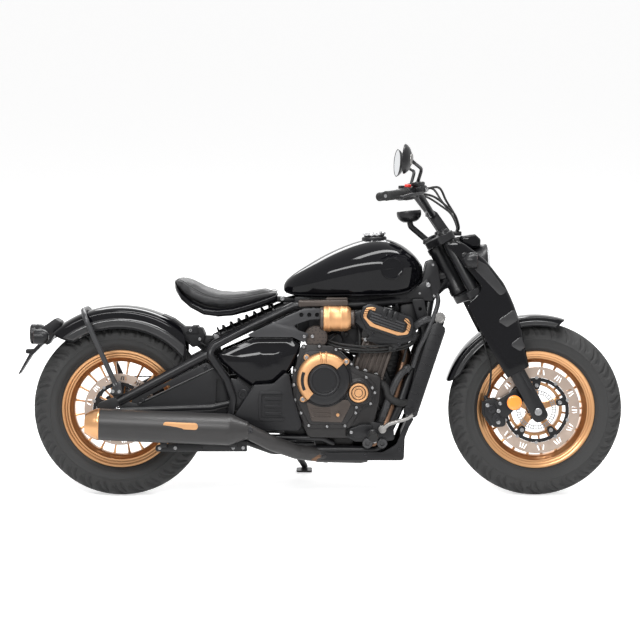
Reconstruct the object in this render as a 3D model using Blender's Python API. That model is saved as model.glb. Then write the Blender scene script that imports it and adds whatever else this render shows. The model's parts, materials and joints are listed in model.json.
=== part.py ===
"""Bobber motorcycle with a water-cooled parallel twin, leaning on its side stand.

Everything is first laid out on the upright machine: metres, +X forward, +Y to the rider's left and
+Z up, with the rear axle above x = 0. The whole machine then leans to its left about the wheel
line, and is moved so that its bounding box stands centred on the origin, on the floor at z = 0.
"""

import math

import bmesh
import bpy
from mathutils import Matrix, Vector

# Stance and chassis geometry
LEAN_DEG = 9.0
WHEELBASE = 1.526
RAKE_DEG = 28.0
FORK_OFFSET = 0.045
SEAT_GAP = 0.0003
RUNNING_GAP = 0.0006

# Wheels and tyres
REAR_AXLE = Vector((0.0, 0.0, 0.323))
RIM_RADIUS = 0.2165
RIM_HALF_WIDTH = 0.052
RIM_DEPTH = 0.0445
BARREL_RADIUS = RIM_RADIUS - RIM_DEPTH
REAR_SIDEWALL = 0.1065
REAR_TYRE_RADIUS = RIM_RADIUS + REAR_SIDEWALL
REAR_TYRE_HALF_WIDTH = 0.075
FRONT_SIDEWALL = 0.1035
FRONT_TYRE_RADIUS = RIM_RADIUS + FRONT_SIDEWALL
FRONT_TYRE_HALF_WIDTH = 0.065
CROWN_SHARE = 1.04
SPOKES = 20
TREAD_ANGLES = (0, 9, 28, 50, 70)
SPOKE_WIDTH = 0.008
SPOKE_DEPTH = 0.013
WHEEL_FACETS = 28
HUB_FACETS = 12
TUBE_FACETS = 6
AXLE_RADIUS = 0.010
REAR_HUB_HALF_WIDTH = 0.070

# Fork, measured up the steering axis from the axle's level
FORK_HALF_SPACING = 0.110
FORK_TUBE_RADIUS = 0.0215
SLIDER_RADIUS = 0.029
SLIDER_TOP = 0.300
LOWER_CLAMP_Z = 0.476
UPPER_CLAMP_Z = 0.702
CLAMP_THICKNESS = 0.030
STEM_RADIUS = 0.0150
HEAD_TUBE_RADIUS = 0.031
HEAD_TUBE_GAP = 0.0008
STEM_CLEARANCE = 0.0015
COVER_WALL = 0.004
COVER_INNER_Y = 0.079

# Brakes and belt
FRONT_DISC_CLEARANCE = 0.013
FRONT_DISC_RADIUS = BARREL_RADIUS - FRONT_DISC_CLEARANCE
DISC_BAND = 0.049
REAR_DISC_RADIUS = 0.131
DISC_THICKNESS = 0.005
DISC_SLOT = 0.0075
FRONT_DISC_Y = 0.040 - FORK_HALF_SPACING
FRONT_HUB_HALF_WIDTH = FORK_HALF_SPACING - 0.052
REAR_DISC_Y = -0.0765
PULLEY_RADIUS = 0.104
PULLEY_WIDTH = 0.024
FRONT_PULLEY_RADIUS = 0.040
FRONT_PULLEY_CENTRE = (0.672, 0.395)
BELT_Y = 0.095
BELT_THICKNESS = 0.006
BELT_GAP = 0.0012

# Frame and swingarm
FRAME_TUBE_RADIUS = 0.0165
BACKBONE_RADIUS = 0.025
REAR_LOOP_Y = 0.100
CRADLE_Y = 0.115
PIVOT_TUBE_Y = 0.058
PIVOT_COVER_Y = 0.152
PIVOT_COVER_BOSSES = ((0.488, 0.345), (0.492, 0.412))
PANEL_Y = 0.158
PANEL_THICKNESS = 0.008
ARM_Y = 0.132
ARM_TUBE_RADIUS = 0.0175
ARM_PLATE_THICKNESS = 0.008
HEAD_COWL_HALF_WIDTH = 0.060
COWL_GAP = 0.0006

# Handlebar, measured from the middle of the steering head
BAR_RADIUS = 0.0115
BAR_ROOT = (-0.0607, 0.090, 0.2019)
BAR_BEND = (-0.1177, 0.235, 0.2839)
BAR_TIP = (-0.2377, 0.420, 0.2699)
BAR_END_REACH = 0.0054
RISER_Y = 0.055
CABLE_RADIUS = 0.0042

# Coil-over unit
SHOCK_START = Vector((0.345, 0, 0.582))
SHOCK_END = Vector((0.612, 0, 0.700))
SHOCK_RADIUS = 0.033

# Bodywork
REAR_GUARD_GAP = 0.056
REAR_GUARD_RADIUS = REAR_TYRE_RADIUS + REAR_GUARD_GAP
REAR_SKIRT_RADIUS = REAR_TYRE_RADIUS - 0.023
REAR_GUARD_HALF_WIDTH = 0.096
REAR_GUARD_END_DEG = 131
FRONT_GUARD_GAP = 0.028
FRONT_GUARD_RADIUS = FRONT_TYRE_RADIUS + FRONT_GUARD_GAP
FRONT_SKIRT_RADIUS = FRONT_TYRE_RADIUS - 0.009
FRONT_GUARD_HALF_WIDTH = 0.075
GUARD_WALL = 0.004
INDICATOR_Y = 0.155
STAY_RADIUS = 0.0095
STAY_ANGLE_DEG = 110.0
CYLINDER_LEAN_DEG = 19.0
RADIATOR_TILT_DEG = 18.4
CLUTCH_CENTRE = (0.748, 0.439)
CLUTCH_RADIUS = 0.094
PUMP_CENTRE = (0.872, 0.392)
PUMP_RADIUS = 0.046
CRANKCASE_HALF_WIDTH = 0.150
MUFFLER_RADIUS = 0.057
HEADER_RADIUS = 0.020

# Side stand: the pivot bolt's centre, the foot's middle and the bolt's axis
STAND_PIVOT = Vector((0.600, 0.158, 0.212))
STAND_AXIS = Vector((0.0, 0.747, 0.664)).normalized()
STAND_FOOT = Vector((0.672, 0.300, 0.0))
STAND_BOSS_HALF = 0.014

COLOURS = {
    "frame_black": ((0.020, 0.020, 0.022), 0.45, 0.0),
    "satin_grey": ((0.110, 0.110, 0.115), 0.42, 0.3),
    "gloss_black": ((0.010, 0.010, 0.011), 0.10, 0.0),
    "matte_black": ((0.030, 0.030, 0.031), 0.60, 0.0),
    "engine_black": ((0.045, 0.042, 0.040), 0.45, 0.4),
    "bronze": ((0.620, 0.330, 0.140), 0.30, 1.0),
    "steel": ((0.560, 0.520, 0.490), 0.30, 1.0),
    "chrome": ((0.850, 0.850, 0.850), 0.08, 1.0),
    "rubber": ((0.022, 0.021, 0.021), 0.75, 0.0),
    "tyre_rubber": ((0.028, 0.027, 0.026), 0.70, 0.0),
    "seat_cover": ((0.060, 0.060, 0.062), 0.65, 0.0),
    "header_brown": ((0.240, 0.130, 0.080), 0.40, 1.0),
}


def clear_scene():
    for old in list(bpy.data.objects):
        bpy.data.objects.remove(old)


def make_material(name):
    colour, roughness, metallic = COLOURS[name]
    material = bpy.data.materials.new(name)
    material.use_nodes = True
    shader = material.node_tree.nodes["Principled BSDF"]
    shader.inputs["Base Color"].default_value = (*colour, 1.0)
    shader.inputs["Roughness"].default_value = roughness
    shader.inputs["Metallic"].default_value = metallic
    material.diffuse_color = (*colour, 1.0)
    return material


def is_twisted(face):
    """Whether a four-cornered face isn't flat to a hundredth of a millimetre."""
    a, b, c, d = (vert.co for vert in face.verts)
    across = (c - a).cross(d - b)
    return abs((b - a).dot(across)) > 1e-5 * across.length


def solid(name, rings, loop=False):
    """A closed skin over rings of points; the end rings are capped unless the rings form a loop."""
    made = bmesh.new()
    grid = [[made.verts.new(point) for point in ring] for ring in rings]
    count = len(grid[0])
    for i in range(len(grid) if loop else len(grid) - 1):
        here, there = grid[i], grid[(i + 1) % len(grid)]
        for j in range(count):
            k = (j + 1) % count
            made.faces.new((here[j], here[k], there[k], there[j]))
    if not loop:
        made.faces.new(grid[0][::-1])
        made.faces.new(grid[-1])
    bmesh.ops.recalc_face_normals(made, faces=made.faces)
    twisted = [face for face in made.faces if len(face.verts) == 4 and is_twisted(face)]
    bmesh.ops.triangulate(made, faces=twisted)
    mesh = bpy.data.meshes.new(name)
    made.to_mesh(mesh)
    made.free()
    found = bpy.data.objects.new(name, mesh)
    bpy.context.collection.objects.link(found)
    return found


def circle(radius, count, centre=(0.0, 0.0), start=0.0):
    return [
        (
            centre[0] + radius * math.cos(start + math.tau * i / count),
            centre[1] + radius * math.sin(start + math.tau * i / count),
        )
        for i in range(count)
    ]


def ring_of(profile, facets, name="ring"):
    """A closed (radius, y) profile turned all the way round the Y axis, flats at the bottom."""
    rings = []
    for i in range(facets):
        angle = math.tau * (i + 0.5) / facets
        rings.append([(r * math.cos(angle), y, r * math.sin(angle)) for r, y in profile])
    return solid(name, rings, loop=True)


def turned(profile, facets, name="turned", start=0.0):
    """A solid of revolution about Y: (radius, y) points from one end cap to the other."""
    rings = [[(x, y, z) for x, z in circle(r, facets, start=start)] for r, y in profile]
    return solid(name, rings)


def turned_on(start, end, profile, facets, name="turned"):
    """A solid of revolution on the line from start to end: (radius, distance from start) points."""
    start, end = Vector(start), Vector(end)
    made = turned([(r, d) for r, d in profile], facets, name)
    turn = Vector((0, 1, 0)).rotation_difference(end - start).to_matrix().to_4x4()
    made.data.transform(Matrix.Translation(start) @ turn)
    return made


def rod(start, end, radius, facets=10, name="rod"):
    length = (Vector(end) - Vector(start)).length
    return turned_on(start, end, [(radius, 0.0), (radius, length)], facets, name)


def box(low, high, name="box"):
    (x0, y0, z0), (x1, y1, z1) = low, high
    return solid(
        name,
        [[(x0, y, z0), (x1, y, z0), (x1, y, z1), (x0, y, z1)] for y in (y0, y1)],
    )


def prism(outline, y0, y1, name="prism", shrink=0.0, middle=None):
    """An (x, z) outline carried from y0 to y1; with shrink, the y1 face is that much smaller."""
    rings = [[(x, y0, z) for x, z in outline]]
    if shrink:
        cx = sum(x for x, _ in outline) / len(outline)
        cz = sum(z for _, z in outline) / len(outline)
        rings.append([(x, middle if middle is not None else y0, z) for x, z in outline])
        scaled = []
        for x, z in outline:
            away = Vector((x - cx, z - cz))
            away = away * max(0.0, 1 - shrink / max(away.length, 1e-6))
            scaled.append((cx + away.x, y1, cz + away.y))
        rings.append(scaled)
        if middle is None or abs(middle - y0) < 1e-6:
            rings.pop(1)
    else:
        rings.append([(x, y1, z) for x, z in outline])
    return solid(name, rings)


def rounded(outline, radius, steps=3):
    """The outline with each corner replaced by an arc of that radius, or of its own in a third column."""
    points = []
    count = len(outline)
    for i, here in enumerate(outline):
        corner = Vector(here[:2])
        before = Vector(outline[i - 1][:2]) - corner
        after = Vector(outline[(i + 1) % count][:2]) - corner
        wanted = here[2] if len(here) > 2 else radius
        half = before.angle(after) / 2
        reach = min(wanted / math.tan(half), 0.45 * before.length, 0.45 * after.length)
        if wanted <= 0 or half > math.radians(87):
            points.append(tuple(corner))
            continue
        size = reach * math.tan(half)
        first = corner + before.normalized() * reach
        last = corner + after.normalized() * reach
        middle = corner + (before.normalized() + after.normalized()).normalized() * size / math.sin(half)
        a, b = first - middle, last - middle
        turn = a.angle_signed(b)
        for k in range(steps + 1):
            spun = Matrix.Rotation(-turn * k / steps, 2) @ a
            points.append(tuple(middle + spun))
    return points


def bent_path(points, radius, steps=3):
    """A route of straight runs whose corners are arcs of the given bend radius."""
    route = [Vector(points[0])]
    for i in range(1, len(points) - 1):
        corner = Vector(points[i])
        before = Vector(points[i - 1]) - corner
        after = Vector(points[i + 1]) - corner
        half = before.angle(after) / 2
        reach = min(radius / math.tan(half), 0.45 * before.length, 0.45 * after.length)
        size = reach * math.tan(half)
        bisector = (before.normalized() + after.normalized()).normalized()
        middle = corner + bisector * size / math.sin(half)
        a = corner + before.normalized() * reach - middle
        b = corner + after.normalized() * reach - middle
        for k in range(steps + 1):
            route.append(middle + a.slerp(b, k / steps).normalized() * size)
    route.append(Vector(points[-1]))
    return route


def tube(route, radius, facets=8, name="tube"):
    """A round bar along a route; radius is one number, or one for each point of the route."""
    route = [Vector(p) for p in route]
    radii = radius if isinstance(radius, (list, tuple)) else [radius] * len(route)
    tangents = []
    for i in range(len(route)):
        back = route[i] - route[max(i - 1, 0)]
        ahead = route[min(i + 1, len(route) - 1)] - route[i]
        tangents.append((back.normalized() + ahead.normalized()).normalized())
    side = tangents[0].orthogonal().normalized()
    rings = []
    for i, (point, tangent) in enumerate(zip(route, tangents)):
        if i:
            side = tangents[i - 1].rotation_difference(tangent) @ side
        up = tangent.cross(side)
        back = route[i] - route[max(i - 1, 0)]
        slant = 1.0 / max(0.5, tangent.dot(back.normalized())) if 0 < i < len(route) - 1 else 1.0
        ring = []
        for k in range(facets):
            angle = math.tau * (k + 0.5) / facets
            ring.append(point + (side * math.cos(angle) + up * math.sin(angle)) * radii[i] * slant)
        rings.append(ring)
    return solid(name, rings)


def evaluated_mesh(thing):
    bpy.context.view_layer.update()
    graph = bpy.context.evaluated_depsgraph_get()
    return bpy.data.meshes.new_from_object(thing.evaluated_get(graph))


def combine(base, tools, operation):
    """The base joined with, or cut by, the tools, which are used up."""
    tools = [tool for tool in tools if tool is not None]
    if not tools:
        return base
    group = bpy.data.collections.new("tools")
    for tool in tools:
        group.objects.link(tool)
    modifier = base.modifiers.new("combine", "BOOLEAN")
    modifier.operation = operation
    modifier.solver = "EXACT"
    modifier.operand_type = "COLLECTION"
    modifier.collection = group
    mesh = evaluated_mesh(base)
    base.modifiers.clear()
    base.data = mesh
    for tool in tools:
        bpy.data.objects.remove(tool)
    bpy.data.collections.remove(group)
    return base


def fuse(base, *others):
    return combine(base, list(others), "UNION")


def cut(base, *cutters):
    return combine(base, list(cutters), "DIFFERENCE")


def swollen(thing, gap):
    """A copy whose skin stands out by the gap, for cutting a seat."""
    copy = thing.copy()
    copy.data = thing.data.copy()
    bpy.context.collection.objects.link(copy)
    made = bmesh.new()
    made.from_mesh(copy.data)
    bmesh.ops.remove_doubles(made, verts=made.verts, dist=1e-6)
    made.normal_update()
    moves = [(v, v.normal * min(gap * v.calc_shell_factor(), 4 * gap)) for v in made.verts]
    for vert, move in moves:
        vert.co += move
    made.to_mesh(copy.data)
    made.free()
    return copy


def seated(piece, *carriers, gap=SEAT_GAP):
    """The piece cut back to a fine gap from each carrier that it sits on."""
    for carrier in carriers:
        cut(piece, swollen(carrier, gap))
    return piece


def softened(thing, width, segments=1, angle_deg=35):
    """Edges sharper than the angle get a bevel of that width."""
    modifier = thing.modifiers.new("edges", "BEVEL")
    modifier.width = width
    modifier.segments = segments
    modifier.limit_method = "ANGLE"
    modifier.angle_limit = math.radians(angle_deg)
    modifier.use_clamp_overlap = True
    mesh = evaluated_mesh(thing)
    thing.modifiers.clear()
    thing.data = mesh
    return thing


def empty(name, parent, matrix):
    made = bpy.data.objects.new(name, None)
    bpy.context.collection.objects.link(made)
    made.parent = parent
    made.matrix_local = matrix
    return made


def settle(piece, name, finish, parent, frame=None):
    """Names a finished piece, gives it its material and hangs it on its parent.

    frame is the parent's place on the upright machine, for a piece modelled in machine coordinates.
    """
    piece.name = name
    piece.data.name = name
    piece.data.materials.clear()
    piece.data.materials.append(MATERIALS[finish])
    if frame is not None:
        piece.data.transform(frame.inverted())
    piece.data.shade_smooth()
    piece.data.set_sharp_from_angle(angle=math.radians(35))
    piece.parent = parent
    return piece


# Frames on the upright machine
LEAN = math.radians(LEAN_DEG)


def floor_depth(radius, half_width):
    """How far the leaning tyre's lowest facet reaches below its axle, straight down."""
    crown = half_width * CROWN_SHARE
    flat = math.cos(math.pi / WHEEL_FACETS)
    reach = []
    for degrees in TREAD_ANGLES:
        angle = math.radians(degrees)
        out = radius - crown + crown * math.cos(angle)
        reach.append(out * flat * math.cos(LEAN) + crown * math.sin(angle) * math.sin(LEAN))
    return max(reach)


FLOOR_DROP = floor_depth(REAR_TYRE_RADIUS, REAR_TYRE_HALF_WIDTH)
FRONT_DROP = floor_depth(FRONT_TYRE_RADIUS, FRONT_TYRE_HALF_WIDTH)
FRONT_AXLE_Z = REAR_AXLE.z + (FRONT_DROP - FLOOR_DROP) / math.cos(LEAN)
FRONT_AXLE = Vector((WHEELBASE, 0.0, FRONT_AXLE_Z))
RAKE = math.radians(RAKE_DEG)
FORK_UP = Vector((-math.sin(RAKE), 0.0, math.cos(RAKE)))
FORK_AHEAD = Vector((math.cos(RAKE), 0.0, math.sin(RAKE)))
FORK_ORIGIN = FRONT_AXLE - FORK_AHEAD * FORK_OFFSET
FORK_FRAME = Matrix.Translation(FORK_ORIGIN) @ Matrix.Rotation(-RAKE, 4, "Y")


def on_fork(x, y, z):
    """A point of the fork's own frame, in machine coordinates."""
    return FORK_FRAME @ Vector((x, y, z))


HEAD = on_fork(0, 0, (LOWER_CLAMP_Z + CLAMP_THICKNESS + UPPER_CLAMP_Z) / 2)


def by_head(x, y, z):
    """A point measured from the middle of the steering head, along the machine's axes."""
    return HEAD + Vector((x, y, z))


def outline_by_head(points):
    """An (x, z) outline measured from the middle of the steering head; corner radii stay as they are."""
    return [(HEAD.x + p[0], HEAD.z + p[1], *p[2:]) for p in points]


GUARD_END = REAR_AXLE + Vector((
    REAR_GUARD_RADIUS * math.cos(math.radians(REAR_GUARD_END_DEG)),
    0.0,
    REAR_GUARD_RADIUS * math.sin(math.radians(REAR_GUARD_END_DEG)),
))


def by_tail(x, y, z):
    """A point measured from the rear end of the rear mudguard's crown."""
    return GUARD_END + Vector((x, y, z))


def outline_by_tail(points):
    return [(GUARD_END.x + x, GUARD_END.z + z) for x, z in points]


def round_rear_axle(points):
    """An (x, z) outline from (distance outside the mudguard's crown, angle in degrees) points."""
    outline = []
    for out, degrees in points:
        reach, angle = REAR_GUARD_RADIUS + out, math.radians(degrees)
        outline.append((REAR_AXLE.x + reach * math.cos(angle), REAR_AXLE.z + reach * math.sin(angle)))
    return outline


def floor_height(y):
    """The floor's height under the leaning machine, in machine coordinates, at that width."""
    return REAR_AXLE.z + (y * math.sin(LEAN) - FLOOR_DROP) / math.cos(LEAN)


def tyre(radius, half_width):
    crown = half_width * CROWN_SHARE
    profile = []
    for degrees in TREAD_ANGLES:
        angle = math.radians(degrees)
        profile.append((radius - crown + crown * math.cos(angle), crown * math.sin(angle)))
    shoulder = profile[-1][0]
    drop = shoulder - RIM_RADIUS
    profile += [
        (shoulder - 0.45 * drop, half_width),
        (RIM_RADIUS + SEAT_GAP, RIM_HALF_WIDTH - 0.0053),
        (RIM_RADIUS - 0.0132, RIM_HALF_WIDTH - 0.0073),
    ]
    other = [(r, -y) for r, y in profile[:0:-1]]
    return ring_of(profile + other, WHEEL_FACETS, "tyre")


def rim():
    w = RIM_HALF_WIDTH
    side = [
        (RIM_RADIUS, w - 0.0045),
        (RIM_RADIUS, w),
        (RIM_RADIUS - 0.033, w - 0.011),
        (BARREL_RADIUS, w - 0.026),
    ]
    seat = (RIM_RADIUS - 0.0135, w - 0.0065)
    profile = side + [(r, -y) for r, y in reversed(side)]
    profile += [(seat[0], -seat[1]), (RIM_RADIUS - 0.030, 0.0), seat]
    return ring_of(profile, WHEEL_FACETS, "rim")


def spoke(index, inner_radius, inner_y, facing=1):
    """One cast spoke: every second one dishes to the other side of the hub."""
    side = facing * (1 if index % 2 else -1)
    outer = BARREL_RADIUS + 0.004
    half = SPOKE_WIDTH / 2
    rings = []
    for radius, y, depth in ((inner_radius, side * inner_y, 1.15), (outer, side * 0.010, 1.0)):
        d = SPOKE_DEPTH / 2 * depth
        rings.append([(radius, y + across * d, up * half) for across, up in ((-1, -1), (1, -1), (1, 1), (-1, 1))])
    made = solid("spoke", rings)
    made.data.transform(Matrix.Rotation(-math.tau * (index + 0.5) / SPOKES, 4, "Y"))
    return made


def wheel(hub_half_width, hub_radius, ring_radius, ring_half_width, arms):
    """Rim, spokes and hub in one casting, bored for its axle, about the Y axis."""
    made = rim()
    foot = ring_radius - 0.004 if arms else hub_radius - 0.005
    parts = [spoke(i, foot, ring_half_width * 0.45) for i in range(SPOKES)]
    ring = [
        (ring_radius - 0.010, -ring_half_width),
        (ring_radius, -ring_half_width),
        (ring_radius, ring_half_width),
        (ring_radius - 0.010, ring_half_width),
    ]
    if arms:
        parts.append(ring_of(ring, 20))
        for i in range(arms):
            arm = box((hub_radius - 0.010, -0.012, -0.010), (ring_radius - 0.004, 0.012, 0.010))
            arm.data.transform(Matrix.Rotation(-math.tau * (i + 0.25) / arms, 4, "Y"))
            parts.append(arm)
    hub = [
        (hub_radius * 0.85, -hub_half_width),
        (hub_radius * 0.85, -ring_half_width - 0.004),
        (hub_radius, -ring_half_width),
        (hub_radius, ring_half_width),
        (hub_radius * 0.85, ring_half_width + 0.004),
        (hub_radius * 0.85, hub_half_width),
    ]
    parts.append(turned(hub, HUB_FACETS, "hub"))
    made = fuse(made, *parts)
    bore = turned([(AXLE_RADIUS + 0.001, -0.2), (AXLE_RADIUS + 0.001, 0.2)], 12, "bore")
    return cut(made, bore)


def brake_disc(outer, carrier_inner, y, tabs, tab_reach, hub_face):
    """The rotor and its carrier ring, whose tabs bolt to the hub; all about the Y axis."""
    half = DISC_THICKNESS / 2
    section = [(carrier_inner, y - half), (outer, y - half), (outer, y + half), (carrier_inner, y + half)]
    made = ring_of(section, WHEEL_FACETS)
    parts = []
    for i in range(tabs):
        tab = box((tab_reach, y - half + 0.0005, -0.011), (carrier_inner + 0.004, y + half - 0.0005, 0.011))
        boss = rod((tab_reach + 0.006, y, 0), (tab_reach + 0.006, hub_face, 0), 0.009, 6)
        for piece in (tab, boss):
            piece.data.transform(Matrix.Rotation(-math.tau * (i + 0.25) / tabs, 4, "Y"))
            parts.append(piece)
    return fuse(made, *parts)


def pulley(y):
    """The rear pulley: toothed ring, dished web and the hub that bolts to the wheel's left end."""
    half = PULLEY_WIDTH / 2
    face = PULLEY_RADIUS - BELT_GAP
    profile = [
        (AXLE_RADIUS + 0.001, y - half),
        (0.036, y - half),
        (0.040, y - 0.004),
        (face - 0.010, y - 0.004),
        (face, y - half),
        (face, y + half),
        (face - 0.010, y + 0.004),
        (0.036, y + 0.004),
        (AXLE_RADIUS + 0.001, y + half * 0.7),
    ]
    return ring_of(profile, 24)


def belt(y, front):
    """The flat loop of the drive belt round both pulleys."""
    rear = Vector((REAR_AXLE.x, REAR_AXLE.z))
    ahead = Vector(front)
    reach = ahead - rear
    tilt = math.atan2(reach.y, reach.x)
    spread = math.acos((PULLEY_RADIUS - FRONT_PULLEY_RADIUS) / reach.length)
    loops = []
    for extra in (0.0, BELT_THICKNESS):
        loop = []
        for k in range(19):
            angle = tilt + spread + (math.tau - 2 * spread) * k / 18
            loop.append(rear + Vector((math.cos(angle), math.sin(angle))) * (PULLEY_RADIUS + extra))
        for k in range(9):
            angle = tilt - spread + 2 * spread * k / 8
            loop.append(ahead + Vector((math.cos(angle), math.sin(angle))) * (FRONT_PULLEY_RADIUS + extra))
        loops.append(loop)
    half = PULLEY_WIDTH / 2 - 0.002
    rings = []
    for inner, outer in zip(*loops):
        rings.append(
            [
                (inner.x, y - half, inner.y),
                (outer.x, y - half, outer.y),
                (outer.x, y + half, outer.y),
                (inner.x, y + half, inner.y),
            ]
        )
    return solid("belt", rings, loop=True)


def mudguard(centre, radius, half_width, skirt_radius, start_deg, end_deg, skirt_start_deg, steps):
    """A rolled mudguard: a crowned top and two skirts, swept round the wheel's centre."""
    drop = radius - skirt_radius
    section = [(skirt_radius, half_width), (radius - 0.36 * drop, half_width), (radius, half_width * 0.62)]
    outer = section + [(r, -y) for r, y in reversed(section)]
    inner = [
        (skirt_radius, half_width - GUARD_WALL),
        (radius - 0.40 * drop, half_width - GUARD_WALL),
        (radius - GUARD_WALL, half_width * 0.60),
    ]
    inner = [(r, -y) for r, y in inner] + [(r, y) for r, y in reversed(inner)]
    profile = outer + inner
    rings = []
    for k in range(steps + 1):
        share = k / steps
        crown = math.radians(start_deg + (end_deg - start_deg) * share)
        skirt = math.radians(skirt_start_deg + (end_deg - skirt_start_deg) * share)
        ring = []
        for r, y in profile:
            depth = min(1.0, max(0.0, (radius - r) / (radius - skirt_radius)))
            angle = crown + (skirt - crown) * depth
            ring.append((centre.x + r * math.cos(angle), y, centre.z + r * math.sin(angle)))
        rings.append(ring)
    return solid("mudguard", rings)


def section_loft(stations, columns, name, power=2.4):
    """A body lofted along X from (x, low z, high z, half width) stations with rounded sections."""
    rings = []
    for x, low, high, half in stations:
        centre, tall = (low + high) / 2, (high - low) / 2
        ring = []
        for k in range(columns):
            angle = math.tau * (k + 0.5) / columns
            c, s = math.cos(angle), math.sin(angle)
            ring.append(
                (
                    x,
                    math.copysign(abs(c) ** (2 / power), c) * half,
                    centre + math.copysign(abs(s) ** (2 / power), s) * tall,
                )
            )
        rings.append(ring)
    return solid(name, rings)


def frame_tubes(grow=0.0):
    """The backbone and, on each side, the loop of upper rail, rear down tube, cradle and front down tube."""
    spine = [on_fork(-0.015, 0, 0.59), (0.98, 0, 0.792), (0.600, 0, 0.705)]
    tubes = [tube(bent_path(spine, 0.10), BACKBONE_RADIUS + grow, 8)]
    for side in (1, -1):
        y = side * REAR_LOOP_Y
        c = side * CRADLE_Y
        pivot = side * PIVOT_TUBE_Y
        loop = [
            on_fork(-0.020, side * 0.012, 0.560),
            by_head(-0.1227, side * 0.038, -0.1041),
            (0.900, side * 0.090, 0.708),
            (0.640, y, 0.703),
            (0.316, y, 0.548),
            (0.345, pivot, 0.475),
            (0.425, pivot, 0.372),
            (0.437, pivot, 0.215),
            (0.560, c, 0.178),
            (0.950, c, 0.178),
            (1.020, side * 0.110, 0.330),
            by_head(-0.0927, side * 0.070, -0.2421),
            on_fork(-0.104, side * 0.042, 0.548),
            on_fork(-0.022, side * 0.012, 0.568),
        ]
        tubes.append(tube(bent_path(loop, 0.045, 1), FRAME_TUBE_RADIUS + grow, TUBE_FACETS))
    return tubes


def head_tube(grow=0.0):
    low = LOWER_CLAMP_Z + CLAMP_THICKNESS + HEAD_TUBE_GAP
    high = UPPER_CLAMP_Z - HEAD_TUBE_GAP
    return rod(on_fork(0, 0, low), on_fork(0, 0, high), HEAD_TUBE_RADIUS + grow, 12)


def build_frame():
    """The welded frame: head tube, backbone, cradle, rear loops, side panels and mounts."""
    head = head_tube()
    parts = frame_tubes()
    for side in (1, -1):
        plate = [(0.400, 0.330), (0.500, 0.330), (0.505, 0.425), (0.440, 0.450), (0.395, 0.400)]
        inner, outer = side * 0.109, side * 0.125
        parts.append(prism(plate, min(inner, outer), max(inner, outer)))
        for x, z in PIVOT_COVER_BOSSES:
            face = side * (PIVOT_COVER_Y - SEAT_GAP)
            parts.append(rod((x, side * 0.115, z), (x, face, z), 0.008, TUBE_FACETS))
        panel = [
            (0.467, 0.601),
            (0.559, 0.644),
            (0.675, 0.697, 0.020),
            (0.744, 0.697),
            (0.744, 0.659),
            (0.696, 0.657, 0.030),
            (0.635, 0.636, 0.006),
            (0.655, 0.618),
            (0.693, 0.606),
            (0.675, 0.573),
            (0.635, 0.593, 0.020),
            (0.483, 0.594),
        ]
        y0, y1 = side * PANEL_Y, side * (PANEL_Y + PANEL_THICKNESS)
        flat = prism(rounded(panel, 0.0, 1), min(y0, y1), max(y0, y1))
        for x in (0.665, 0.694, 0.722):
            flat = cut(flat, rod((x, y0 - 0.02, 0.674), (x, y0 + 0.02, 0.674), 0.0075, 6))
        parts.append(flat)
        for x, z in ((0.560, 0.622), (0.708, 0.690)):
            near, far = side * (REAR_LOOP_Y - 0.004), side * (PANEL_Y + 0.004)
            parts.append(rod((x, near, z), (x, far, z), 0.010, TUBE_FACETS))
    cross_tubes = (
        # x, z, half length
        (0.630, 0.700, REAR_LOOP_Y),
        (0.430, 0.372, CRADLE_Y),
        (0.560, 0.182, CRADLE_Y),
        (0.940, 0.182, CRADLE_Y),
    )
    for x, z, half in cross_tubes:
        parts.append(rod((x, -half, z), (x, half, z), 0.014, TUBE_FACETS))
    made = fuse(head, *parts)
    low, high = on_fork(0, 0, LOWER_CLAMP_Z), on_fork(0, 0, UPPER_CLAMP_Z + CLAMP_THICKNESS)
    return cut(made, rod(low, high, STEM_RADIUS + STEM_CLEARANCE, 12))


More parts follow.
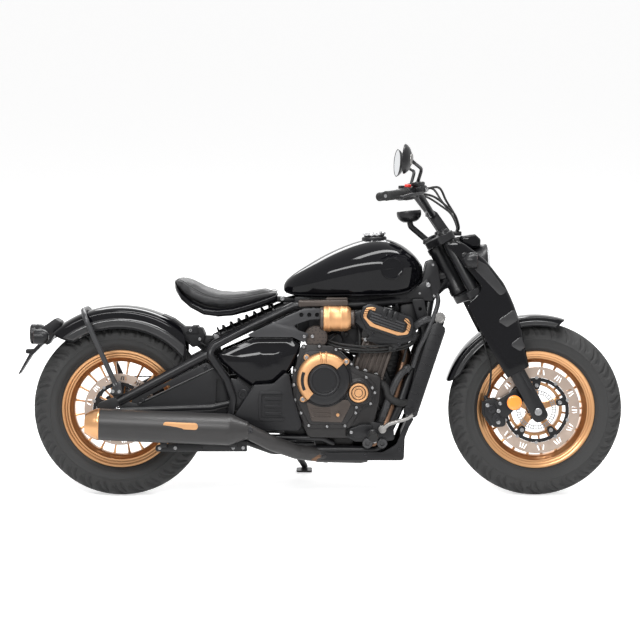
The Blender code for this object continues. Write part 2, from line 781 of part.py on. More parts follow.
def build_swingarm():
    """Both legs, their upper tubes, side plates, the cross brace and the rear axle."""
    parts = []
    for side in (1, -1):
        y = side * ARM_Y
        upper = [(REAR_AXLE.x, y, REAR_AXLE.z + 0.033), (0.322, y, 0.528), (0.350, y, 0.505)]
        parts.append(tube(bent_path(upper, 0.02, 1), ARM_TUBE_RADIUS, TUBE_FACETS))
        lower = [(REAR_AXLE.x - 0.010, y, REAR_AXLE.z), (0.340, y, 0.335), (0.462, side * 0.1355, 0.366)]
        parts.append(tube(lower, [0.016, 0.016, 0.014], TUBE_FACETS))
        plate = [
            (0.040, 0.322),
            (0.050, 0.366),
            (0.322, 0.500, 0.010),
            (0.385, 0.462, 0.012),
            (0.398, 0.318, 0.010),
        ]
        y0, y1 = y - ARM_PLATE_THICKNESS / 2, y + ARM_PLATE_THICKNESS / 2
        web = prism(rounded(plate, 0.0, 1), y0, y1)
        slot = [(0.107, 0.365), (0.183, 0.404), (0.189, 0.414), (0.181, 0.415), (0.103, 0.375)]
        gap = [(0.352, 0.345), (0.368, 0.345), (0.370, 0.440), (0.356, 0.440)]
        for hole in (slot, gap):
            web = cut(web, prism(hole, y - 0.03, y + 0.03))
        parts.append(web)
        end = [(-0.075, -0.023), (0.075, -0.023), (0.075, 0.023), (-0.020, 0.049), (-0.075, 0.027)]
        lug = [(-0.014, 0.027), (0.016, 0.027), (0.012, 0.082), (-0.004, 0.097), (-0.022, 0.082)]
        for shape, half in ((rounded(end, 0.012, 1), 0.006), (lug, 0.005)):
            parts.append(prism([(REAR_AXLE.x + x, REAR_AXLE.z + z) for x, z in shape], y - half, y + half))
        nut = REAR_AXLE + Vector((0, y, 0))
        parts.append(rod(nut - Vector((0, 0.010, 0)), nut + Vector((0, side * 0.022, 0)), 0.015, 8))
    parts.append(rod((0.362, -ARM_Y, 0.500), (0.362, ARM_Y, 0.500), 0.0145, 8))
    parts.append(prism([(0.340, 0.500), (0.375, 0.500), (0.358, 0.590), (0.338, 0.586)], -0.012, 0.012))
    reach = Vector((0, ARM_Y, 0))
    axle = rod(REAR_AXLE - reach, REAR_AXLE + reach, AXLE_RADIUS, 12)
    return fuse(axle, *parts)


def build_shock():
    """The nearly level coil-over unit under the seat."""
    start, end = SHOCK_START, SHOCK_END
    length = (end - start).length
    profile = [(0.016, 0.0), (0.016, 0.018), (SHOCK_RADIUS, 0.020), (SHOCK_RADIUS, 0.026)]
    coils, first, last = 6, 0.030, length - 0.062
    for k in range(coils):
        at = first + (last - first) * (k + 0.5) / coils
        step = (last - first) / coils
        profile += [(0.024, at - 0.40 * step), (SHOCK_RADIUS, at), (0.024, at + 0.40 * step)]
    top = last + 0.004
    profile += [(SHOCK_RADIUS, top), (SHOCK_RADIUS, top + 0.008), (0.020, top + 0.010), (0.016, length)]
    return turned_on(start, end, profile, 8, "shock")


def build_rear_mudguard():
    guard = mudguard(
        REAR_AXLE, REAR_GUARD_RADIUS, REAR_GUARD_HALF_WIDTH, REAR_SKIRT_RADIUS, 52, REAR_GUARD_END_DEG, 43, 10
    )
    # distance outside the crown, angle
    corners = ((-0.003, 64.0), (0.019, 54.3), (0.036, 42.6), (0.006, 37.3), (-0.036, 40.3), (-0.012, 52.0))
    return fuse(guard, prism(round_rear_axle(corners), -0.060, 0.060))


def build_stay():
    """The hoop that carries the mudguard: up from the axle plates, over the crown and down again."""
    y = ARM_Y + 0.012
    low = (REAR_AXLE.x - 0.006, REAR_AXLE.z + 0.089)
    shoulder, high = round_rear_axle(((-0.0175, 109.4), (STAY_RADIUS * 0.75, STAY_ANGLE_DEG)))
    route = [
        (low[0], -y, low[1]),
        (shoulder[0], -y, shoulder[1]),
        (high[0], -0.078, high[1]),
        (high[0], 0.078, high[1]),
        (shoulder[0], y, shoulder[1]),
        (low[0], y, low[1]),
    ]
    hoop = tube(bent_path(route, 0.040, 2), STAY_RADIUS, TUBE_FACETS)
    plates = []
    for side in (1, -1):
        corners = ((-0.030, 0.062), (0.014, 0.062), (0.008, 0.101), (-0.012, 0.109))
        flat = [(REAR_AXLE.x + x, REAR_AXLE.z + z) for x, z in corners]
        y0, y1 = side * (ARM_Y + 0.0053), side * (y + 0.004)
        plates.append(prism(flat, min(y0, y1), max(y0, y1)))
    return fuse(hoop, *plates)


def build_tail():
    """Tail bracket with the round lamp, two indicators on their arms and the plate holder."""
    bracket = outline_by_tail(
        ((-0.0434, -0.034), (-0.0194, -0.056), (0.0106, -0.009), (0.0346, 0.031), (0.0086, 0.046), (-0.0434, 0.009))
    )
    lamp_at, arm_at, indicator_at = (-0.0364, 0, -0.014), (-0.0214, 0, -0.015), (-0.0034, 0, -0.015)
    back = Vector((-1, 0, 0))
    lamp_profile = [(0.030, 0.0), (0.037, 0.010), (0.037, 0.046), (0.030, 0.052)]
    across = Vector((0, INDICATOR_Y - 0.005, 0))
    parts = [
        turned_on(by_tail(*lamp_at), by_tail(*lamp_at) + back, lamp_profile, 12),
        rod(by_tail(*arm_at) - across, by_tail(*arm_at) + across, 0.010, TUBE_FACETS),
    ]
    for side in (1, -1):
        start = by_tail(*indicator_at) + Vector((0, side * INDICATOR_Y, 0))
        parts.append(turned_on(start, start + back, [(0.016, 0.0), (0.027, 0.014), (0.027, 0.050)], 10))
    plate = outline_by_tail(
        ((-0.0134, -0.029), (-0.0354, -0.029), (-0.0894, -0.086), (-0.1294, -0.159), (-0.1254, -0.161), (-0.0814, -0.091))
    )
    parts.append(prism(plate, -0.035, 0.035))
    parts.append(box(by_tail(-0.1034, -0.022, -0.085), by_tail(-0.0734, 0.022, -0.069)))
    return fuse(prism(bracket, -0.045, 0.045), *parts)


SEAT_STATIONS = (
    # x, underside z, top z, half width
    (0.212, 0.776, 0.806, 0.070),
    (0.230, 0.744, 0.809, 0.105),
    (0.262, 0.715, 0.794, 0.132),
    (0.310, 0.691, 0.768, 0.147),
    (0.362, 0.684, 0.752, 0.146),
    (0.415, 0.688, 0.749, 0.128),
    (0.470, 0.703, 0.753, 0.102),
    (0.525, 0.720, 0.763, 0.080),
    (0.562, 0.732, 0.765, 0.066),
    (0.576, 0.738, 0.758, 0.052),
)


def build_seat():
    return section_loft(SEAT_STATIONS, 12, "seat", 2.6)


def build_seat_pan(cushion):
    """The stepped shell that the cushion sits in, with its tongue to the frame."""
    stations = []
    for x, low, high, half in SEAT_STATIONS:
        reach = 1.0 + 0.003 / half
        stations.append((x - 0.004 if x < 0.25 else x, low - 0.024, low + 0.013, half * reach))
    shell = section_loft(stations, 12, "pan", 3.2)
    corners = [(0.500, 0.735), (0.500, 0.705), (0.560, 0.7143), (0.645, 0.7143), (0.645, 0.728), (0.585, 0.736)]
    tongue = prism(corners, -0.030, 0.030)
    shell = cut(fuse(shell, tongue), rod(SHOCK_START, SHOCK_END, SHOCK_RADIUS + 0.004, 12))
    return seated(shell, cushion)


def build_tank():
    stations = (
        # x, underside z, top z, half width
        (0.598, 0.757, 0.775, 0.018),
        (0.612, 0.746, 0.799, 0.045),
        (0.655, 0.738, 0.829, 0.080),
        (0.735, 0.738, 0.880, 0.116),
        (0.820, 0.740, 0.921, 0.140),
        (0.900, 0.741, 0.947, 0.152),
        (0.970, 0.742, 0.951, 0.154),
        (1.030, 0.747, 0.929, 0.142),
        (1.075, 0.768, 0.897, 0.114),
        (1.100, 0.792, 0.868, 0.078),
        (1.110, 0.812, 0.848, 0.040),
    )
    return section_loft(stations, 16, "tank", 2.5)


def build_filler_cap():
    return turned_on(
        (0.932, 0, 0.935),
        (0.930, 0, 0.975),
        [(0.036, 0.0), (0.036, 0.022), (0.043, 0.024), (0.043, 0.034), (0.034, 0.039)],
        14,
    )


SIDE_COVER = (
    # x, z
    (0.371, 0.543),
    (0.493, 0.588),
    (0.625, 0.588),
    (0.663, 0.568),
    (0.655, 0.548),
    (0.614, 0.497),
    (0.559, 0.432),
    (0.472, 0.436),
    (0.417, 0.477),
    (0.371, 0.513),
)


def build_side_cover(side):
    outline = rounded(SIDE_COVER, 0.012, 1)
    made = prism(outline, side * 0.120, side * 0.172, shrink=0.028, middle=side * 0.150)
    return softened(made, 0.004, 1)


PIVOT_COVER = (
    # x, z
    (0.493, 0.421),
    (0.564, 0.426),
    (0.607, 0.466),
    (0.622, 0.458),
    (0.635, 0.386),
    (0.668, 0.274),
    (0.655, 0.254),
    (0.493, 0.254),
    (0.427, 0.300),
    (0.427, 0.318),
)


def build_pivot_cover(side):
    """The moulded cover over the swingarm pivot, with three raised bars in a raised surround."""
    face = PIVOT_COVER_Y + 0.024
    outline = rounded(PIVOT_COVER, 0.008, 1)
    made = prism(outline, side * PIVOT_COVER_Y, side * face, shrink=0.008, middle=side * (face - 0.008))
    outer = rounded([(0.510, 0.290), (0.606, 0.290), (0.596, 0.398), (0.510, 0.398)], 0.012, 1)
    inner = [(0.524, 0.302), (0.612, 0.302), (0.602, 0.386), (0.524, 0.386)]
    surround = prism(outer, side * (face - 0.006), side * (face + 0.006))
    surround = cut(surround, prism(inner, side * (face + 0.001), side * (face + 0.014)))
    low, high = sorted((side * (face - 0.004), side * (face + 0.005)))
    bars = [box((0.534, low, z - 0.005), (0.590, high, z + 0.005)) for z in (0.318, 0.344, 0.370)]
    return fuse(made, surround, *bars)


def build_crankcase():
    outline = rounded(
        [
            (0.652, 0.300),
            (0.690, 0.226),
            (0.850, 0.222),
            (0.925, 0.262),
            (0.950, 0.360),
            (0.955, 0.452),
            (0.860, 0.478),
            (0.770, 0.560),
            (0.690, 0.560),
            (0.655, 0.500),
        ],
        0.018,
        1,
    )
    w = CRANKCASE_HALF_WIDTH
    made = softened(prism(outline, -w, w), 0.010, 1)
    sump_corners = [(0.676, 0.372), (0.700, 0.290), (0.812, 0.286), (0.850, 0.372)]
    sump = prism(rounded(sump_corners, 0.010, 1), -w - 0.022, -w + 0.01)
    boss = turned_on(
        (PUMP_CENTRE[0], -w + 0.01, PUMP_CENTRE[1]),
        (PUMP_CENTRE[0], -0.3, PUMP_CENTRE[1]),
        [(PUMP_RADIUS + 0.006, 0.0), (PUMP_RADIUS + 0.006, 0.030), (PUMP_RADIUS, 0.036)],
        12,
    )
    left_profile = [(0.088, 0.0), (0.088, 0.030), (0.070, 0.048)]
    left = turned_on((0.800, w - 0.01, 0.430), (0.800, 0.3, 0.430), left_profile, 16)
    pan_corners = [(0.700, 0.240), (0.860, 0.240), (0.850, 0.176), (0.720, 0.176)]
    pan = prism(rounded(pan_corners, 0.012, 1), -0.092, 0.092)
    made = fuse(made, sump, boss, left, pan)
    x, z = FRONT_PULLEY_CENTRE
    pocket = rod((x, BELT_Y - 0.016, z), (x, w + 0.02, z), FRONT_PULLEY_RADIUS + 0.014, 16)
    trench = box((x - 0.08, BELT_Y - 0.016, z - 0.060), (x, w + 0.02, z + 0.054))
    face = FRONT_PULLEY_RADIUS - BELT_GAP
    shaft = turned_on(
        (x, BELT_Y - 0.030, z),
        (x, 1, z),
        [(0.020, 0.0), (0.020, 0.018), (face, 0.018), (face, 0.042)],
        16,
    )
    return fuse(cut(made, pocket, trench), shaft, build_clutch_cover(), build_pump_cap())


def build_cylinders():
    """Cylinder block and head, leaning forward, with their cast ribs and the intake stubs."""
    tilt = Matrix.Translation((0.905, 0, 0.455)) @ Matrix.Rotation(math.radians(CYLINDER_LEAN_DEG), 4, "Y")
    block = box((-0.052, -0.118, -0.010), (0.052, 0.118, 0.122))
    parts = [box((-0.070, -0.128, 0.120), (0.072, 0.128, 0.205))]
    for k in range(4):
        x = -0.044 + 0.029 * k
        parts.append(box((x - 0.005, -0.126, 0.004), (x + 0.005, 0.126, 0.116)))
    for side in (-0.055, 0.055):
        parts.append(rod((-0.066, side, 0.165), (-0.120, side, 0.190), 0.024, 12))
    made = fuse(block, *parts)
    made.data.transform(tilt)
    return made


def head_cover_outline(grow=0.0):
    """The slanted cover over the cylinder head, in the head's own plane."""
    return rounded(
        [
            (-0.086 - grow, 0.112 - grow),
            (0.070 + grow, 0.112 - grow, 0.030),
            (0.092 + grow, 0.150, 0.020),
            (0.080 + grow, 0.206 + grow, 0.020),
            (-0.070 - grow, 0.214 + grow, 0.012),
            (-0.092 - grow, 0.180, 0.020),
        ],
        0.026,
        2,
    )


def build_head_cover(side):
    tilt = Matrix.Translation((0.905, 0, 0.455)) @ Matrix.Rotation(math.radians(CYLINDER_LEAN_DEG), 4, "Y")
    made = prism(head_cover_outline(), side * 0.1283, side * 0.180, shrink=0.014, middle=side * 0.166)
    rim_cut = prism(head_cover_outline(-0.026), side * 0.174, side * 0.20)
    made = cut(made, rim_cut)
    low, high = sorted((side * 0.168, side * 0.178))
    ribs = [box((-0.048, low, z - 0.0025), (0.048, high, z + 0.0025)) for z in (0.150, 0.162, 0.174)]
    made = fuse(made, *ribs)
    made.data.transform(tilt)
    return made


def build_clutch_cover():
    w = CRANKCASE_HALF_WIDTH
    start = (CLUTCH_CENTRE[0], -w + 0.010, CLUTCH_CENTRE[1])
    return turned_on(
        start,
        (start[0], -1.0, start[2]),
        [(CLUTCH_RADIUS, 0.0), (CLUTCH_RADIUS, 0.040), (0.078, 0.056), (0.054, 0.058), (0.050, 0.070)],
        18,
    )


def build_clutch_ring():
    """The bronze trim round the clutch cover: two thirds of a ring with three bolt ears."""
    w = CRANKCASE_HALF_WIDTH
    outer, inner = CLUTCH_RADIUS + 0.006, 0.058
    start, sweep = math.radians(42), math.radians(188)
    steps = 10
    arc = []
    for k in range(steps + 1):
        a = start + sweep * k / steps
        arc.append((CLUTCH_CENTRE[0] + outer * math.cos(a), CLUTCH_CENTRE[1] + outer * math.sin(a)))
    for k in range(steps, -1, -1):
        a = start + sweep * k / steps
        arc.append((CLUTCH_CENTRE[0] + inner * math.cos(a), CLUTCH_CENTRE[1] + inner * math.sin(a)))
    ring = prism(arc, -w - 0.012, -w - 0.050)
    ears = []
    for degrees in (40, 128, 222):
        a = math.radians(degrees)
        reach = outer + 0.004
        x, z = CLUTCH_CENTRE[0] + reach * math.cos(a), CLUTCH_CENTRE[1] + reach * math.sin(a)
        ears.append(rod((x, -w - SEAT_GAP, z), (x, -w - 0.032, z), 0.011, 8))
    return fuse(ring, *ears)


def build_pump_cap():
    w = CRANKCASE_HALF_WIDTH
    return turned_on(
        (PUMP_CENTRE[0], -w - 0.020, PUMP_CENTRE[1]),
        (PUMP_CENTRE[0], -1, PUMP_CENTRE[1]),
        [(0.034, 0.0), (0.034, 0.012), (0.030, 0.016)],
        14,
    )


def build_canister():
    return turned_on(
        (0.7443, -0.136, 0.660),
        (1.0, -0.136, 0.660),
        [(0.047, 0.0), (0.047, 0.078), (0.036, 0.098)],
        16,
    )


def build_airbox():
    """The moulded box under the tank with the intake elbows to the head."""
    outline = [(0.690, 0.590), (0.850, 0.585), (0.866, 0.640), (0.850, 0.690), (0.690, 0.690)]
    return softened(prism(outline, -0.078, 0.078), 0.006)


def build_radiator():
    """The raked radiator: finned core between side tanks, with its filler neck."""
    turn = Matrix.Translation((1.061, 0, 0.312)) @ Matrix.Rotation(math.radians(RADIATOR_TILT_DEG), 4, "Y")
    core = box((-0.014, -0.112, 0.0), (0.014, 0.112, 0.332))
    parts = []
    for side in (1, -1):
        guard = [(-0.026, -0.006), (0.024, -0.012), (0.024, 0.336), (-0.012, 0.350), (-0.030, 0.330)]
        y0, y1 = side * 0.108, side * 0.128
        parts.append(prism(guard, min(y0, y1), max(y0, y1)))
    for k in range(5):
        z = 0.040 + 0.062 * k
        parts.append(box((-0.017, -0.110, z - 0.003), (0.017, 0.110, z + 0.003)))
    neck = [(0.014, 0.0), (0.014, 0.027), (0.021, 0.027), (0.021, 0.041)]
    parts.append(turned_on((0.0, -0.094, 0.325), (0.0, -0.094, 1.0), neck, 10))
    made = fuse(core, *parts)
    made.data.transform(turn)
    return made


def build_headers():
    """Both header pipes, down from the head and back under the engine to the muffler's elbow."""
    pipes = []
    for side in (-1, 1):
        y = 0.055 * side
        route = [
            (0.992, y, 0.598),
            (1.052, y * 1.05, 0.540),
            (1.010, y * 1.2 - 0.02, 0.380),
            (0.960, y * 0.9 - 0.06, 0.230),
            (0.880, -0.075 + 0.022 * side, 0.150),
            (0.700, -0.105 + 0.020 * side, 0.158),
        ]
        pipes.append(tube(bent_path(route, 0.060, 1), HEADER_RADIUS, 8))
    route = [(0.720, -0.105, 0.158), (0.640, -0.140, 0.178), (0.560, -0.200, 0.208), (0.462, -0.232, 0.268)]
    collector = tube(bent_path(route, 0.05, 1), 0.026, 8)
    return fuse(pipes[0], pipes[1], collector)


MUFFLER_START = Vector((0.470, -0.235, 0.262))
MUFFLER_END = Vector((-0.058, -0.245, 0.285))


def build_muffler():
    length = (MUFFLER_END - MUFFLER_START).length
    profile = [(0.030, 0.0), (0.046, 0.045), (MUFFLER_RADIUS, 0.110), (MUFFLER_RADIUS, length)]
    made = turned_on(MUFFLER_START, MUFFLER_END, profile, 18)
    flat = rounded([(0.106, 0.182), (0.470, 0.182), (0.470, 0.212), (0.106, 0.212)], 0.012, 2)
    hanger = prism(flat, -0.222, -0.214)
    ears = [box((x - 0.012, -0.240, 0.200), (x + 0.012, -0.214, 0.222)) for x in (0.140, 0.420)]
    return fuse(made, hanger, *ears)


def build_end_cap():
    away = (MUFFLER_END - MUFFLER_START).normalized()
    start = MUFFLER_END + away * SEAT_GAP
    profile = [(MUFFLER_RADIUS, 0.0), (MUFFLER_RADIUS - 0.002, 0.014), (0.034, 0.052)]
    made = turned_on(start, start + away, profile, 18)
    return cut(made, rod(start + away * 0.020, start + away * 0.080, 0.026, 12))


def build_belly_pan():
    """The trough under the engine: floor and two sides, open at the top and the back."""
    outline = [
        (0.717, 0.170),
        (0.727, 0.142),
        (1.038, 0.142),
        (1.041, 0.224),
        (1.056, 0.262),
        (1.075, 0.296),
        (1.050, 0.296),
        (1.010, 0.200),
        (0.960, 0.172),
    ]
    outer = prism(outline, -0.137, 0.137)
    inside = [(0.700, 0.147), (1.030, 0.147), (1.033, 0.226), (1.049, 0.264), (1.066, 0.30), (1.0, 0.33), (0.700, 0.30)]
    return cut(outer, prism(inside, -0.1325, 0.1325))


def build_foot_control(side):
    """Forward foot control: bracket plate, rest and the brake pedal or gear lever."""
    outline = [
        (0.822, 0.232),
        (0.822, 0.262),
        (0.880, 0.284),
        (0.930, 0.284),
        (0.960, 0.262),
        (1.000, 0.252),
        (1.004, 0.218),
        (0.960, 0.212),
        (0.860, 0.212),
    ]
    y = side * 0.1375
    plate = prism(outline, min(y, side * 0.150), max(y, side * 0.150))
    parts = [
        rod((0.924, side * 0.146, 0.238), (0.924, side * 0.262, 0.238), 0.017, 10),
        rod((0.958, side * 0.146, 0.260), (0.958, side * 0.185, 0.260), 0.013, 8),
    ]
    pedal = ((0.958, 0.180, 0.260), (0.990, 0.185, 0.285), (1.040, 0.195, 0.298), (1.074, 0.205, 0.322))
    parts.append(tube([(x, side * out, z) for x, out, z in pedal], 0.0065, TUBE_FACETS))
    parts.append(rod((1.074, side * 0.195, 0.322), (1.074, side * 0.245, 0.322), 0.009, TUBE_FACETS))
    for x in (0.905, 0.958):
        parts.append(rod((x, side * 0.1378, 0.212), (x, side * 0.162, 0.205), 0.019, 10))
    return fuse(plate, *parts)


def build_head_cowl():
    """The moulded cowl that fills the gap between tank and steering head, round the backbone."""
    outline = outline_by_head((
        (-0.1327, -0.0901),
        (-0.0977, -0.0421),
        (-0.0807, 0.0299),
        (-0.0527, 0.0399),
        (-0.0367, 0.0099),
        (-0.0267, -0.0621),
        (-0.0527, -0.1101),
    ))
    made = softened(prism(outline, -HEAD_COWL_HALF_WIDTH, HEAD_COWL_HALF_WIDTH), 0.007)
    return cut(made, head_tube(COWL_GAP), *frame_tubes(COWL_GAP))


def build_fork():
    """Both legs with their sliders, two clamps, the stem, the axle and the brake caliper."""
    x = FORK_OFFSET
    top = UPPER_CLAMP_Z + CLAMP_THICKNESS
    stem = rod((0, 0, LOWER_CLAMP_Z + 0.004), (0, 0, top + 0.012), STEM_RADIUS, 12)
    parts = []
    for side in (1, -1):
        y = side * FORK_HALF_SPACING
        parts.append(rod((x, y, 0.2), (x, y, top + 0.006), FORK_TUBE_RADIUS, 10))
        slider = [(0.024, -0.030), (0.026, 0.030), (SLIDER_RADIUS, 0.060), (SLIDER_RADIUS, SLIDER_TOP)]
        parts.append(turned_on((x, y, 0), (x, y, 1), slider, 10))
        parts.append(rod((x, side * 0.062, 0), (x, side * (FORK_HALF_SPACING + 0.024), 0), 0.020, 10))
    for z in (LOWER_CLAMP_Z, UPPER_CLAMP_Z):
        reach = FORK_HALF_SPACING + 0.032
        corners = [
            (-0.030, -0.030),
            (x - 0.030, -reach),
            (x + 0.032, -reach),
            (x + 0.028, 0.0),
            (x + 0.032, reach),
            (x - 0.030, reach),
            (-0.030, 0.030),
        ]
        plan = rounded(corners, 0.020, 1)
        rings = [[(px, py, pz) for px, py in plan] for pz in (z, z + CLAMP_THICKNESS)]
        parts.append(solid("clamp", rings))
    parts.append(rod((x, -FORK_HALF_SPACING, 0), (x, FORK_HALF_SPACING, 0), AXLE_RADIUS, 12))
    made = fuse(stem, *parts)
    caliper = build_caliper()
    return fuse(made, caliper)


def round_front_disc(points):
    """An (x, z) outline on the fork from (distance outside the disc's edge, angle in degrees) points."""
    outline = []
    for out, degrees in points:
        reach, angle = FRONT_DISC_RADIUS + out, math.radians(degrees)
        outline.append((FORK_OFFSET + reach * math.cos(angle), reach * math.sin(angle)))
    return outline


def build_caliper():
    """The front caliper behind the right leg, with its bracket; its mouth straddles the disc."""
    y = FRONT_DISC_Y
    corners = round_front_disc(
        ((0.0124, 172.6), (-0.032, 179.1), (-0.0381, 150.3), (-0.0013, 134.7), (0.042, 140.4), (0.0334, 155.4))
    )
    body = prism(rounded(corners, 0.012, 1), y - 0.032, y + 0.018)
    reach = FRONT_DISC_RADIUS + 0.006
    slot = [(0.05, y - DISC_SLOT), (reach, y - DISC_SLOT), (reach, y + DISC_SLOT), (0.05, y + DISC_SLOT)]
    mouth = ring_of(slot, WHEEL_FACETS)
    mouth.data.transform(Matrix.Translation((FORK_OFFSET, 0, 0)))
    body = cut(body, mouth)
    back = round_front_disc(((0.0011, 141.3), (-0.0113, 156.0), (-0.0402, 165.4)))
    arm = prism([*back, (0.030, 0.060), (0.030, 0.110)], 0.006 - FORK_HALF_SPACING, y - 0.014)
    return fuse(body, arm)


COVER_STATIONS = (
    # height up the fork, rear edge x, front edge x, outer side y
    (0.162, 0.004, 0.094, 0.146),
    (0.230, -0.001, 0.112, 0.149),
    (0.305, -0.002, 0.134, 0.150),
    (0.380, -0.002, 0.148, 0.150),
    (0.462, 0.000, 0.153, 0.150),
    (0.484, 0.066, 0.151, 0.150),
    (0.500, 0.078, 0.148, 0.150),
    (0.580, 0.060, 0.132, 0.150),
    (0.660, 0.046, 0.096, 0.150),
    (0.690, 0.028, 0.074, 0.148),
)


def build_fork_cover(side):
    """The long shroud down one fork leg: a channel open to the rear, wide in the middle."""
    rings = []
    for z, rear, front, outer_y in COVER_STATIONS:
        inner_y, wall = COVER_INNER_Y, COVER_WALL
        outer_y = max(outer_y, FORK_HALF_SPACING + SLIDER_RADIUS + wall + 0.003)
        soft = min(0.022, (front - rear) * 0.35)
        skin = [
            (rear, outer_y),
            (front - soft, outer_y),
            (front - 0.25 * soft, outer_y - 0.35 * soft),
            (front, outer_y - soft),
            (front, inner_y + soft),
            (front - soft, inner_y),
            (front - soft - 0.020, inner_y),
        ]
        back = [
            (front - soft - 0.020, inner_y + wall),
            (front - soft, inner_y + wall),
            (front - wall, inner_y + soft),
            (front - wall, outer_y - soft),
            (front - 0.25 * soft - wall, outer_y - 0.35 * soft - wall * 0.5),
            (front - soft, outer_y - wall),
            (rear, outer_y - wall),
        ]
        rings.append([(px, side * py, z) for px, py in skin + back])
    made = solid("cover", rings)
    lamp_at = (0.082, side * 0.166, 0.603)
    axis = FORK_FRAME.to_3x3().inverted() @ Vector((1, 0, 0))
    start = Vector(lamp_at) - axis * 0.024
    lamp = turned_on(start, start + axis, [(0.018, 0.0), (0.030, 0.012), (0.030, 0.046)], 12)
    stalk = rod((0.084, side * 0.144, 0.600), lamp_at, 0.010, 8)
    return fuse(made, stalk, lamp)


def build_headlight():
    """The round lamp on its bracket, under a small cowl."""
    at = by_head(0.0593, 0, 0.0159)
    profile = [(0.034, 0.0), (0.058, 0.022), (0.072, 0.048), (0.077, 0.060), (0.077, 0.082), (0.070, 0.096)]
    plates = (
        # half width, outline measured from the steering head
        (0.050, ((0.0353, 0.1229), (0.0973, 0.1329), (0.1193, 0.1129), (0.1173, 0.0829), (0.0593, 0.0729))),
        (0.020, ((0.0293, 0.0729), (0.0593, 0.1329), (0.0873, 0.0479), (0.0593, -0.0171))),
        (0.030, ((0.0053, 0.1129), (0.0453, 0.1229), (0.0593, 0.0929), (0.0273, 0.0729))),
    )
    parts = [prism(rounded(outline_by_head(outline), 0.006, 1), -half, half) for half, outline in plates]
    return fuse(turned_on(at, at + Vector((1, 0, 0)), profile, 16), *parts)


def build_handlebar():
    """The bent bar and its two risers."""
    left = [by_head(*BAR_ROOT), by_head(*BAR_BEND), by_head(*BAR_TIP)]
    right = [Vector((p.x, -p.y, p.z)) for p in reversed(left)]
    parts = [tube(bent_path(right + left, 0.050, 2), BAR_RADIUS, 8)]
    riser = ((-0.0827, 0.2079), (-0.0707, 0.2279), (-0.0427, 0.2119), (0.0113, 0.1359), (-0.0227, 0.1179))
    for y in (-RISER_Y, RISER_Y):
        parts.append(prism(outline_by_head(riser), y - 0.016, y + 0.016))
    return fuse(*parts)


def build_hand_control(side):
    """Grip, switch pod, lever and fluid reservoir on one bar end, with the mirror on its stalk."""
    inner, tip = (by_head(x, side * y, z) for x, y, z in (BAR_BEND, BAR_TIP))
    along = (inner - tip).normalized()
    end = tip - along * BAR_END_REACH
    grip = turned_on(end, inner, [(0.0165, 0.0), (0.0165, 0.122), (0.020, 0.128)], 10)
    pod = turned_on(end + along * 0.127, inner, [(0.024, 0.0), (0.024, 0.052), (0.018, 0.062)], 10)
    up = Vector((0, 0, 1))
    ahead = up.cross(along) * side
    base = end + along * 0.196
    half, near, far = along * 0.026, ahead * -0.004, ahead * 0.046
    middle = base + up * 0.014
    section = [middle - half + near, middle + half + near, middle + half + far, middle - half + far]
    master = solid("master", [[p - up * 0.014 for p in section], [p + up * 0.018 for p in section]])
    start = end + along * 0.180 + ahead * 0.020
    route = [
        start,
        start + ahead * 0.026 - along * 0.010,
        start + ahead * 0.036 - along * 0.075,
        start + ahead * 0.028 - along * 0.165 - up * 0.008,
    ]
    lever = tube(bent_path(route, 0.02, 1), 0.0055, 5)
    foot = base + ahead * 0.012 + up * 0.024
    head = by_head(-0.1727, side * 0.372, 0.3999)
    face = Vector((-0.97, -0.20 * side, 0.06)).normalized()
    top = head - face * 0.020
    bend = foot + Vector((0.018, side * 0.022, 0.060))
    stalk = tube(bent_path([foot, bend, top + Vector((0.012, 0, -0.012)), top], 0.02, 1), 0.0055, 5)
    mirror = turned_on(head - face * 0.022, head, [(0.024, 0.0), (0.053, 0.014), (0.053, 0.024)], 14)
    return fuse(grip, pod, master, lever, stalk, mirror)


def build_gauge():
    """The round instrument on its stalk from the upper clamp."""
    at = by_head(-0.1417, 0, 0.1979)
    up = Vector((-0.10, 0, 1.0)).normalized()
    pod = turned_on(at - up * 0.022, at + up, [(0.030, 0.0), (0.045, 0.014), (0.045, 0.038), (0.041, 0.042)], 16)
    route = [at - up * 0.014, by_head(-0.1367, 0, 0.1599), by_head(-0.0727, 0, 0.1059)]
    stalk = tube(bent_path(route, 0.02, 2), 0.011, 8)
    foot = box(by_head(-0.0907, -0.022, 0.0929), by_head(-0.0527, 0.022, 0.1159))
    return fuse(pod, stalk, foot)


def build_front_mudguard():
    guard = mudguard(
        FRONT_AXLE, FRONT_GUARD_RADIUS, FRONT_GUARD_HALF_WIDTH, FRONT_SKIRT_RADIUS, 72, 162, 76, 10
    )
    lugs = []
    for side in (1, -1):
        outline = [
            on_fork(FORK_OFFSET - 0.018, 0, 0.245),
            on_fork(FORK_OFFSET + 0.018, 0, 0.245),
            on_fork(FORK_OFFSET + 0.018, 0, 0.335),
            on_fork(FORK_OFFSET - 0.018, 0, 0.335),
        ]
        flat = [(p.x, p.z) for p in outline]
        y0, y1 = side * (FRONT_GUARD_HALF_WIDTH - 0.003), side * (FORK_HALF_SPACING - SLIDER_RADIUS + 0.004)
        lugs.append(prism(flat, min(y0, y1), max(y0, y1)))
    return fuse(guard, *lugs)


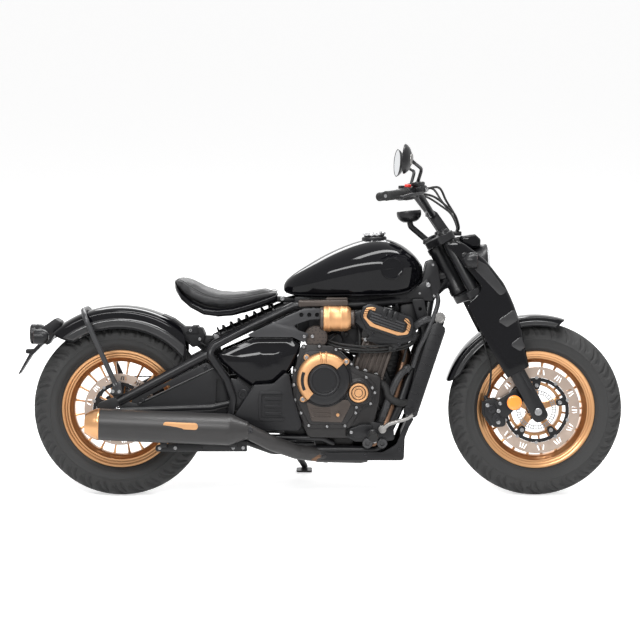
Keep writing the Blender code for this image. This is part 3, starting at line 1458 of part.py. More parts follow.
def build_side_stand():
    """The stand leg with its pivot boss and flat foot, laid out on the leaning machine's floor."""
    foot_at = Vector((STAND_FOOT.x, STAND_FOOT.y, floor_height(STAND_FOOT.y)))
    tilt = Matrix.Rotation(LEAN, 4, "X")
    foot = prism(
        rounded([(-0.030, 0.0), (0.030, 0.0), (0.030, 0.007), (-0.030, 0.007)], 0.0),
        -0.024,
        0.024,
    )
    foot.data.transform(Matrix.Translation(foot_at) @ tilt)
    up = tilt.to_3x3() @ Vector((0, 0, 1))
    ankle = foot_at + up * 0.012
    route = [ankle - up * 0.007, ankle + up * 0.010, STAND_PIVOT + (ankle - STAND_PIVOT) * 0.08]
    leg = tube(route, [0.013, 0.0115, 0.0125], 10)
    half = STAND_AXIS * STAND_BOSS_HALF
    boss = rod(STAND_PIVOT - half, STAND_PIVOT + half, 0.021, 14)
    made = fuse(leg, foot, boss)
    return cut(made, rod(STAND_PIVOT - STAND_AXIS * 0.05, STAND_PIVOT + STAND_AXIS * 0.05, 0.0085, 12))


def build_stand_bracket():
    """The frame's fork for the stand: one cheek on each side of the boss, with the pivot bolt."""
    inner = STAND_BOSS_HALF + RUNNING_GAP
    face = STAND_PIVOT - STAND_AXIS * inner
    bolt = rod(face - STAND_AXIS * 0.003, STAND_PIVOT + STAND_AXIS * (STAND_BOSS_HALF + 0.004), 0.0075, 12)
    cheek = rod(face - STAND_AXIS * 0.005, face, 0.019, 12)
    arm = tube(
        [(0.600, CRADLE_Y, 0.178), STAND_PIVOT - STAND_AXIS * 0.034, STAND_PIVOT - STAND_AXIS * (inner + 0.002)],
        [0.014, 0.013, 0.012],
        8,
    )
    return [bolt, cheek, arm]


def build_cables():
    """Brake hose and control cables from the hand controls down behind the headlight."""
    anchor = by_head(0.0193, 0.0, 0.1359)
    runs = []
    for side, spread in ((-1, 0.0), (-1, 0.016), (1, 0.0), (1, 0.016)):
        start = by_head(-0.0947 - spread * 1.2, side * (0.262 + spread), 0.2959 - spread)
        route = [
            start,
            start + Vector((0.060, side * -0.050, 0.006 - spread)),
            by_head(0.0023, side * (0.120 + spread), 0.2279 - spread * 1.2),
            by_head(0.0373, side * (0.045 + spread), 0.1579),
            anchor + Vector((0.012, side * (0.012 + spread * 0.5), 0)),
        ]
        runs.append(tube(bent_path(route, 0.08, 1), CABLE_RADIUS, 5))
    clip = box(anchor + Vector((-0.004, -0.034, -0.010)), anchor + Vector((0.030, 0.034, 0.006)))
    return fuse(clip, *runs)


def main():
    clear_scene()
    MATERIALS.update({name: make_material(name) for name in COLOURS})
    stance = empty("stance", None, Matrix.Rotation(-LEAN, 4, "X"))
    rear_axle = empty("rear_axle_frame", stance, Matrix.Translation(REAR_AXLE))
    fork_frame = empty("fork_frame", stance, FORK_FRAME)
    upright = Matrix.Rotation(RAKE, 4, "Y")
    front_axle = empty("front_axle_frame", fork_frame, Matrix.Translation((FORK_OFFSET, 0, 0)) @ upright)
    stand_frame = empty("stand_frame", stance, Matrix.Translation(STAND_PIVOT))

    frame = build_frame()
    frame = fuse(frame, *build_stand_bracket())
    swingarm = seated(build_swingarm(), frame)
    shock = seated(build_shock(), frame, swingarm)
    rear_guard = seated(build_rear_mudguard(), swingarm)
    stay = seated(build_stay(), rear_guard, swingarm)
    tail = seated(build_tail(), rear_guard)
    cushion = build_seat()
    pan = seated(build_seat_pan(cushion), frame)
    tank = seated(build_tank(), frame)
    cap = seated(build_filler_cap(), tank)
    crankcase = seated(build_crankcase(), frame)
    cylinders = seated(build_cylinders(), crankcase, frame)
    ring = seated(build_clutch_ring(), crankcase)
    airbox = seated(build_airbox(), frame, cylinders, tank)
    canister = seated(build_canister(), frame, airbox)
    covers = {side: seated(build_side_cover(side), frame, swingarm) for side in (-1, 1)}
    pivots = {side: seated(build_pivot_cover(side), frame, covers[side]) for side in (-1, 1)}
    heads = {side: seated(build_head_cover(side), cylinders, frame) for side in (-1, 1)}
    headers = seated(build_headers(), cylinders, frame, crankcase)
    muffler = seated(build_muffler(), headers)
    end_cap = build_end_cap()
    belly = seated(build_belly_pan(), frame, headers)
    feet = {side: seated(build_foot_control(side), frame, belly, crankcase) for side in (-1, 1)}
    radiator = seated(build_radiator(), frame, headers, belly)
    head_cowl = seated(build_head_cowl(), tank)
    drive_belt = belt(BELT_Y, FRONT_PULLEY_CENTRE)

    settle(frame, "main_frame", "frame_black", stance)
    settle(swingarm, "swingarm", "frame_black", stance)
    settle(shock, "shock_absorber", "frame_black", stance)
    settle(rear_guard, "rear_mudguard", "gloss_black", stance)
    settle(stay, "mudguard_stay", "frame_black", stance)
    settle(tail, "tail_lamp_unit", "matte_black", stance)
    settle(cushion, "seat_cushion", "seat_cover", stance)
    settle(pan, "seat_pan", "matte_black", stance)
    settle(tank, "fuel_tank", "gloss_black", stance)
    settle(cap, "filler_cap", "chrome", stance)
    settle(crankcase, "crankcase", "engine_black", stance)
    settle(cylinders, "cylinders", "engine_black", stance)
    settle(ring, "clutch_trim", "bronze", stance)
    settle(airbox, "airbox", "matte_black", stance)
    settle(canister, "intake_canister", "bronze", stance)
    for side, word in ((-1, "right"), (1, "left")):
        settle(covers[side], "side_cover_" + word, "gloss_black", stance)
        settle(pivots[side], "pivot_cover_" + word, "matte_black", stance)
        settle(heads[side], "head_cover_" + word, "engine_black", stance)
        settle(feet[side], "foot_control_" + word, "engine_black", stance)
    settle(headers, "exhaust_headers", "header_brown", stance)
    settle(muffler, "muffler", "matte_black", stance)
    settle(end_cap, "muffler_end_cap", "bronze", stance)
    settle(belly, "belly_pan", "matte_black", stance)
    settle(radiator, "radiator", "matte_black", stance)
    settle(head_cowl, "steering_head_cowl", "matte_black", stance)
    settle(drive_belt, "drive_belt", "rubber", stance)

    stand = build_side_stand()
    settle(stand, "side_stand", "frame_black", stand_frame, Matrix.Translation(STAND_PIVOT))

    rear_wheel = wheel(REAR_HUB_HALF_WIDTH, 0.048, 0.052, 0.034, 0)
    settle(rear_wheel, "rear_wheel", "bronze", rear_axle)
    settle(tyre(REAR_TYRE_RADIUS, REAR_TYRE_HALF_WIDTH), "rear_tyre", "tyre_rubber", rear_axle)
    rear_disc = brake_disc(REAR_DISC_RADIUS, 0.086, REAR_DISC_Y, 5, 0.020, -REAR_HUB_HALF_WIDTH - SEAT_GAP)
    rear_disc = cut(rear_disc, turned([(0.0125, -0.3), (0.0125, 0.3)], 12))
    settle(rear_disc, "rear_brake_disc", "steel", rear_axle)
    settle(pulley(BELT_Y), "rear_pulley", "matte_black", rear_axle)

    front_wheel = wheel(FRONT_HUB_HALF_WIDTH, 0.034, 0.100, 0.020, 5)
    settle(front_wheel, "front_wheel", "bronze", front_axle)
    settle(tyre(FRONT_TYRE_RADIUS, FRONT_TYRE_HALF_WIDTH), "front_tyre", "tyre_rubber", front_axle)
    front_disc = brake_disc(FRONT_DISC_RADIUS, FRONT_DISC_RADIUS - DISC_BAND, FRONT_DISC_Y, 5, 0.086, -0.0203)
    settle(front_disc, "front_brake_disc", "steel", front_axle)

    fork = build_fork()
    covers_front = {side: seated(build_fork_cover(side), fork) for side in (-1, 1)}
    fork_solid = settle(fork, "front_fork", "matte_black", fork_frame)
    in_machine = fork_solid.copy()
    in_machine.data = fork_solid.data.copy()
    in_machine.parent = None
    bpy.context.collection.objects.link(in_machine)
    in_machine.data.transform(FORK_FRAME)
    front_guard = seated(build_front_mudguard(), in_machine)
    headlight = seated(build_headlight(), in_machine)
    bar = seated(build_handlebar(), in_machine)
    gauge = seated(build_gauge(), in_machine, bar)
    hands = {side: seated(build_hand_control(side), bar) for side in (-1, 1)}
    cables = seated(build_cables(), in_machine, headlight, bar, hands[-1], hands[1])
    bpy.data.objects.remove(in_machine)
    for side, word in ((-1, "right"), (1, "left")):
        settle(covers_front[side], "fork_cover_" + word, "gloss_black", fork_frame)
        settle(hands[side], "hand_control_" + word, "rubber", fork_frame, FORK_FRAME)
    settle(front_guard, "front_mudguard", "gloss_black", fork_frame, FORK_FRAME)
    settle(headlight, "headlight", "matte_black", fork_frame, FORK_FRAME)
    settle(bar, "handlebar", "matte_black", fork_frame, FORK_FRAME)
    settle(gauge, "instrument", "matte_black", fork_frame, FORK_FRAME)
    settle(cables, "control_cables", "rubber", fork_frame, FORK_FRAME)

    stand_on_floor(stance)


def stand_on_floor(stance):
    """Moves the leaning machine so that its box is centred on the origin, on the floor."""
    bpy.context.view_layer.update()
    low, high = Vector((1e9,) * 3), Vector((-1e9,) * 3)
    for thing in bpy.data.objects:
        if thing.type != "MESH":
            continue
        for vertex in thing.data.vertices:
            at = thing.matrix_world @ vertex.co
            low = Vector(map(min, low, at))
            high = Vector(map(max, high, at))
    middle = (low + high) / 2
    shift = Matrix.Translation((-middle.x, -middle.y, -low.z))
    stance.matrix_local = shift @ stance.matrix_local
    bpy.context.view_layer.update()


MATERIALS = {}
main()
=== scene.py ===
"""The finished look of a bobber motorcycle that leans on its side stand.

Pieces are modelled on the upright machine: metres, +X forward, +Y to the rider's left and +Z up,
with the rear axle above x = 0. The frames of the leaning machine come from its joints.
"""

import json
import logging
import math
from dataclasses import dataclass
from enum import Enum
from typing import Iterable, Sequence

import bmesh
import bpy
import numpy as np
from mathutils import Matrix, Vector


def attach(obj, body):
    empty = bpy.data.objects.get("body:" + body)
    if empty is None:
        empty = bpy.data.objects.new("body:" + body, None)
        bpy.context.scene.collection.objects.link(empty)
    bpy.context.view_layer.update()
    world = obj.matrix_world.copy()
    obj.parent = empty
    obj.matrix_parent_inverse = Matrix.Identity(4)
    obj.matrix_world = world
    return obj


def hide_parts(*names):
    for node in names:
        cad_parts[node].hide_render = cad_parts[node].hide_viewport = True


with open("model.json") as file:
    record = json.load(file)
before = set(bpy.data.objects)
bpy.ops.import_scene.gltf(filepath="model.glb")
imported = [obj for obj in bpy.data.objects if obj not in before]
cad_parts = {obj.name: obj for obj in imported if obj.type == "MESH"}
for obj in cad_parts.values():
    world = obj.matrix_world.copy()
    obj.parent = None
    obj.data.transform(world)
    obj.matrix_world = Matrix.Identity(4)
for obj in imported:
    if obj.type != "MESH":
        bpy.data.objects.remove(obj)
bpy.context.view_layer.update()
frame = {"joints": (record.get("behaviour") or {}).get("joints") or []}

LOG = logging.getLogger("bobber")

# Real sizes shared by several sub-assemblies
REAR_AXLE_HEIGHT = 0.323
WHEELBASE = 1.526
FORK_OFFSET = 0.045
FORK_HALF_SPACING = 0.11
CYLINDER_LEAN = math.radians(19.0)
RADIATOR_TILT = math.radians(18.4)
SIDES = {"right": -1, "left": 1}

# Modelling tolerances
MERGE_DISTANCE = 1e-6
SHARP_EDGE = math.radians(28)
BEVEL_ABOVE = math.radians(35)
WALL_BEVEL = 0.0012
# The belt's pulley on the engine, as (x, z) on the machine
FRONT_PULLEY = (0.672, 0.395)

Point = Sequence[float]
Profile = Sequence[tuple[float, float]]


class Grain(Enum):
    """The fine surface that a finish carries."""

    SMOOTH = "smooth"
    CAST = "cast"
    WRINKLE = "wrinkle"
    MOULDED = "moulded"
    LEATHER = "leather"
    BRUSHED = "brushed"
    BRAID = "braid"
    TYRE = "tyre"


@dataclass(frozen=True)
class Finish:
    """One surface finish: its colours, its gloss and its grain."""

    name: str
    slot: str
    colour: tuple[float, float, float]
    roughness: float
    metallic: float = 0.0
    grain: Grain = Grain.SMOOTH
    scale: float = 60.0
    depth: float = 0.00006
    mottle: float = 0.08
    coat: float = 0.0
    ior: float = 1.5
    glow: float = 0.0
    clear: float = 0.0
    specular: float = 0.5

    def material(self) -> bpy.types.Material:
        """The finish as a material, made once.

        Returns:
            The node material with this finish's name.
        """
        made = bpy.data.materials.get(self.name)
        if made is not None:
            return made
        made = bpy.data.materials.new(self.name)
        made.use_nodes = True
        tree = made.node_tree
        shader = tree.nodes["Principled BSDF"]
        shader.inputs["Metallic"].default_value = self.metallic
        shader.inputs["IOR"].default_value = self.ior
        shader.inputs["Specular IOR Level"].default_value = self.specular
        shader.inputs["Coat Weight"].default_value = self.coat
        shader.inputs["Coat Roughness"].default_value = 0.03
        shader.inputs["Transmission Weight"].default_value = self.clear
        # An emission in the finish's own colour. On the amber reflector, which is no lamp, it is painted light.
        if self.glow:
            shader.inputs["Emission Color"].default_value = (*self.colour, 1.0)
            shader.inputs["Emission Strength"].default_value = self.glow
        place = tree.nodes.new("ShaderNodeTexCoord").outputs["Object"]
        self._tint(tree, shader, place)
        self._relief(tree, shader, place)
        made.diffuse_color = (*self.colour, 1.0)
        return made

    def _tint(self, tree: bpy.types.NodeTree, shader: bpy.types.Node, place: bpy.types.NodeSocket) -> None:
        """Colour and roughness that vary softly over the surface.

        Args:
            tree: The material's node tree.
            shader: Its Principled shader.
            place: The coordinates that the pattern reads.
        """
        cloud = tree.nodes.new("ShaderNodeTexNoise")
        cloud.inputs["Scale"].default_value = 14.0
        cloud.inputs["Detail"].default_value = 4.0
        tree.links.new(place, cloud.inputs["Vector"])
        ramp = tree.nodes.new("ShaderNodeValToRGB")
        low, high = ramp.color_ramp.elements
        low.position, high.position = 0.3, 0.7
        low.color = (*(c * (1 - self.mottle) for c in self.colour), 1.0)
        high.color = (*(min(1.0, c * (1 + self.mottle)) for c in self.colour), 1.0)
        tree.links.new(cloud.outputs["Fac"], ramp.inputs["Fac"])
        tree.links.new(ramp.outputs["Color"], shader.inputs["Base Color"])
        gloss = tree.nodes.new("ShaderNodeMapRange")
        gloss.inputs["To Min"].default_value = self.roughness * (1 - self.mottle)
        gloss.inputs["To Max"].default_value = min(1.0, self.roughness * (1 + self.mottle))
        tree.links.new(cloud.outputs["Fac"], gloss.inputs["Value"])
        tree.links.new(gloss.outputs["Result"], shader.inputs["Roughness"])

    def _relief(self, tree: bpy.types.NodeTree, shader: bpy.types.Node, place: bpy.types.NodeSocket) -> None:
        """The grain's bump.

        Args:
            tree: The material's node tree.
            shader: Its Principled shader.
            place: The coordinates that the pattern reads.
        """
        if self.grain in (Grain.LEATHER, Grain.WRINKLE):
            cells = tree.nodes.new("ShaderNodeTexVoronoi")
            cells.inputs["Scale"].default_value = self.scale
            cells.inputs["Randomness"].default_value = 0.9
            height = cells.outputs["Distance"]
            tree.links.new(place, cells.inputs["Vector"])
        elif self.grain is Grain.BRAID:
            strands = tree.nodes.new("ShaderNodeTexChecker")
            strands.inputs["Scale"].default_value = self.scale
            turned = tree.nodes.new("ShaderNodeMapping")
            turned.inputs["Rotation"].default_value = (0.7, 0.6, 0.7)
            tree.links.new(place, turned.inputs["Vector"])
            tree.links.new(turned.outputs["Vector"], strands.inputs["Vector"])
            height = strands.outputs["Fac"]
        else:
            grit = tree.nodes.new("ShaderNodeTexNoise")
            grit.inputs["Scale"].default_value = self.scale
            grit.inputs["Detail"].default_value = 3.0
            source = place
            if self.grain is Grain.BRUSHED:
                drawn = tree.nodes.new("ShaderNodeMapping")
                drawn.inputs["Scale"].default_value = (0.06, 1.0, 1.0)
                tree.links.new(place, drawn.inputs["Vector"])
                source = drawn.outputs["Vector"]
            tree.links.new(source, grit.inputs["Vector"])
            height = grit.outputs["Fac"]
        bump = tree.nodes.new("ShaderNodeBump")
        bump.inputs["Strength"].default_value = 1.0
        bump.inputs["Distance"].default_value = self.depth
        tree.links.new(height, bump.inputs["Height"])
        tree.links.new(bump.outputs["Normal"], shader.inputs["Normal"])


GLOSS_BLACK = Finish(
    "gloss_black_paint", "gloss_black", (0.003, 0.003, 0.004), 0.06, ior=1.36, depth=0.00001, specular=0.3,
)
FRAME_BLACK = Finish(
    "satin_frame_paint", "frame_black", (0.008, 0.008, 0.009), 0.32, 0.0, Grain.CAST, 260, 0.00004, specular=0.28
)
DARK_GREY = Finish(
    "dark_grey_satin", "satin_grey", (0.03, 0.03, 0.032), 0.38, 0.2, Grain.CAST, 420, 0.00005, specular=0.4,
)
PLASTIC = Finish(
    "moulded_black_plastic", "matte_black", (0.008, 0.008, 0.009), 0.46, 0.0, Grain.MOULDED, 900, 0.00007, specular=0.25
)
SATIN_BLACK = Finish(
    "satin_black_metal", "matte_black", (0.008, 0.008, 0.009), 0.34, 0.0, Grain.CAST, 380, 0.00004, specular=0.28,
)
# A lighter copy of the gloss black paint, as painted sheen: it gives the light band on the mudguards' skirts and the
# highlights on the fork shrouds' steps.
PAINTED_SHEEN_BLACK = Finish("painted_sheen_gloss_black", "gloss_black", (0.02, 0.02, 0.021), 0.16, ior=1.45, depth=0.00001)
MUFFLER_BLACK = Finish(
    "muffler_black", "matte_black", (0.026, 0.025, 0.025), 0.4, 0.2, Grain.CAST, 500, 0.00003, specular=0.4,
)
ENGINE_BLACK = Finish(
    "engine_black_coat", "engine_black", (0.013, 0.012, 0.012), 0.4, 0.1, Grain.WRINKLE, 900, 0.00007, specular=0.32,
)
ENGINE_BROWN = Finish(
    "engine_brown_cast", "engine_black", (0.05, 0.039, 0.033), 0.44, 0.4, Grain.CAST, 500, 0.00009, 0.18,
)
BRONZE = Finish("bronze_lacquer", "bronze", (0.56, 0.3, 0.14), 0.28, 0.9, Grain.CAST, 700, 0.00001, 0.03, coat=0.2)
BRONZE_SATIN = Finish("bronze_satin", "bronze", (0.53, 0.29, 0.14), 0.46, 0.85, Grain.CAST, 600, 0.00004, 0.05)
DISC_STEEL = Finish("disc_steel", "steel", (0.43, 0.345, 0.29), 0.34, 1.0, Grain.BRUSHED, 900, 0.00005, 0.1)
CAST_SILVER = Finish("cast_silver", "chrome", (0.24, 0.235, 0.228), 0.3, 0.9, Grain.CAST, 500, 0.00005)
ZINC = Finish("zinc_fasteners", "steel", (0.3, 0.3, 0.305), 0.32, 1.0, Grain.CAST, 600, 0.00003, 0.12)
BLACK_BOLT = Finish("black_fasteners", "frame_black", (0.02, 0.02, 0.022), 0.32, 0.6, Grain.CAST, 600, 0.00003)
CHROME = Finish("chrome_plate", "chrome", (0.7, 0.7, 0.71), 0.08, 1.0, mottle=0.03)
RUBBER = Finish("grip_rubber", "rubber", (0.012, 0.012, 0.012), 0.62, 0.0, Grain.MOULDED, 700, 0.0001, specular=0.3)
HOSE = Finish("braided_hose", "rubber", (0.04, 0.04, 0.042), 0.42, 0.3, Grain.BRAID, 420, 0.0004, 0.2, specular=0.4)
TYRE = Finish(
    "tyre_rubber", "tyre_rubber", (0.007, 0.0066, 0.0062), 0.44, 0.0, Grain.TYRE, 500, 0.00012, 0.35, specular=0.2,
)
LEATHER = Finish(
    "seat_leather", "seat_cover", (0.016, 0.016, 0.017), 0.5, 0.0, Grain.LEATHER, 520, 0.0002, 0.1, specular=0.35,
)
THREAD = Finish("seat_thread", "seat_cover", (0.012, 0.012, 0.012), 0.7, 0.0, Grain.MOULDED, 900, 0.0001, specular=0.3)
HEADER = Finish("heat_tinted_pipe", "header_brown", (0.12, 0.07, 0.045), 0.34, 0.9, Grain.CAST, 300, 0.00004, 0.35)
CLEAR_LENS = Finish("clear_lens", "chrome", (0.96, 0.97, 0.98), 0.03, clear=1.0, ior=1.45, mottle=0.01, depth=0.00001)
LAMP_GLASS = Finish("lamp_glass", "chrome", (0.9, 0.91, 0.92), 0.05, clear=0.45, ior=1.45, mottle=0.01, depth=0.00001)
SMOKE_LENS = Finish("dark_lens", "matte_black", (0.03, 0.012, 0.01), 0.08, mottle=0.05)
# The amber reflector glows a little though it is no lamp. This glow is painted light for the light that the reflector
# sends back.
AMBER = Finish(
    "amber_reflector", "chrome", (0.95, 0.26, 0.012), 0.18, 0.0, Grain.WRINKLE, 700, 0.0003, coat=1.0, glow=0.1,
)
RED = Finish("red_switch", "matte_black", (0.65, 0.03, 0.02), 0.35, coat=0.3)
MIRROR = Finish("mirror_glass", "chrome", (0.78, 0.8, 0.82), 0.02, 1.0, mottle=0.01, depth=0.00001)
DIAL = Finish("dial_face", "matte_black", (0.008, 0.008, 0.009), 0.15, mottle=0.05)
BELT = Finish("belt_rubber", "rubber", (0.014, 0.014, 0.015), 0.6, 0.0, Grain.MOULDED, 600, 0.0001, specular=0.3)
WHITE_MARK = Finish("pale_marks", "chrome", (0.65, 0.65, 0.64), 0.5)


class Stance:
    """The leaning machine's own frames, worked out from its joints."""

    def __init__(self, joints: Sequence[dict]) -> None:
        """Reads the joints.

        Args:
            joints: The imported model's joints.
        """
        named = {joint["name"]: joint for joint in joints}
        forward = Vector((1, 0, 0))
        rear, steer = named["rear_wheel_spin"], named["steering"]
        left = Vector(rear["axis"]).normalized()
        self.rear_hub = self._axes(rear["pos_m"], forward, left)
        self.machine = self.rear_hub @ Matrix.Translation((0, 0, -REAR_AXLE_HEIGHT))
        self.front_hub = self._axes(named["front_wheel_spin"]["pos_m"], forward, left)
        up = Vector(steer["axis"]).normalized()
        self.fork = self._axes(steer["pos_m"], left.cross(up), left)
        self.stand_pivot = self.machine.inverted() @ Vector(named["side_stand_fold"]["pos_m"])
        self.fork_to_machine = self.machine.inverted() @ self.fork
        self.cylinders = self._raked((0.905, 0, 0.455), CYLINDER_LEAN)
        self.radiator = self._raked((1.061, 0, 0.312), RADIATOR_TILT)

    def _raked(self, origin: Point, angle: float) -> Matrix:
        """A frame on the machine that leans back.

        Args:
            origin: Its origin on the machine.
            angle: How far it leans, in radians.

        Returns:
            The frame as a matrix.
        """
        return self.machine @ Matrix.Translation(origin) @ Matrix.Rotation(angle, 4, "Y")

    @staticmethod
    def _axes(origin: Point, forward: Vector, left: Vector) -> Matrix:
        """A frame from its origin and two of its axes.

        Args:
            origin: The frame's origin.
            forward: Its X axis.
            left: Its Y axis.

        Returns:
            The frame as a matrix.
        """
        turn = Matrix((forward, left, forward.cross(left))).transposed()
        return Matrix.Translation(origin) @ turn.to_4x4()


STANCE = Stance(frame["joints"])


def towards(start: Point, end: Point) -> Matrix:
    """A frame at start whose Z axis points to end.

    Args:
        start: The frame's origin.
        end: Any point up its Z axis.

    Returns:
        The frame as a matrix.
    """
    way = Vector(end) - Vector(start)
    turn = Vector((0, 0, 1)).rotation_difference(way).to_matrix().to_4x4()
    return Matrix.Translation(start) @ turn


def rounded(outline: Sequence[Sequence[float]], radius: float, steps: int = 4) -> list[tuple[float, float]]:
    """The outline with its corners made round; a third number in a corner is its own radius.

    Args:
        outline: The corners, in order.
        radius: The radius of corners that don't give one.
        steps: How many chords make each arc.

    Returns:
        The points of the rounded outline.
    """
    points = []
    for i, here in enumerate(outline):
        corner = Vector(here[:2])
        before = Vector(outline[i - 1][:2]) - corner
        after = Vector(outline[(i + 1) % len(outline)][:2]) - corner
        half = before.angle(after) / 2
        wanted = here[2] if len(here) > 2 else radius
        if wanted <= 0 or half > math.radians(87):
            points.append(tuple(corner))
            continue
        reach = min(wanted / math.tan(half), 0.45 * before.length, 0.45 * after.length)
        size = reach * math.tan(half)
        middle = corner + (before.normalized() + after.normalized()).normalized() * size / math.sin(half)
        a = corner + before.normalized() * reach - middle
        b = corner + after.normalized() * reach - middle
        turn = a.angle_signed(b)
        points += [tuple(middle + Matrix.Rotation(-turn * k / steps, 2) @ a) for k in range(steps + 1)]
    return points


def bent(points: Sequence[Point], radius: float, steps: int = 6) -> list[Vector]:
    """A tube's route: straight runs with an arc of one radius at each corner.

    Args:
        points: The corners of the route.
        radius: The bend radius.
        steps: How many chords make each arc.

    Returns:
        The points of the route.
    """
    route = [Vector(points[0])]
    for i in range(1, len(points) - 1):
        corner = Vector(points[i])
        before, after = Vector(points[i - 1]) - corner, Vector(points[i + 1]) - corner
        half = before.angle(after) / 2
        reach = min(radius / math.tan(half), 0.45 * before.length, 0.45 * after.length)
        size = reach * math.tan(half)
        middle = corner + (before.normalized() + after.normalized()).normalized() * size / math.sin(half)
        a = corner + before.normalized() * reach - middle
        b = corner + after.normalized() * reach - middle
        route += [middle + a.slerp(b, k / steps).normalized() * size for k in range(steps + 1)]
    route.append(Vector(points[-1]))
    return route


def flowing(points: Sequence[Point], steps: int = 8) -> list[Vector]:
    """A hose's route: one smooth curve through its points.

    Args:
        points: The points that the hose passes.
        steps: How many chords run from one point to the next.

    Returns:
        The points of the route.
    """
    given = [Vector(p) for p in points]
    ends = [given[0] * 2 - given[1], *given, given[-1] * 2 - given[-2]]
    route = []
    for p, q, r, s in zip(ends, ends[1:], ends[2:], ends[3:]):
        for k in range(steps):
            t = k / steps
            route.append(
                0.5 * (2 * q + (r - p) * t + (2 * p - 5 * q + 4 * r - s) * t**2 + (3 * q - p - 3 * r + s) * t**3)
            )
    route.append(given[-1])
    return route


class Shape:
    """A piece being modelled in one of the machine's own frames."""

    def __init__(self, place: Matrix | None = None) -> None:
        """Starts an empty piece.

        Args:
            place: The frame that its coordinates are in; the upright machine's where none is given.
        """
        self.place = STANCE.machine if place is None else place
        self.mesh = bmesh.new()

    def take(self, made: bmesh.types.BMesh, at: Matrix | None = None) -> "Shape":
        """Adds a finished bmesh, which is used up.

        Args:
            made: The bmesh to add.
            at: Where it goes in this piece's frame.

        Returns:
            This piece.
        """
        if at is not None:
            made.transform(at)
        carrier = bpy.data.meshes.new("part")
        made.to_mesh(carrier)
        made.free()
        self.mesh.from_mesh(carrier)
        bpy.data.meshes.remove(carrier)
        return self

    def turn(self, start: Point, end: Point, profile: Profile, steps: int = 40, closed: bool = False) -> "Shape":
        """A turned form on the line from start towards end.

        Args:
            start: Where distances along the line are measured from.
            end: Any point further along the line.
            profile: (radius, distance) points.
            steps: The number of facets round it.
            closed: Whether the profile closes on itself, as a ring's does.

        Returns:
            This piece.
        """
        made = bmesh.new()
        points = list(profile)
        if not closed:
            points = [(0.0, points[0][1]), *points, (0.0, points[-1][1])]
        verts = [made.verts.new((r, 0, d)) for r, d in points]
        pairs = list(zip(verts, verts[1:])) + ([(verts[-1], verts[0])] if closed else [])
        edges = [made.edges.new(pair) for pair in pairs if (pair[0].co - pair[1].co).length > 1e-7]
        bmesh.ops.spin(
            made, geom=verts + edges, cent=(0, 0, 0), axis=(0, 0, 1), dvec=(0, 0, 0),
            angle=math.tau, steps=steps, use_merge=True, use_duplicate=False,
        )
        bmesh.ops.remove_doubles(made, verts=made.verts, dist=MERGE_DISTANCE)
        bmesh.ops.recalc_face_normals(made, faces=made.faces)
        return self.take(made, towards(start, end))

    def across(
        self, x: float, z: float, start: float, side: float, profile: Profile, steps: int = 40, closed: bool = False,
    ) -> "Shape":
        """A turned form on a line across the machine.

        Args:
            x: The line's X.
            z: The line's Z.
            start: The Y from which distances are measured.
            side: 1 if they run to the left, -1 if to the right.
            profile: (radius, distance) points.
            steps: The number of facets round it.
            closed: Whether the profile closes on itself.

        Returns:
            This piece.
        """
        return self.turn((x, start, z), (x, side, z), profile, steps, closed)

    def plate(self, outline: Profile, low: float, high: float, soft: float = 0.0, at: Matrix | None = None) -> "Shape":
        """An (x, z) outline carried across the machine.

        Args:
            outline: The corners, in order.
            low: The Y of one face.
            high: The Y of the other; either may be the greater.
            soft: The radius of its edges.
            at: Where it goes in this piece's frame.

        Returns:
            This piece.
        """
        made = bmesh.new()
        low, high = sorted((low, high))
        face = made.faces.new([made.verts.new((x, low, z)) for x, z in outline])
        grown = bmesh.ops.extrude_face_region(made, geom=[face])
        moved = [item for item in grown["geom"] if isinstance(item, bmesh.types.BMVert)]
        bmesh.ops.translate(made, verts=moved, vec=(0, high - low, 0))
        self._close(made, soft)
        return self.take(made, at)

    def block(self, low: Point, high: Point, soft: float = 0.0, at: Matrix | None = None) -> "Shape":
        """A rectangular block.

        Args:
            low: One corner.
            high: The opposite corner.
            soft: The radius of its edges.
            at: Where it goes in this piece's frame.

        Returns:
            This piece.
        """
        made = bmesh.new()
        low, high = Vector(map(min, low, high)), Vector(map(max, low, high))
        size = Matrix.Diagonal((*(high - low), 1.0))
        bmesh.ops.create_cube(made, size=1.0, matrix=Matrix.Translation((low + high) / 2) @ size)
        self._close(made, soft)
        return self.take(made, at)

    @staticmethod
    def _close(made: bmesh.types.BMesh, soft: float) -> None:
        """Turns the faces outwards and rounds the sharp edges.

        Args:
            made: The bmesh.
            soft: The edges' radius.
        """
        bmesh.ops.recalc_face_normals(made, faces=made.faces)
        if soft > 0:
            sharp = [e for e in made.edges if len(e.link_faces) == 2 and e.calc_face_angle(0) > SHARP_EDGE]
            bmesh.ops.bevel(
                made, geom=sharp, offset=soft, offset_type="OFFSET", segments=2, profile=0.5,
                affect="EDGES", clamp_overlap=True, material=-1,
            )

    def pipe(self, route: Sequence[Point], radius: float | Sequence[float], sides: int = 12) -> "Shape":
        """A round bar or hose along a route.

        Args:
            route: The points of its middle line.
            radius: Its radius, or one for each point.
            sides: The number of facets round it.

        Returns:
            This piece.
        """
        curve = bpy.data.curves.new("route", "CURVE")
        curve.dimensions = "3D"
        curve.bevel_depth = 1.0
        curve.bevel_resolution = max(0, sides // 2 - 2)
        curve.use_fill_caps = True
        spline = curve.splines.new("POLY")
        spline.points.add(len(route) - 1)
        radii = radius if isinstance(radius, (list, tuple)) else [radius] * len(route)
        for point, at, size in zip(spline.points, route, radii):
            point.co = (*at, 1.0)
            point.radius = size
        holder = bpy.data.objects.new("route", curve)
        mesh = bpy.data.meshes.new_from_object(holder)
        made = bmesh.new()
        made.from_mesh(mesh)
        bmesh.ops.remove_doubles(made, verts=made.verts, dist=1e-7)
        bmesh.ops.recalc_face_normals(made, faces=made.faces)
        bpy.data.meshes.remove(mesh)
        bpy.data.objects.remove(holder)
        bpy.data.curves.remove(curve)
        return self.take(made)

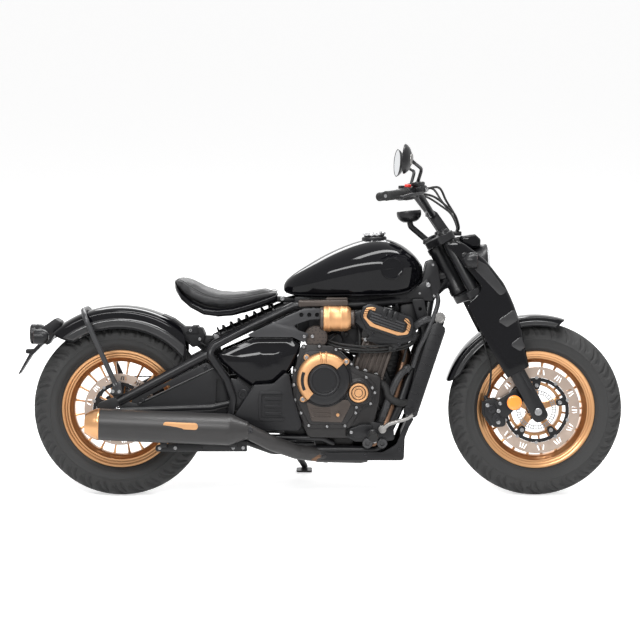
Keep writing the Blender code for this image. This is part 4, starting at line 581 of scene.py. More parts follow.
    def loft(self, rings: Sequence[Sequence[Point]], caps: bool = True, at: Matrix | None = None) -> "Shape":
        """A skin over closed rings with the same number of points.

        Args:
            rings: The rings, in order.
            caps: Whether the end rings are closed.
            at: Where it goes in this piece's frame.

        Returns:
            This piece.
        """
        made = bmesh.new()
        loops = []
        for ring in rings:
            circle = bmesh.ops.create_circle(made, segments=len(ring), radius=1.0)["verts"]
            for vert, point in zip(circle, ring):
                vert.co = point
            loops.append(circle)
        for here, there in zip(loops, loops[1:]):
            for i in range(len(here)):
                k = (i + 1) % len(here)
                made.faces.new((here[i], here[k], there[k], there[i]))
        if caps:
            made.faces.new(loops[0])
            made.faces.new(loops[-1])
        bmesh.ops.recalc_face_normals(made, faces=made.faces)
        return self.take(made, at)

    def sheet(self, rows: Sequence[Sequence[Point]], outside: Point) -> "Shape":
        """An open skin over a grid of points.

        Args:
            rows: The rows of points.
            outside: A direction that most of its faces look to.

        Returns:
            This piece.
        """
        made = bmesh.new()
        long, wide = len(rows) - 1, len(rows[0]) - 1
        verts = bmesh.ops.create_grid(made, x_segments=wide, y_segments=long, size=1.0)["verts"]
        verts.sort(key=lambda v: (round(v.co.y, 5), v.co.x))
        for vert, point in zip(verts, (p for row in rows for p in row)):
            vert.co = point
        made.normal_update()
        if sum(face.normal.dot(Vector(outside)) * face.calc_area() for face in made.faces) < 0:
            bmesh.ops.reverse_faces(made, faces=made.faces)
        return self.take(made)

    def arc(
        self, start: Point, end: Point, profile: Profile, first: float, last: float, steps: int,
    ) -> "Shape":
        """Part of a ring: a closed profile carried round an axis between two angles.

        Args:
            start: Where distances along the axis are measured from.
            end: Any point further along the axis.
            profile: (radius, distance) points, closed.
            first: The first angle in degrees.
            last: The last angle in degrees.
            steps: The number of facets along it.

        Returns:
            This piece.
        """
        rings = []
        for k in range(steps + 1):
            a = math.radians(first + (last - first) * k / steps)
            rings.append([(r * math.cos(a), r * math.sin(a), d) for r, d in profile])
        return self.loft(rings, at=towards(start, end))

    def spread(self, part: "Shape", places: Iterable[Matrix]) -> "Shape":
        """Copies of a small part, one at each place.

        Args:
            part: The part, which is used up.
            places: Where the copies go.

        Returns:
            This piece.
        """
        carrier = bpy.data.meshes.new("part")
        part.mesh.to_mesh(carrier)
        part.mesh.free()
        for place in places:
            copy = carrier.copy()
            copy.transform(place)
            self.mesh.from_mesh(copy)
            bpy.data.meshes.remove(copy)
        bpy.data.meshes.remove(carrier)
        return self

    def bolt(self, at: Point, out: Point, size: float, tall: float | None = None, hexed: bool = False) -> "Shape":
        """A bolt head standing on a face: a socket cap, or a flanged hexagon.

        Args:
            at: The foot of the head.
            out: The direction that it stands in.
            size: Its radius.
            tall: Its height.
            hexed: Whether it is a hexagon.

        Returns:
            This piece.
        """
        tall = size * 0.9 if tall is None else tall
        start = Vector(at)
        end = start + Vector(out)
        if hexed:
            self.turn(start, end, [(size * 1.25, 0), (size * 1.25, tall * 0.18), (size, tall * 0.2)], 20)
            return self.turn(start, end, [(size, 0), (size, tall * 0.9), (size * 0.88, tall)], 6)
        profile = [(size, 0), (size, tall * 0.85), (size * 0.86, tall), (size * 0.5, tall), (size * 0.45, tall * 0.5)]
        return self.turn(start, end, profile, 14)

    def cut(self, cutter: "Shape") -> "Shape":
        """Takes the cutter's form out of this piece.

        Args:
            cutter: The form to take out, which is used up.

        Returns:
            This piece.
        """
        holders = []
        for shape in (self, cutter):
            mesh = bpy.data.meshes.new("part")
            shape.mesh.to_mesh(mesh)
            shape.mesh.free()
            holder = bpy.data.objects.new("part", mesh)
            bpy.context.collection.objects.link(holder)
            holders.append(holder)
        body, tool = holders
        modifier = body.modifiers.new("cut", "BOOLEAN")
        modifier.operation = "DIFFERENCE"
        modifier.solver = "EXACT"
        modifier.use_self = True
        modifier.object = tool
        bpy.context.view_layer.update()
        result = bpy.data.meshes.new_from_object(body.evaluated_get(bpy.context.evaluated_depsgraph_get()))
        self.mesh = bmesh.new()
        self.mesh.from_mesh(result)
        bpy.data.meshes.remove(result)
        for holder in holders:
            mesh = holder.data
            bpy.data.objects.remove(holder)
            bpy.data.meshes.remove(mesh)
        return self

    def done(
        self, name: str, finish: Finish, body: str, replaces: Sequence[str] = (), soft: float = 0.0,
        smooth: int = 0, sharp: float = 38.0,
    ) -> bpy.types.Object:
        """Makes the object, dresses it and lets it ride on its body.

        Args:
            name: The piece's name.
            finish: Its finish.
            body: The body that it rides on.
            replaces: The nodes that it stands for.
            soft: The radius that a bevel gives its sharp edges.
            smooth: Levels of subdivision.
            sharp: The angle in degrees above which an edge stays sharp.

        Returns:
            The new object.
        """
        mesh = bpy.data.meshes.new(name)
        self.mesh.transform(self.place)
        self.mesh.to_mesh(mesh)
        self.mesh.free()
        mesh.materials.clear()
        mesh.materials.append(finish.material())
        mesh.shade_smooth()
        mesh.set_sharp_from_angle(angle=math.radians(sharp))
        piece = bpy.data.objects.new(name, mesh)
        bpy.context.collection.objects.link(piece)
        if soft > 0:
            bevel = piece.modifiers.new("edges", "BEVEL")
            bevel.width = soft
            bevel.segments = 2
            bevel.limit_method, bevel.angle_limit = "ANGLE", BEVEL_ABOVE
            bevel.harden_normals = False
        if smooth:
            rounding = piece.modifiers.new("round", "SUBSURF")
            rounding.levels = rounding.render_levels = smooth
        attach(piece, body)
        if replaces:
            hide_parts(*replaces)
        LOG.info("%s: %d faces", name, len(mesh.polygons))
        return piece


def walled(piece: bpy.types.Object, thickness: float, width: float = 0.0, above: float = 60.0) -> None:
    """Gives a skin its wall, inwards, and softens the wall's edges.

    Args:
        piece: The skin.
        thickness: The wall's thickness.
        width: The width of the bevel, where it has one.
        above: The angle in degrees above which an edge is bevelled.
    """
    wall = piece.modifiers.new("wall", "SOLIDIFY")
    wall.thickness, wall.offset = thickness, -1.0
    if width:
        edge = piece.modifiers.new("edges", "BEVEL")
        edge.width, edge.segments = width, 2
        edge.limit_method, edge.angle_limit = "ANGLE", math.radians(above)


def scalloped(levels: Sequence[tuple[float, float, float]], waves: int, count: int) -> list[list[Point]]:
    """Rings with a wavy edge, as round a cap that fingers turn.

    Args:
        levels: (height, radius, depth of the waves) of each ring.
        waves: How many waves run round it.
        count: How many points each ring has.

    Returns:
        The rings' points.
    """
    turns = [math.tau * k / count for k in range(count)]
    rings = []
    for height, radius, wave in levels:
        reach = [radius + wave * math.cos(waves * a) for a in turns]
        rings.append([(r * math.cos(a), r * math.sin(a), height) for r, a in zip(reach, turns)])
    return rings


def polar(centre: Sequence[float], radius: float, degrees: float) -> tuple[float, float]:
    """A point on a circle in the machine's (x, z) plane.

    Args:
        centre: The circle's centre.
        radius: Its radius.
        degrees: The point's angle.

    Returns:
        The point as (x, z).
    """
    a = math.radians(degrees)
    return centre[0] + radius * math.cos(a), centre[1] + radius * math.sin(a)


def about_y(count: int, start: float = 0.0) -> list[Matrix]:
    """Turns about the Y axis, evenly spread.

    Args:
        count: How many.
        start: The first one's angle, as a share of the spacing.

    Returns:
        The turns as matrices.
    """
    return [Matrix.Rotation(-math.tau * (i + start) / count, 4, "Y") for i in range(count)]


@dataclass
class Wheel:
    """One wheel with its tyre: cast spokes between a stepped rim and a machined hub."""

    name: str
    body: str
    hub: Matrix
    tyre_radius: float
    half_width: float
    hub_radius: float
    hub_half_width: float
    ring_radius: float
    ring_half_width: float
    arms: int
    tread_pitches: int
    rim_radius: float = 0.2165
    rim_half_width: float = 0.052
    spokes: int = 20
    axle_bore: float = 0.011
    crown_share: float = 1.04
    tread_depth: float = 0.006
    groove_half_width: float = 0.0036
    # Where each groove starts and ends: shares of the pitch and of the half width
    grooves: tuple = (((0.0, 0.1), (0.85, 0.9)), ((0.52, 0.46), (0.98, 0.86)), ((0.2, 0.62), (0.5, 0.93)))

    def build(self) -> None:
        """Makes the tyre, the rim and the hub."""
        self._tyre()
        self._rim()
        self._hub()

    def _tyre(self) -> None:
        """The tyre: a round crown cut by slanted grooves, and moulded sidewalls."""
        crown = self.half_width * self.crown_share
        profile = []
        for k in range(33):
            angle = math.radians(-72 + 144 * k / 32)
            profile.append((self.tyre_radius - crown + crown * math.cos(angle), crown * math.sin(angle)))
        shoulder, edge = profile[-1]
        drop = shoulder - self.rim_radius
        w = self.rim_half_width
        wall = [
            (shoulder - 0.06 * drop, edge + 0.0006), (shoulder - 0.16 * drop, self.half_width + 0.0006),
            (shoulder - 0.2 * drop, self.half_width + 0.003), (shoulder - 0.22 * drop, self.half_width + 0.003),
            (shoulder - 0.25 * drop, self.half_width + 0.001), (shoulder - 0.46 * drop, self.half_width),
            (shoulder - 0.62 * drop, self.half_width - 0.003), (shoulder - 0.78 * drop, w + 0.008),
            (shoulder - 0.8 * drop, w + 0.0084), (shoulder - 0.83 * drop, w + 0.0064),
            (shoulder - 0.92 * drop, w + 0.002), (self.rim_radius + 0.001, w - 0.003),
            (self.rim_radius - 0.012, w - 0.0078),
        ]
        outline = [(r, -y) for r, y in reversed(wall)] + profile + wall
        made = Shape(self.hub)
        made.across(0, 0, 0, 1, outline, 900, closed=True)
        co = np.array([v.co for v in made.mesh.verts])
        co = self._grooved(co)
        for vert, at in zip(made.mesh.verts, co):
            vert.co = at
        made.done(f"{self.name}_tyre_carcass", TYRE, self.body, [f"{self.name}_tyre"], sharp=50)

    def _grooved(self, points: np.ndarray) -> np.ndarray:
        """Sinks the tread's grooves into the crown.

        Args:
            points: The tyre's points about its own axle.

        Returns:
            The moved points.
        """
        radius = np.hypot(points[:, 0], points[:, 2])
        angle = np.arctan2(points[:, 2], points[:, 0])
        across = points[:, 1] / self.half_width
        pitch = math.tau / self.tread_pitches
        sink = np.zeros(len(points))
        for side in (-1, 1):
            for start, end in self.grooves:
                phase = (angle * side / pitch + (0.5 if side > 0 else 0.0)) % 1.0
                for wrap in (-1, 0, 1):
                    u = (phase + wrap - start[0]) * pitch * self.tyre_radius
                    v = (across * side - start[1]) * self.half_width
                    run = ((end[0] - start[0]) * pitch * self.tyre_radius, (end[1] - start[1]) * self.half_width)
                    length = math.hypot(*run)
                    share = np.clip((u * run[0] + v * run[1]) / length**2, 0, 1)
                    away = np.hypot(u - share * run[0], v - share * run[1])
                    width = self.groove_half_width * (0.6 + 0.8 * share)
                    sink = np.maximum(sink, np.clip(1.35 - away / width, 0, 1))
        sink *= (np.abs(across) < 1.02) & (radius > self.rim_radius + 0.5 * (self.tyre_radius - self.rim_radius))
        crown = self.half_width * self.crown_share
        centre = self.tyre_radius - crown
        out = np.stack([(radius - centre) * np.cos(angle), points[:, 1], (radius - centre) * np.sin(angle)], axis=1)
        out /= np.maximum(np.linalg.norm(out, axis=1, keepdims=True), 1e-6)
        return points - out * (sink * self.tread_depth)[:, None]

    def _rim(self) -> None:
        """The rim with its stepped ridges, and the spokes."""
        r, w = self.rim_radius, self.rim_half_width
        face = [
            (r, w - 0.0045), (r, w - 0.0005), (r - 0.002, w + 0.0008), (r - 0.0085, w + 0.0004),
            (r - 0.013, w - 0.0022), (r - 0.014, w - 0.0048), (r - 0.0195, w - 0.0052), (r - 0.0218, w - 0.0068),
            (r - 0.0226, w - 0.0094), (r - 0.028, w - 0.0098), (r - 0.03, w - 0.0114), (r - 0.031, w - 0.014),
            (r - 0.037, w - 0.019), (r - 0.0425, w - 0.0245), (r - 0.0445, w - 0.03), (r - 0.046, 0.0),
        ]
        inner = [(r - 0.03, 0.0), (r - 0.014, w - 0.0072)]
        profile = face + [(a, -b) for a, b in reversed(face[:-1])] + [(a, -b) for a, b in reversed(inner)] + inner[1:]
        made = Shape(self.hub)
        made.across(0, 0, 0, 1, profile, 160, closed=True)
        foot = self.ring_radius - 0.004 if self.arms else self.hub_radius - 0.005
        for side in (-1, 1):
            spoke = Shape(self.hub)
            rings = []
            for radius, y, wide, deep in (
                (foot, side * self.ring_half_width * 0.45, 0.0115, 0.016),
                (foot + 0.014, side * self.ring_half_width * 0.44, 0.0076, 0.0135),
                (r - 0.064, side * 0.0125, 0.0072, 0.0125), (r - 0.05, side * 0.0105, 0.0095, 0.014),
                (r - 0.04, side * 0.01, 0.015, 0.017),
            ):
                rings.append([
                    (
                        radius, y + deep / 2 * math.copysign(abs(math.sin(a)) ** 0.6, math.sin(a)),
                        wide / 2 * math.copysign(abs(math.cos(a)) ** 0.6, math.cos(a)),
                    )
                    for a in (math.tau * (k + 0.5) / 12 for k in range(12))
                ])
            spoke.loft(rings)
            made.spread(spoke, about_y(self.spokes, 0.5)[int(side > 0)::2])
        made.turn(
            (r - 0.043, 0.0, 0.0), (r - 0.1, 0.0, 0.0),
            [(0.0042, -0.002), (0.0042, 0.004), (0.003, 0.006), (0.003, 0.026), (0.0038, 0.028), (0.0038, 0.034)], 12,
        )
        made.done(f"{self.name}_rim_and_spokes", BRONZE, self.body, [f"{self.name}_wheel"], sharp=32)

    def _hub(self) -> None:
        """The hub barrel, its arms and its ring."""
        made = Shape(self.hub)
        b, h, n = self.hub_radius, self.hub_half_width, self.ring_half_width
        made.across(0, 0, 0, 1, [
            (self.axle_bore, -h), (b * 0.72, -h), (b * 0.78, -h + 0.004), (b * 0.8, -n - 0.006), (b, -n), (b, n),
            (b * 0.8, n + 0.006), (b * 0.78, h - 0.004), (b * 0.72, h), (self.axle_bore, h),
        ], 48, closed=True)
        if self.arms:
            q = self.ring_radius
            made.across(0, 0, 0, 1, [
                (q - 0.011, -n + 0.002), (q - 0.009, -n), (q - 0.001, -n), (q, -n + 0.002), (q, n - 0.002),
                (q - 0.001, n), (q - 0.009, n), (q - 0.011, n - 0.002),
            ], 80, closed=True)
            arm = Shape(self.hub)
            arm.loft([
                [
                    (radius, y, z)
                    for y, z in (
                        (-d, -w), (-d, w), (-d * 0.4, w * 1.35), (d * 0.4, w * 1.35), (d, w), (d, -w),
                        (d * 0.4, -w * 1.35), (-d * 0.4, -w * 1.35),
                    )
                ]
                for radius, d, w in (
                    (b - 0.008, 0.016, 0.013), (b + 0.012, 0.013, 0.01), (q - 0.024, 0.013, 0.01),
                    (q - 0.004, 0.017, 0.014),
                )
            ])
            arm.across(q - 0.006, 0, -n - 0.0005, -1, [(0.0095, -0.006), (0.0095, 0.001), (0.008, 0.002)], 20)
            made.spread(arm, about_y(self.arms, 0.25))
        made.done(f"{self.name}_hub_barrel", BRONZE, self.body, soft=0.0008, sharp=32)


@dataclass
class Disc:
    """A brake disc: drilled rotor, black carrier and its bobbins."""

    name: str
    body: str
    hub: Matrix
    outer: float
    inner: float
    carrier_inner: float
    y: float
    tabs: int
    tab_reach: float
    hub_face: float
    sensor: float = 0.0
    thickness: float = 0.005
    groups: int = 13

    def build(self) -> None:
        """Makes the rotor, the carrier and the bolts."""
        half = self.thickness / 2
        rotor = Shape(self.hub)
        rotor.across(0, 0, 0, 1, [
            (self.inner, self.y - half), (self.outer - 0.0006, self.y - half), (self.outer, self.y - half + 0.0006),
            (self.outer, self.y + half - 0.0006), (self.outer - 0.0006, self.y + half), (self.inner, self.y + half),
        ], 120, closed=True)
        rotor.cut(self._holes())
        rotor.done(f"{self.name}_rotor", DISC_STEEL, self.body, [self.name], sharp=30)
        carrier = Shape(self.hub)
        carrier.across(0, 0, 0, 1, [
            (self.carrier_inner, self.y - 0.002), (self.inner - 0.001, self.y - 0.002),
            (self.inner - 0.001, self.y + 0.002), (self.carrier_inner, self.y + 0.002),
        ], 90, closed=True)
        tab = Shape(self.hub)
        edge = self.carrier_inner + 0.003
        outline = rounded(
            [(self.tab_reach - 0.01, -0.009), (edge, -0.017), (edge, 0.017), (self.tab_reach - 0.01, 0.009)], 0.005,
        )
        tab.loft([[(x, self.y + d, z) for x, z in outline] for d in (-0.002, 0.002)])
        tab.across(
            self.tab_reach + 0.004, 0, self.y + 0.002, 1, [(0.009, 0), (0.009, self.hub_face - self.y - 0.002)], 20,
        )
        carrier.spread(tab, about_y(self.tabs, 0.25))
        carrier.done(f"{self.name}_carrier", SATIN_BLACK, self.body, soft=0.0005)
        bolts = Shape(self.hub)
        bolt = Shape(self.hub)
        bolt.bolt((self.tab_reach + 0.004, self.y - 0.002, 0), (0, -1, 0), 0.0075, 0.005)
        bolts.spread(bolt, about_y(self.tabs, 0.25))
        bobbin = Shape(self.hub)
        bobbin.across(self.inner - 0.001, 0, self.y - 0.0034, 1, [(0.006, 0), (0.006, 0.0068)], 16)
        bolts.spread(bobbin, about_y(self.tabs * 2, 0.5))
        bolts.done(f"{self.name}_bolts", ZINC, self.body, soft=0.0004)
        if self.sensor:
            self._sensor_ring()

    def _sensor_ring(self) -> None:
        """The slotted ring that the speed sensor reads, between the carrier and the hub."""
        ring, r, y = Shape(self.hub), self.sensor, self.y + 0.01
        for out, wide in ((r, 0.003), (r - 0.0125, 0.003)):
            ring.across(
                0, 0, 0, 1, [(out - wide, y), (out, y), (out, y + 0.002), (out - wide, y + 0.002)], 72, closed=True,
            )
        bar = Shape(self.hub)
        bar.block((r - 0.0125, y, -0.0016), (r - 0.002, y + 0.002, 0.0016))
        ring.spread(bar, about_y(44))
        ring.done(f"{self.name}_sensor_ring", ZINC, self.body)

    def _holes(self) -> Shape:
        """The drilling: slots in pairs with round holes between.

        Returns:
            The cutters as one shape.
        """
        middle = (self.outer + self.inner) / 2
        deep = self.thickness
        reach = (self.outer - self.inner) * 0.26
        group = Shape(self.hub)
        for degrees, lean in ((-3.9, 0.3), (0.0, 0.0), (3.9, -0.3)):
            slot = Shape(self.hub)
            outline = rounded([(-reach, -0.0022), (reach, -0.0022), (reach, 0.0022), (-reach, 0.0022)], 0.0021, 3)
            slot.loft([[(x, y, z) for x, z in outline] for y in (self.y - deep, self.y + deep)])
            spot = Matrix.Rotation(math.radians(degrees), 4, "Y") @ Matrix.Translation((middle, 0, 0))
            group.spread(slot, [spot @ Matrix.Rotation(lean, 4, "Y")])
        holes = Shape(self.hub)
        return holes.spread(group, about_y(self.groups))


@dataclass
class Tank:
    """The teardrop fuel tank with its crease, blank round badge seat and filler cap."""

    # x, underside, shoulder line, top, half width at the shoulder, half width at the foot
    stations: tuple = (
        (0.598, 0.757, 0.764, 0.775, 0.016, 0.014), (0.608, 0.748, 0.768, 0.796, 0.04, 0.034),
        (0.64, 0.74, 0.772, 0.822, 0.07, 0.06), (0.69, 0.738, 0.782, 0.853, 0.098, 0.084),
        (0.75, 0.738, 0.798, 0.889, 0.122, 0.104), (0.82, 0.74, 0.815, 0.921, 0.14, 0.118),
        (0.89, 0.741, 0.83, 0.945, 0.151, 0.126), (0.96, 0.742, 0.841, 0.953, 0.155, 0.128),
        (1.015, 0.746, 0.846, 0.937, 0.148, 0.122), (1.06, 0.757, 0.846, 0.908, 0.126, 0.104),
        (1.09, 0.78, 0.843, 0.878, 0.096, 0.078), (1.106, 0.804, 0.838, 0.853, 0.056, 0.046),
        (1.11, 0.82, 0.834, 0.842, 0.026, 0.02),
    )
    badge: tuple[float, float] = (0.993, 0.843)
    badge_radius: float = 0.042
    cap_at: tuple[float, float] = (0.932, 0.95)

    def build(self) -> None:
        """Makes the shell, the badge seat and the cap."""
        shell = Shape()
        rings = []
        for x, low, line, high, wide, foot in self.stations:
            half = []
            for k in range(9):
                angle = math.radians(90 * k / 8)
                half.append((wide * math.sin(angle) ** 0.8, line + (high - line) * math.cos(angle) ** 0.95))
            half += [
                (wide * 0.995, line - 0.05 * (line - low)), (wide * 0.955, line - 0.26 * (line - low)),
                (foot + (wide - foot) * 0.4, line - 0.6 * (line - low)), (foot, low + 0.14 * (line - low)),
                (foot * 0.93, low + 0.02 * (line - low)), (foot * 0.5, low),
            ]
            ring = [(x, y, z) for y, z in half] + [(x, -y, z) for y, z in reversed(half[1:])]
            ring.insert(len(half), (x, 0.0, low))
            rings.append(ring)
        shell.loft(rings)
        tank = shell.done("tank_shell", GLOSS_BLACK, "frame", ["fuel_tank"], smooth=2, sharp=60)
        crease = tank.data.attributes.new("crease_edge", "FLOAT", "EDGE")
        inverse = STANCE.machine.inverted()
        lines = {round(s[0], 3): s[2] for s in self.stations}
        for edge in tank.data.edges:
            a, b = (inverse @ tank.data.vertices[i].co for i in edge.vertices)
            on_line = all(abs(p.z - lines.get(round(p.x, 3), 9)) < 0.0005 for p in (a, b))
            if on_line and abs(a.x - b.x) > 0.002:
                crease.data[edge.index].value = 0.72
        seam = Shape()
        for side in SIDES.values():
            route = [(x, side * (foot + 0.002), low + 0.004) for x, low, line, high, wide, foot in self.stations[1:-1]]
            seam.pipe(flowing(route, 4), 0.0032, 8)
        seam.done("tank_bottom_seam", GLOSS_BLACK, "frame")
        badge = Shape()
        x, z = self.badge
        for side in SIDES.values():
            tilt = Vector((0.1, side, 0.1)).normalized()
            foot = Vector((x, side * 0.146, z))
            badge.turn(foot, foot + tilt, [
                (self.badge_radius, -0.006), (self.badge_radius, 0.0035), (self.badge_radius - 0.004, 0.005),
                (self.badge_radius - 0.007, 0.0035), (self.badge_radius - 0.009, 0.003),
            ], 64)
        badge.done("tank_badge_seats", GLOSS_BLACK, "frame", soft=0.0006)
        self._cap()

    def _cap(self) -> None:
        """The scalloped chrome filler cap in its collar."""
        x, z = self.cap_at
        up = Vector((-0.03, 0, 1)).normalized()
        foot = Vector((x, 0, z))
        collar = Shape()
        collar.turn(foot, foot + up, [(0.046, -0.01), (0.046, 0.0), (0.043, 0.004), (0.036, 0.005), (0.034, 0.0)], 64)
        collar.done("filler_collar", SATIN_BLACK, "frame", soft=0.0008)
        cap = Shape()
        levels = (
            (0.002, 0.034, 0), (0.008, 0.04, 0), (0.01, 0.0415, 0.0016), (0.018, 0.0415, 0.002),
            (0.0205, 0.039, 0.0012),
        )
        cap.loft(scalloped(levels, 12, 96), at=towards(foot, foot + up))
        cap.turn(foot, foot + up, [(0.033, 0.019), (0.032, 0.0225), (0.024, 0.0232), (0.01, 0.0232)], 48)
        cap.done("filler_cap_top", CHROME, "frame", ["filler_cap"], soft=0.0006)


def superellipse(x: float, centre: float, wide: float, tall: float, power: float, count: int) -> list[Point]:
    """A rounded section across the machine.

    Args:
        x: Where it stands.
        centre: The height of its middle.
        wide: Its half width.
        tall: Its half height.
        power: How square it is, from 2, an ellipse.
        count: How many points it has.

    Returns:
        The section's points.
    """
    ring = []
    for k in range(count):
        c, s = math.cos(math.tau * (k + 0.5) / count), math.sin(math.tau * (k + 0.5) / count)
        y = math.copysign(abs(c) ** (2 / power), c) * wide
        ring.append((x, y, centre + math.copysign(abs(s) ** (2 / power), s) * tall))
    return ring


def plumped(piece: bpy.types.Object, voxel: float, pressure: float, limit: float, last_frame: int = 20) -> None:
    """Swells a closed pad as stuffed cloth, by simulation.

    Args:
        piece: The pad, closed and at the origin.
        voxel: The size of the even mesh that it gets first.
        pressure: The pressure inside.
        limit: The furthest that a point may move.
        last_frame: How long the cloth moves.
    """
    even = piece.modifiers.new("even", "REMESH")
    even.mode = "VOXEL"
    even.voxel_size = voxel
    piece.data = bpy.data.meshes.new_from_object(piece.evaluated_get(bpy.context.evaluated_depsgraph_get()))
    piece.modifiers.remove(even)
    start = np.empty(len(piece.data.vertices) * 3, dtype=np.float32)
    piece.data.vertices.foreach_get("co", start)
    cloth = piece.modifiers.new("cloth", "CLOTH")
    cloth.settings.use_pressure = True
    cloth.settings.uniform_pressure_force = pressure
    cloth.settings.effector_weights.gravity = 0.0
    cloth.point_cache.frame_start, cloth.point_cache.frame_end = 1, last_frame
    for step in range(1, last_frame + 1):
        bpy.context.scene.frame_set(step)
    swollen = piece.evaluated_get(bpy.context.evaluated_depsgraph_get()).data
    end = np.empty_like(start)
    swollen.vertices.foreach_get("co", end)
    moves = (end - start).reshape(-1, 3)
    far = np.linalg.norm(moves, axis=1, keepdims=True)
    moves *= np.minimum(1.0, limit / np.maximum(far, 1e-9))
    piece.modifiers.remove(cloth)
    piece.data.vertices.foreach_set("co", (start.reshape(-1, 3) + moves).ravel())
    piece.data.shade_smooth()
    rounding = piece.modifiers.new("round", "SUBSURF")
    rounding.levels = rounding.render_levels = 1
    bpy.context.scene.frame_set(1)


@dataclass
class Seat:
    """The solo seat: a stuffed cushion with piping, in a glossy stepped pan."""

    # x, underside, top, half width
    stations: tuple = (
        (0.206, 0.783, 0.806, 0.052), (0.214, 0.77, 0.81, 0.082), (0.232, 0.744, 0.812, 0.108),
        (0.262, 0.716, 0.797, 0.132), (0.31, 0.692, 0.77, 0.147), (0.362, 0.685, 0.753, 0.146),
        (0.415, 0.689, 0.749, 0.128), (0.47, 0.703, 0.753, 0.102), (0.525, 0.72, 0.762, 0.08),
        (0.562, 0.732, 0.765, 0.066), (0.576, 0.738, 0.76, 0.05),
    )
    shrink: float = 0.004
    piping: float = 0.0026

    def build(self) -> None:
        """Makes the cushion, its seams and the pan."""
        pad = Shape()
        pad.loft([
            superellipse(x, (low + high) / 2, half - self.shrink, (high - low) / 2 - self.shrink, 2.5, 40)
            for x, low, high, half in self.stations
        ])
        cushion = pad.done("seat_pad", LEATHER, "frame", ["seat_cushion"], sharp=180)
        plumped(cushion, 0.005, 4.0, 0.006)
        seam = Shape()
        for share, radius in ((0.16, self.piping), (0.74, 0.0011)):
            for side in SIDES.values():
                route = []
                for x, low, high, half in self.stations[1:]:
                    angle = math.asin(2 * share - 1)
                    wide = math.cos(angle) ** 0.8 * half
                    route.append((x, side * wide, low + (high - low) * share))
                seam.pipe(flowing(route, 5), radius, 8)
        seam.done("seat_seams", THREAD, "frame")
        pan = Shape()
        rings = []
        for x, low, high, half in self.stations:
            rings.append(superellipse(x - (0.005 if x < 0.25 else 0.0), low - 0.006, half + 0.003, 0.018, 3.2, 48))
        pan.loft(rings)
        pan.cut(Shape().turn((0.345, 0, 0.582), (0.612, 0, 0.7), [(0.037, -0.03), (0.037, 0.3)], 32))
        pan.done("seat_shell", GLOSS_BLACK, "frame", ["seat_pan"], soft=0.0012)
        tongue = Shape()
        tongue.plate(
            [(0.5, 0.735), (0.5, 0.708), (0.56, 0.7145), (0.645, 0.7145), (0.645, 0.727), (0.585, 0.735)], -0.03, 0.03,
            0.002,
        )
        tongue.done("seat_tongue", SATIN_BLACK, "frame")
        bolts = Shape()
        for side in SIDES.values():
            bolts.bolt((0.594, side * 0.03, 0.727), (0, side, 0.0), 0.0085, 0.007)
        bolts.done("seat_bolts", ZINC, "frame", soft=0.0004)


@dataclass
class Guard:
    """A rolled mudguard on the arc of its wheel, with a lip along its skirts."""

    name: str
    body: str
    centre: tuple[float, float]
    radius: float
    half_width: float
    skirt_radius: float
    start: float
    end: float
    skirt_start: float
    node: str
    wall: float = 0.0036
    band_wall: float = 0.0026
    corner: float = 7.0
    steps: int = 60

    def build(self) -> None:
        """Makes the shell and its lip."""
        x, z = self.centre
        across = self._section()
        rows = []
        for k in range(self.steps + 1):
            share = k / self.steps
            row = []
            for r, y in across:
                depth = min(1.0, max(0.0, (self.radius - r) / (self.radius - self.skirt_radius)))
                first = self.start + (self.skirt_start - self.start) * depth**0.7
                last = self.end - self.corner * depth**2.5
                angle = math.radians(first + (last - first) * share)
                row.append((x + r * math.cos(angle), y, z + r * math.sin(angle)))
            rows.append(row)
        shell = Shape()
        shell.sheet(rows, outside=(0.0, 0.0, 1.0))
        made = shell.done(f"{self.name}_shell", GLOSS_BLACK, self.body, [self.node], sharp=75)
        walled(made, self.wall, WALL_BEVEL)
        lip = Shape()
        for side in (0, -1):
            lip.pipe([row[side] for row in rows], 0.003, 8)
        lip.done(f"{self.name}_lip", GLOSS_BLACK, self.body)
        # Over each skirt lies a sheet of the lighter gloss black. This is a painted reflection of the light band that
        # the skirt shows.
        band = Shape()
        for side, y in ((0, 0.0022), (-1, -0.0022)):
            rise = [abs(r - self.skirt_radius) for r, _ in across]
            turn = 0.46 * (self.radius - self.skirt_radius)
            columns = [i for i, d in enumerate(rise) if d < turn and (i < len(across) / 2) == (side == 0)]
            band.sheet(
                [[(row[i][0], row[i][1] + y, row[i][2]) for i in columns] for row in rows[1:-1]], outside=(0.0, y, 0.0),
            )
        walled(band.done(f"{self.name}_painted_sheen_band", PAINTED_SHEEN_BLACK, self.body, sharp=60), self.band_wall)

    def _section(self) -> list[tuple[float, float]]:
        """The section across the guard, as (radius, y), from the left skirt to the right one.

        Returns:
            The section's points.
        """
        turn = self.radius - 0.4 * (self.radius - self.skirt_radius)
        half = []
        for k in range(11):
            a = math.radians(90 * k / 10)
            y = self.half_width * math.sin(a) ** 0.68
            half.append((turn + (self.radius - turn) * math.cos(a) ** 0.68, y))
        half += [(turn + (self.skirt_radius - turn) * s, self.half_width + 0.0008 * s) for s in (0.25, 0.5, 0.75, 1.0)]
        return [(r, y) for r, y in reversed(half)] + [(r, -y) for r, y in half[1:]]


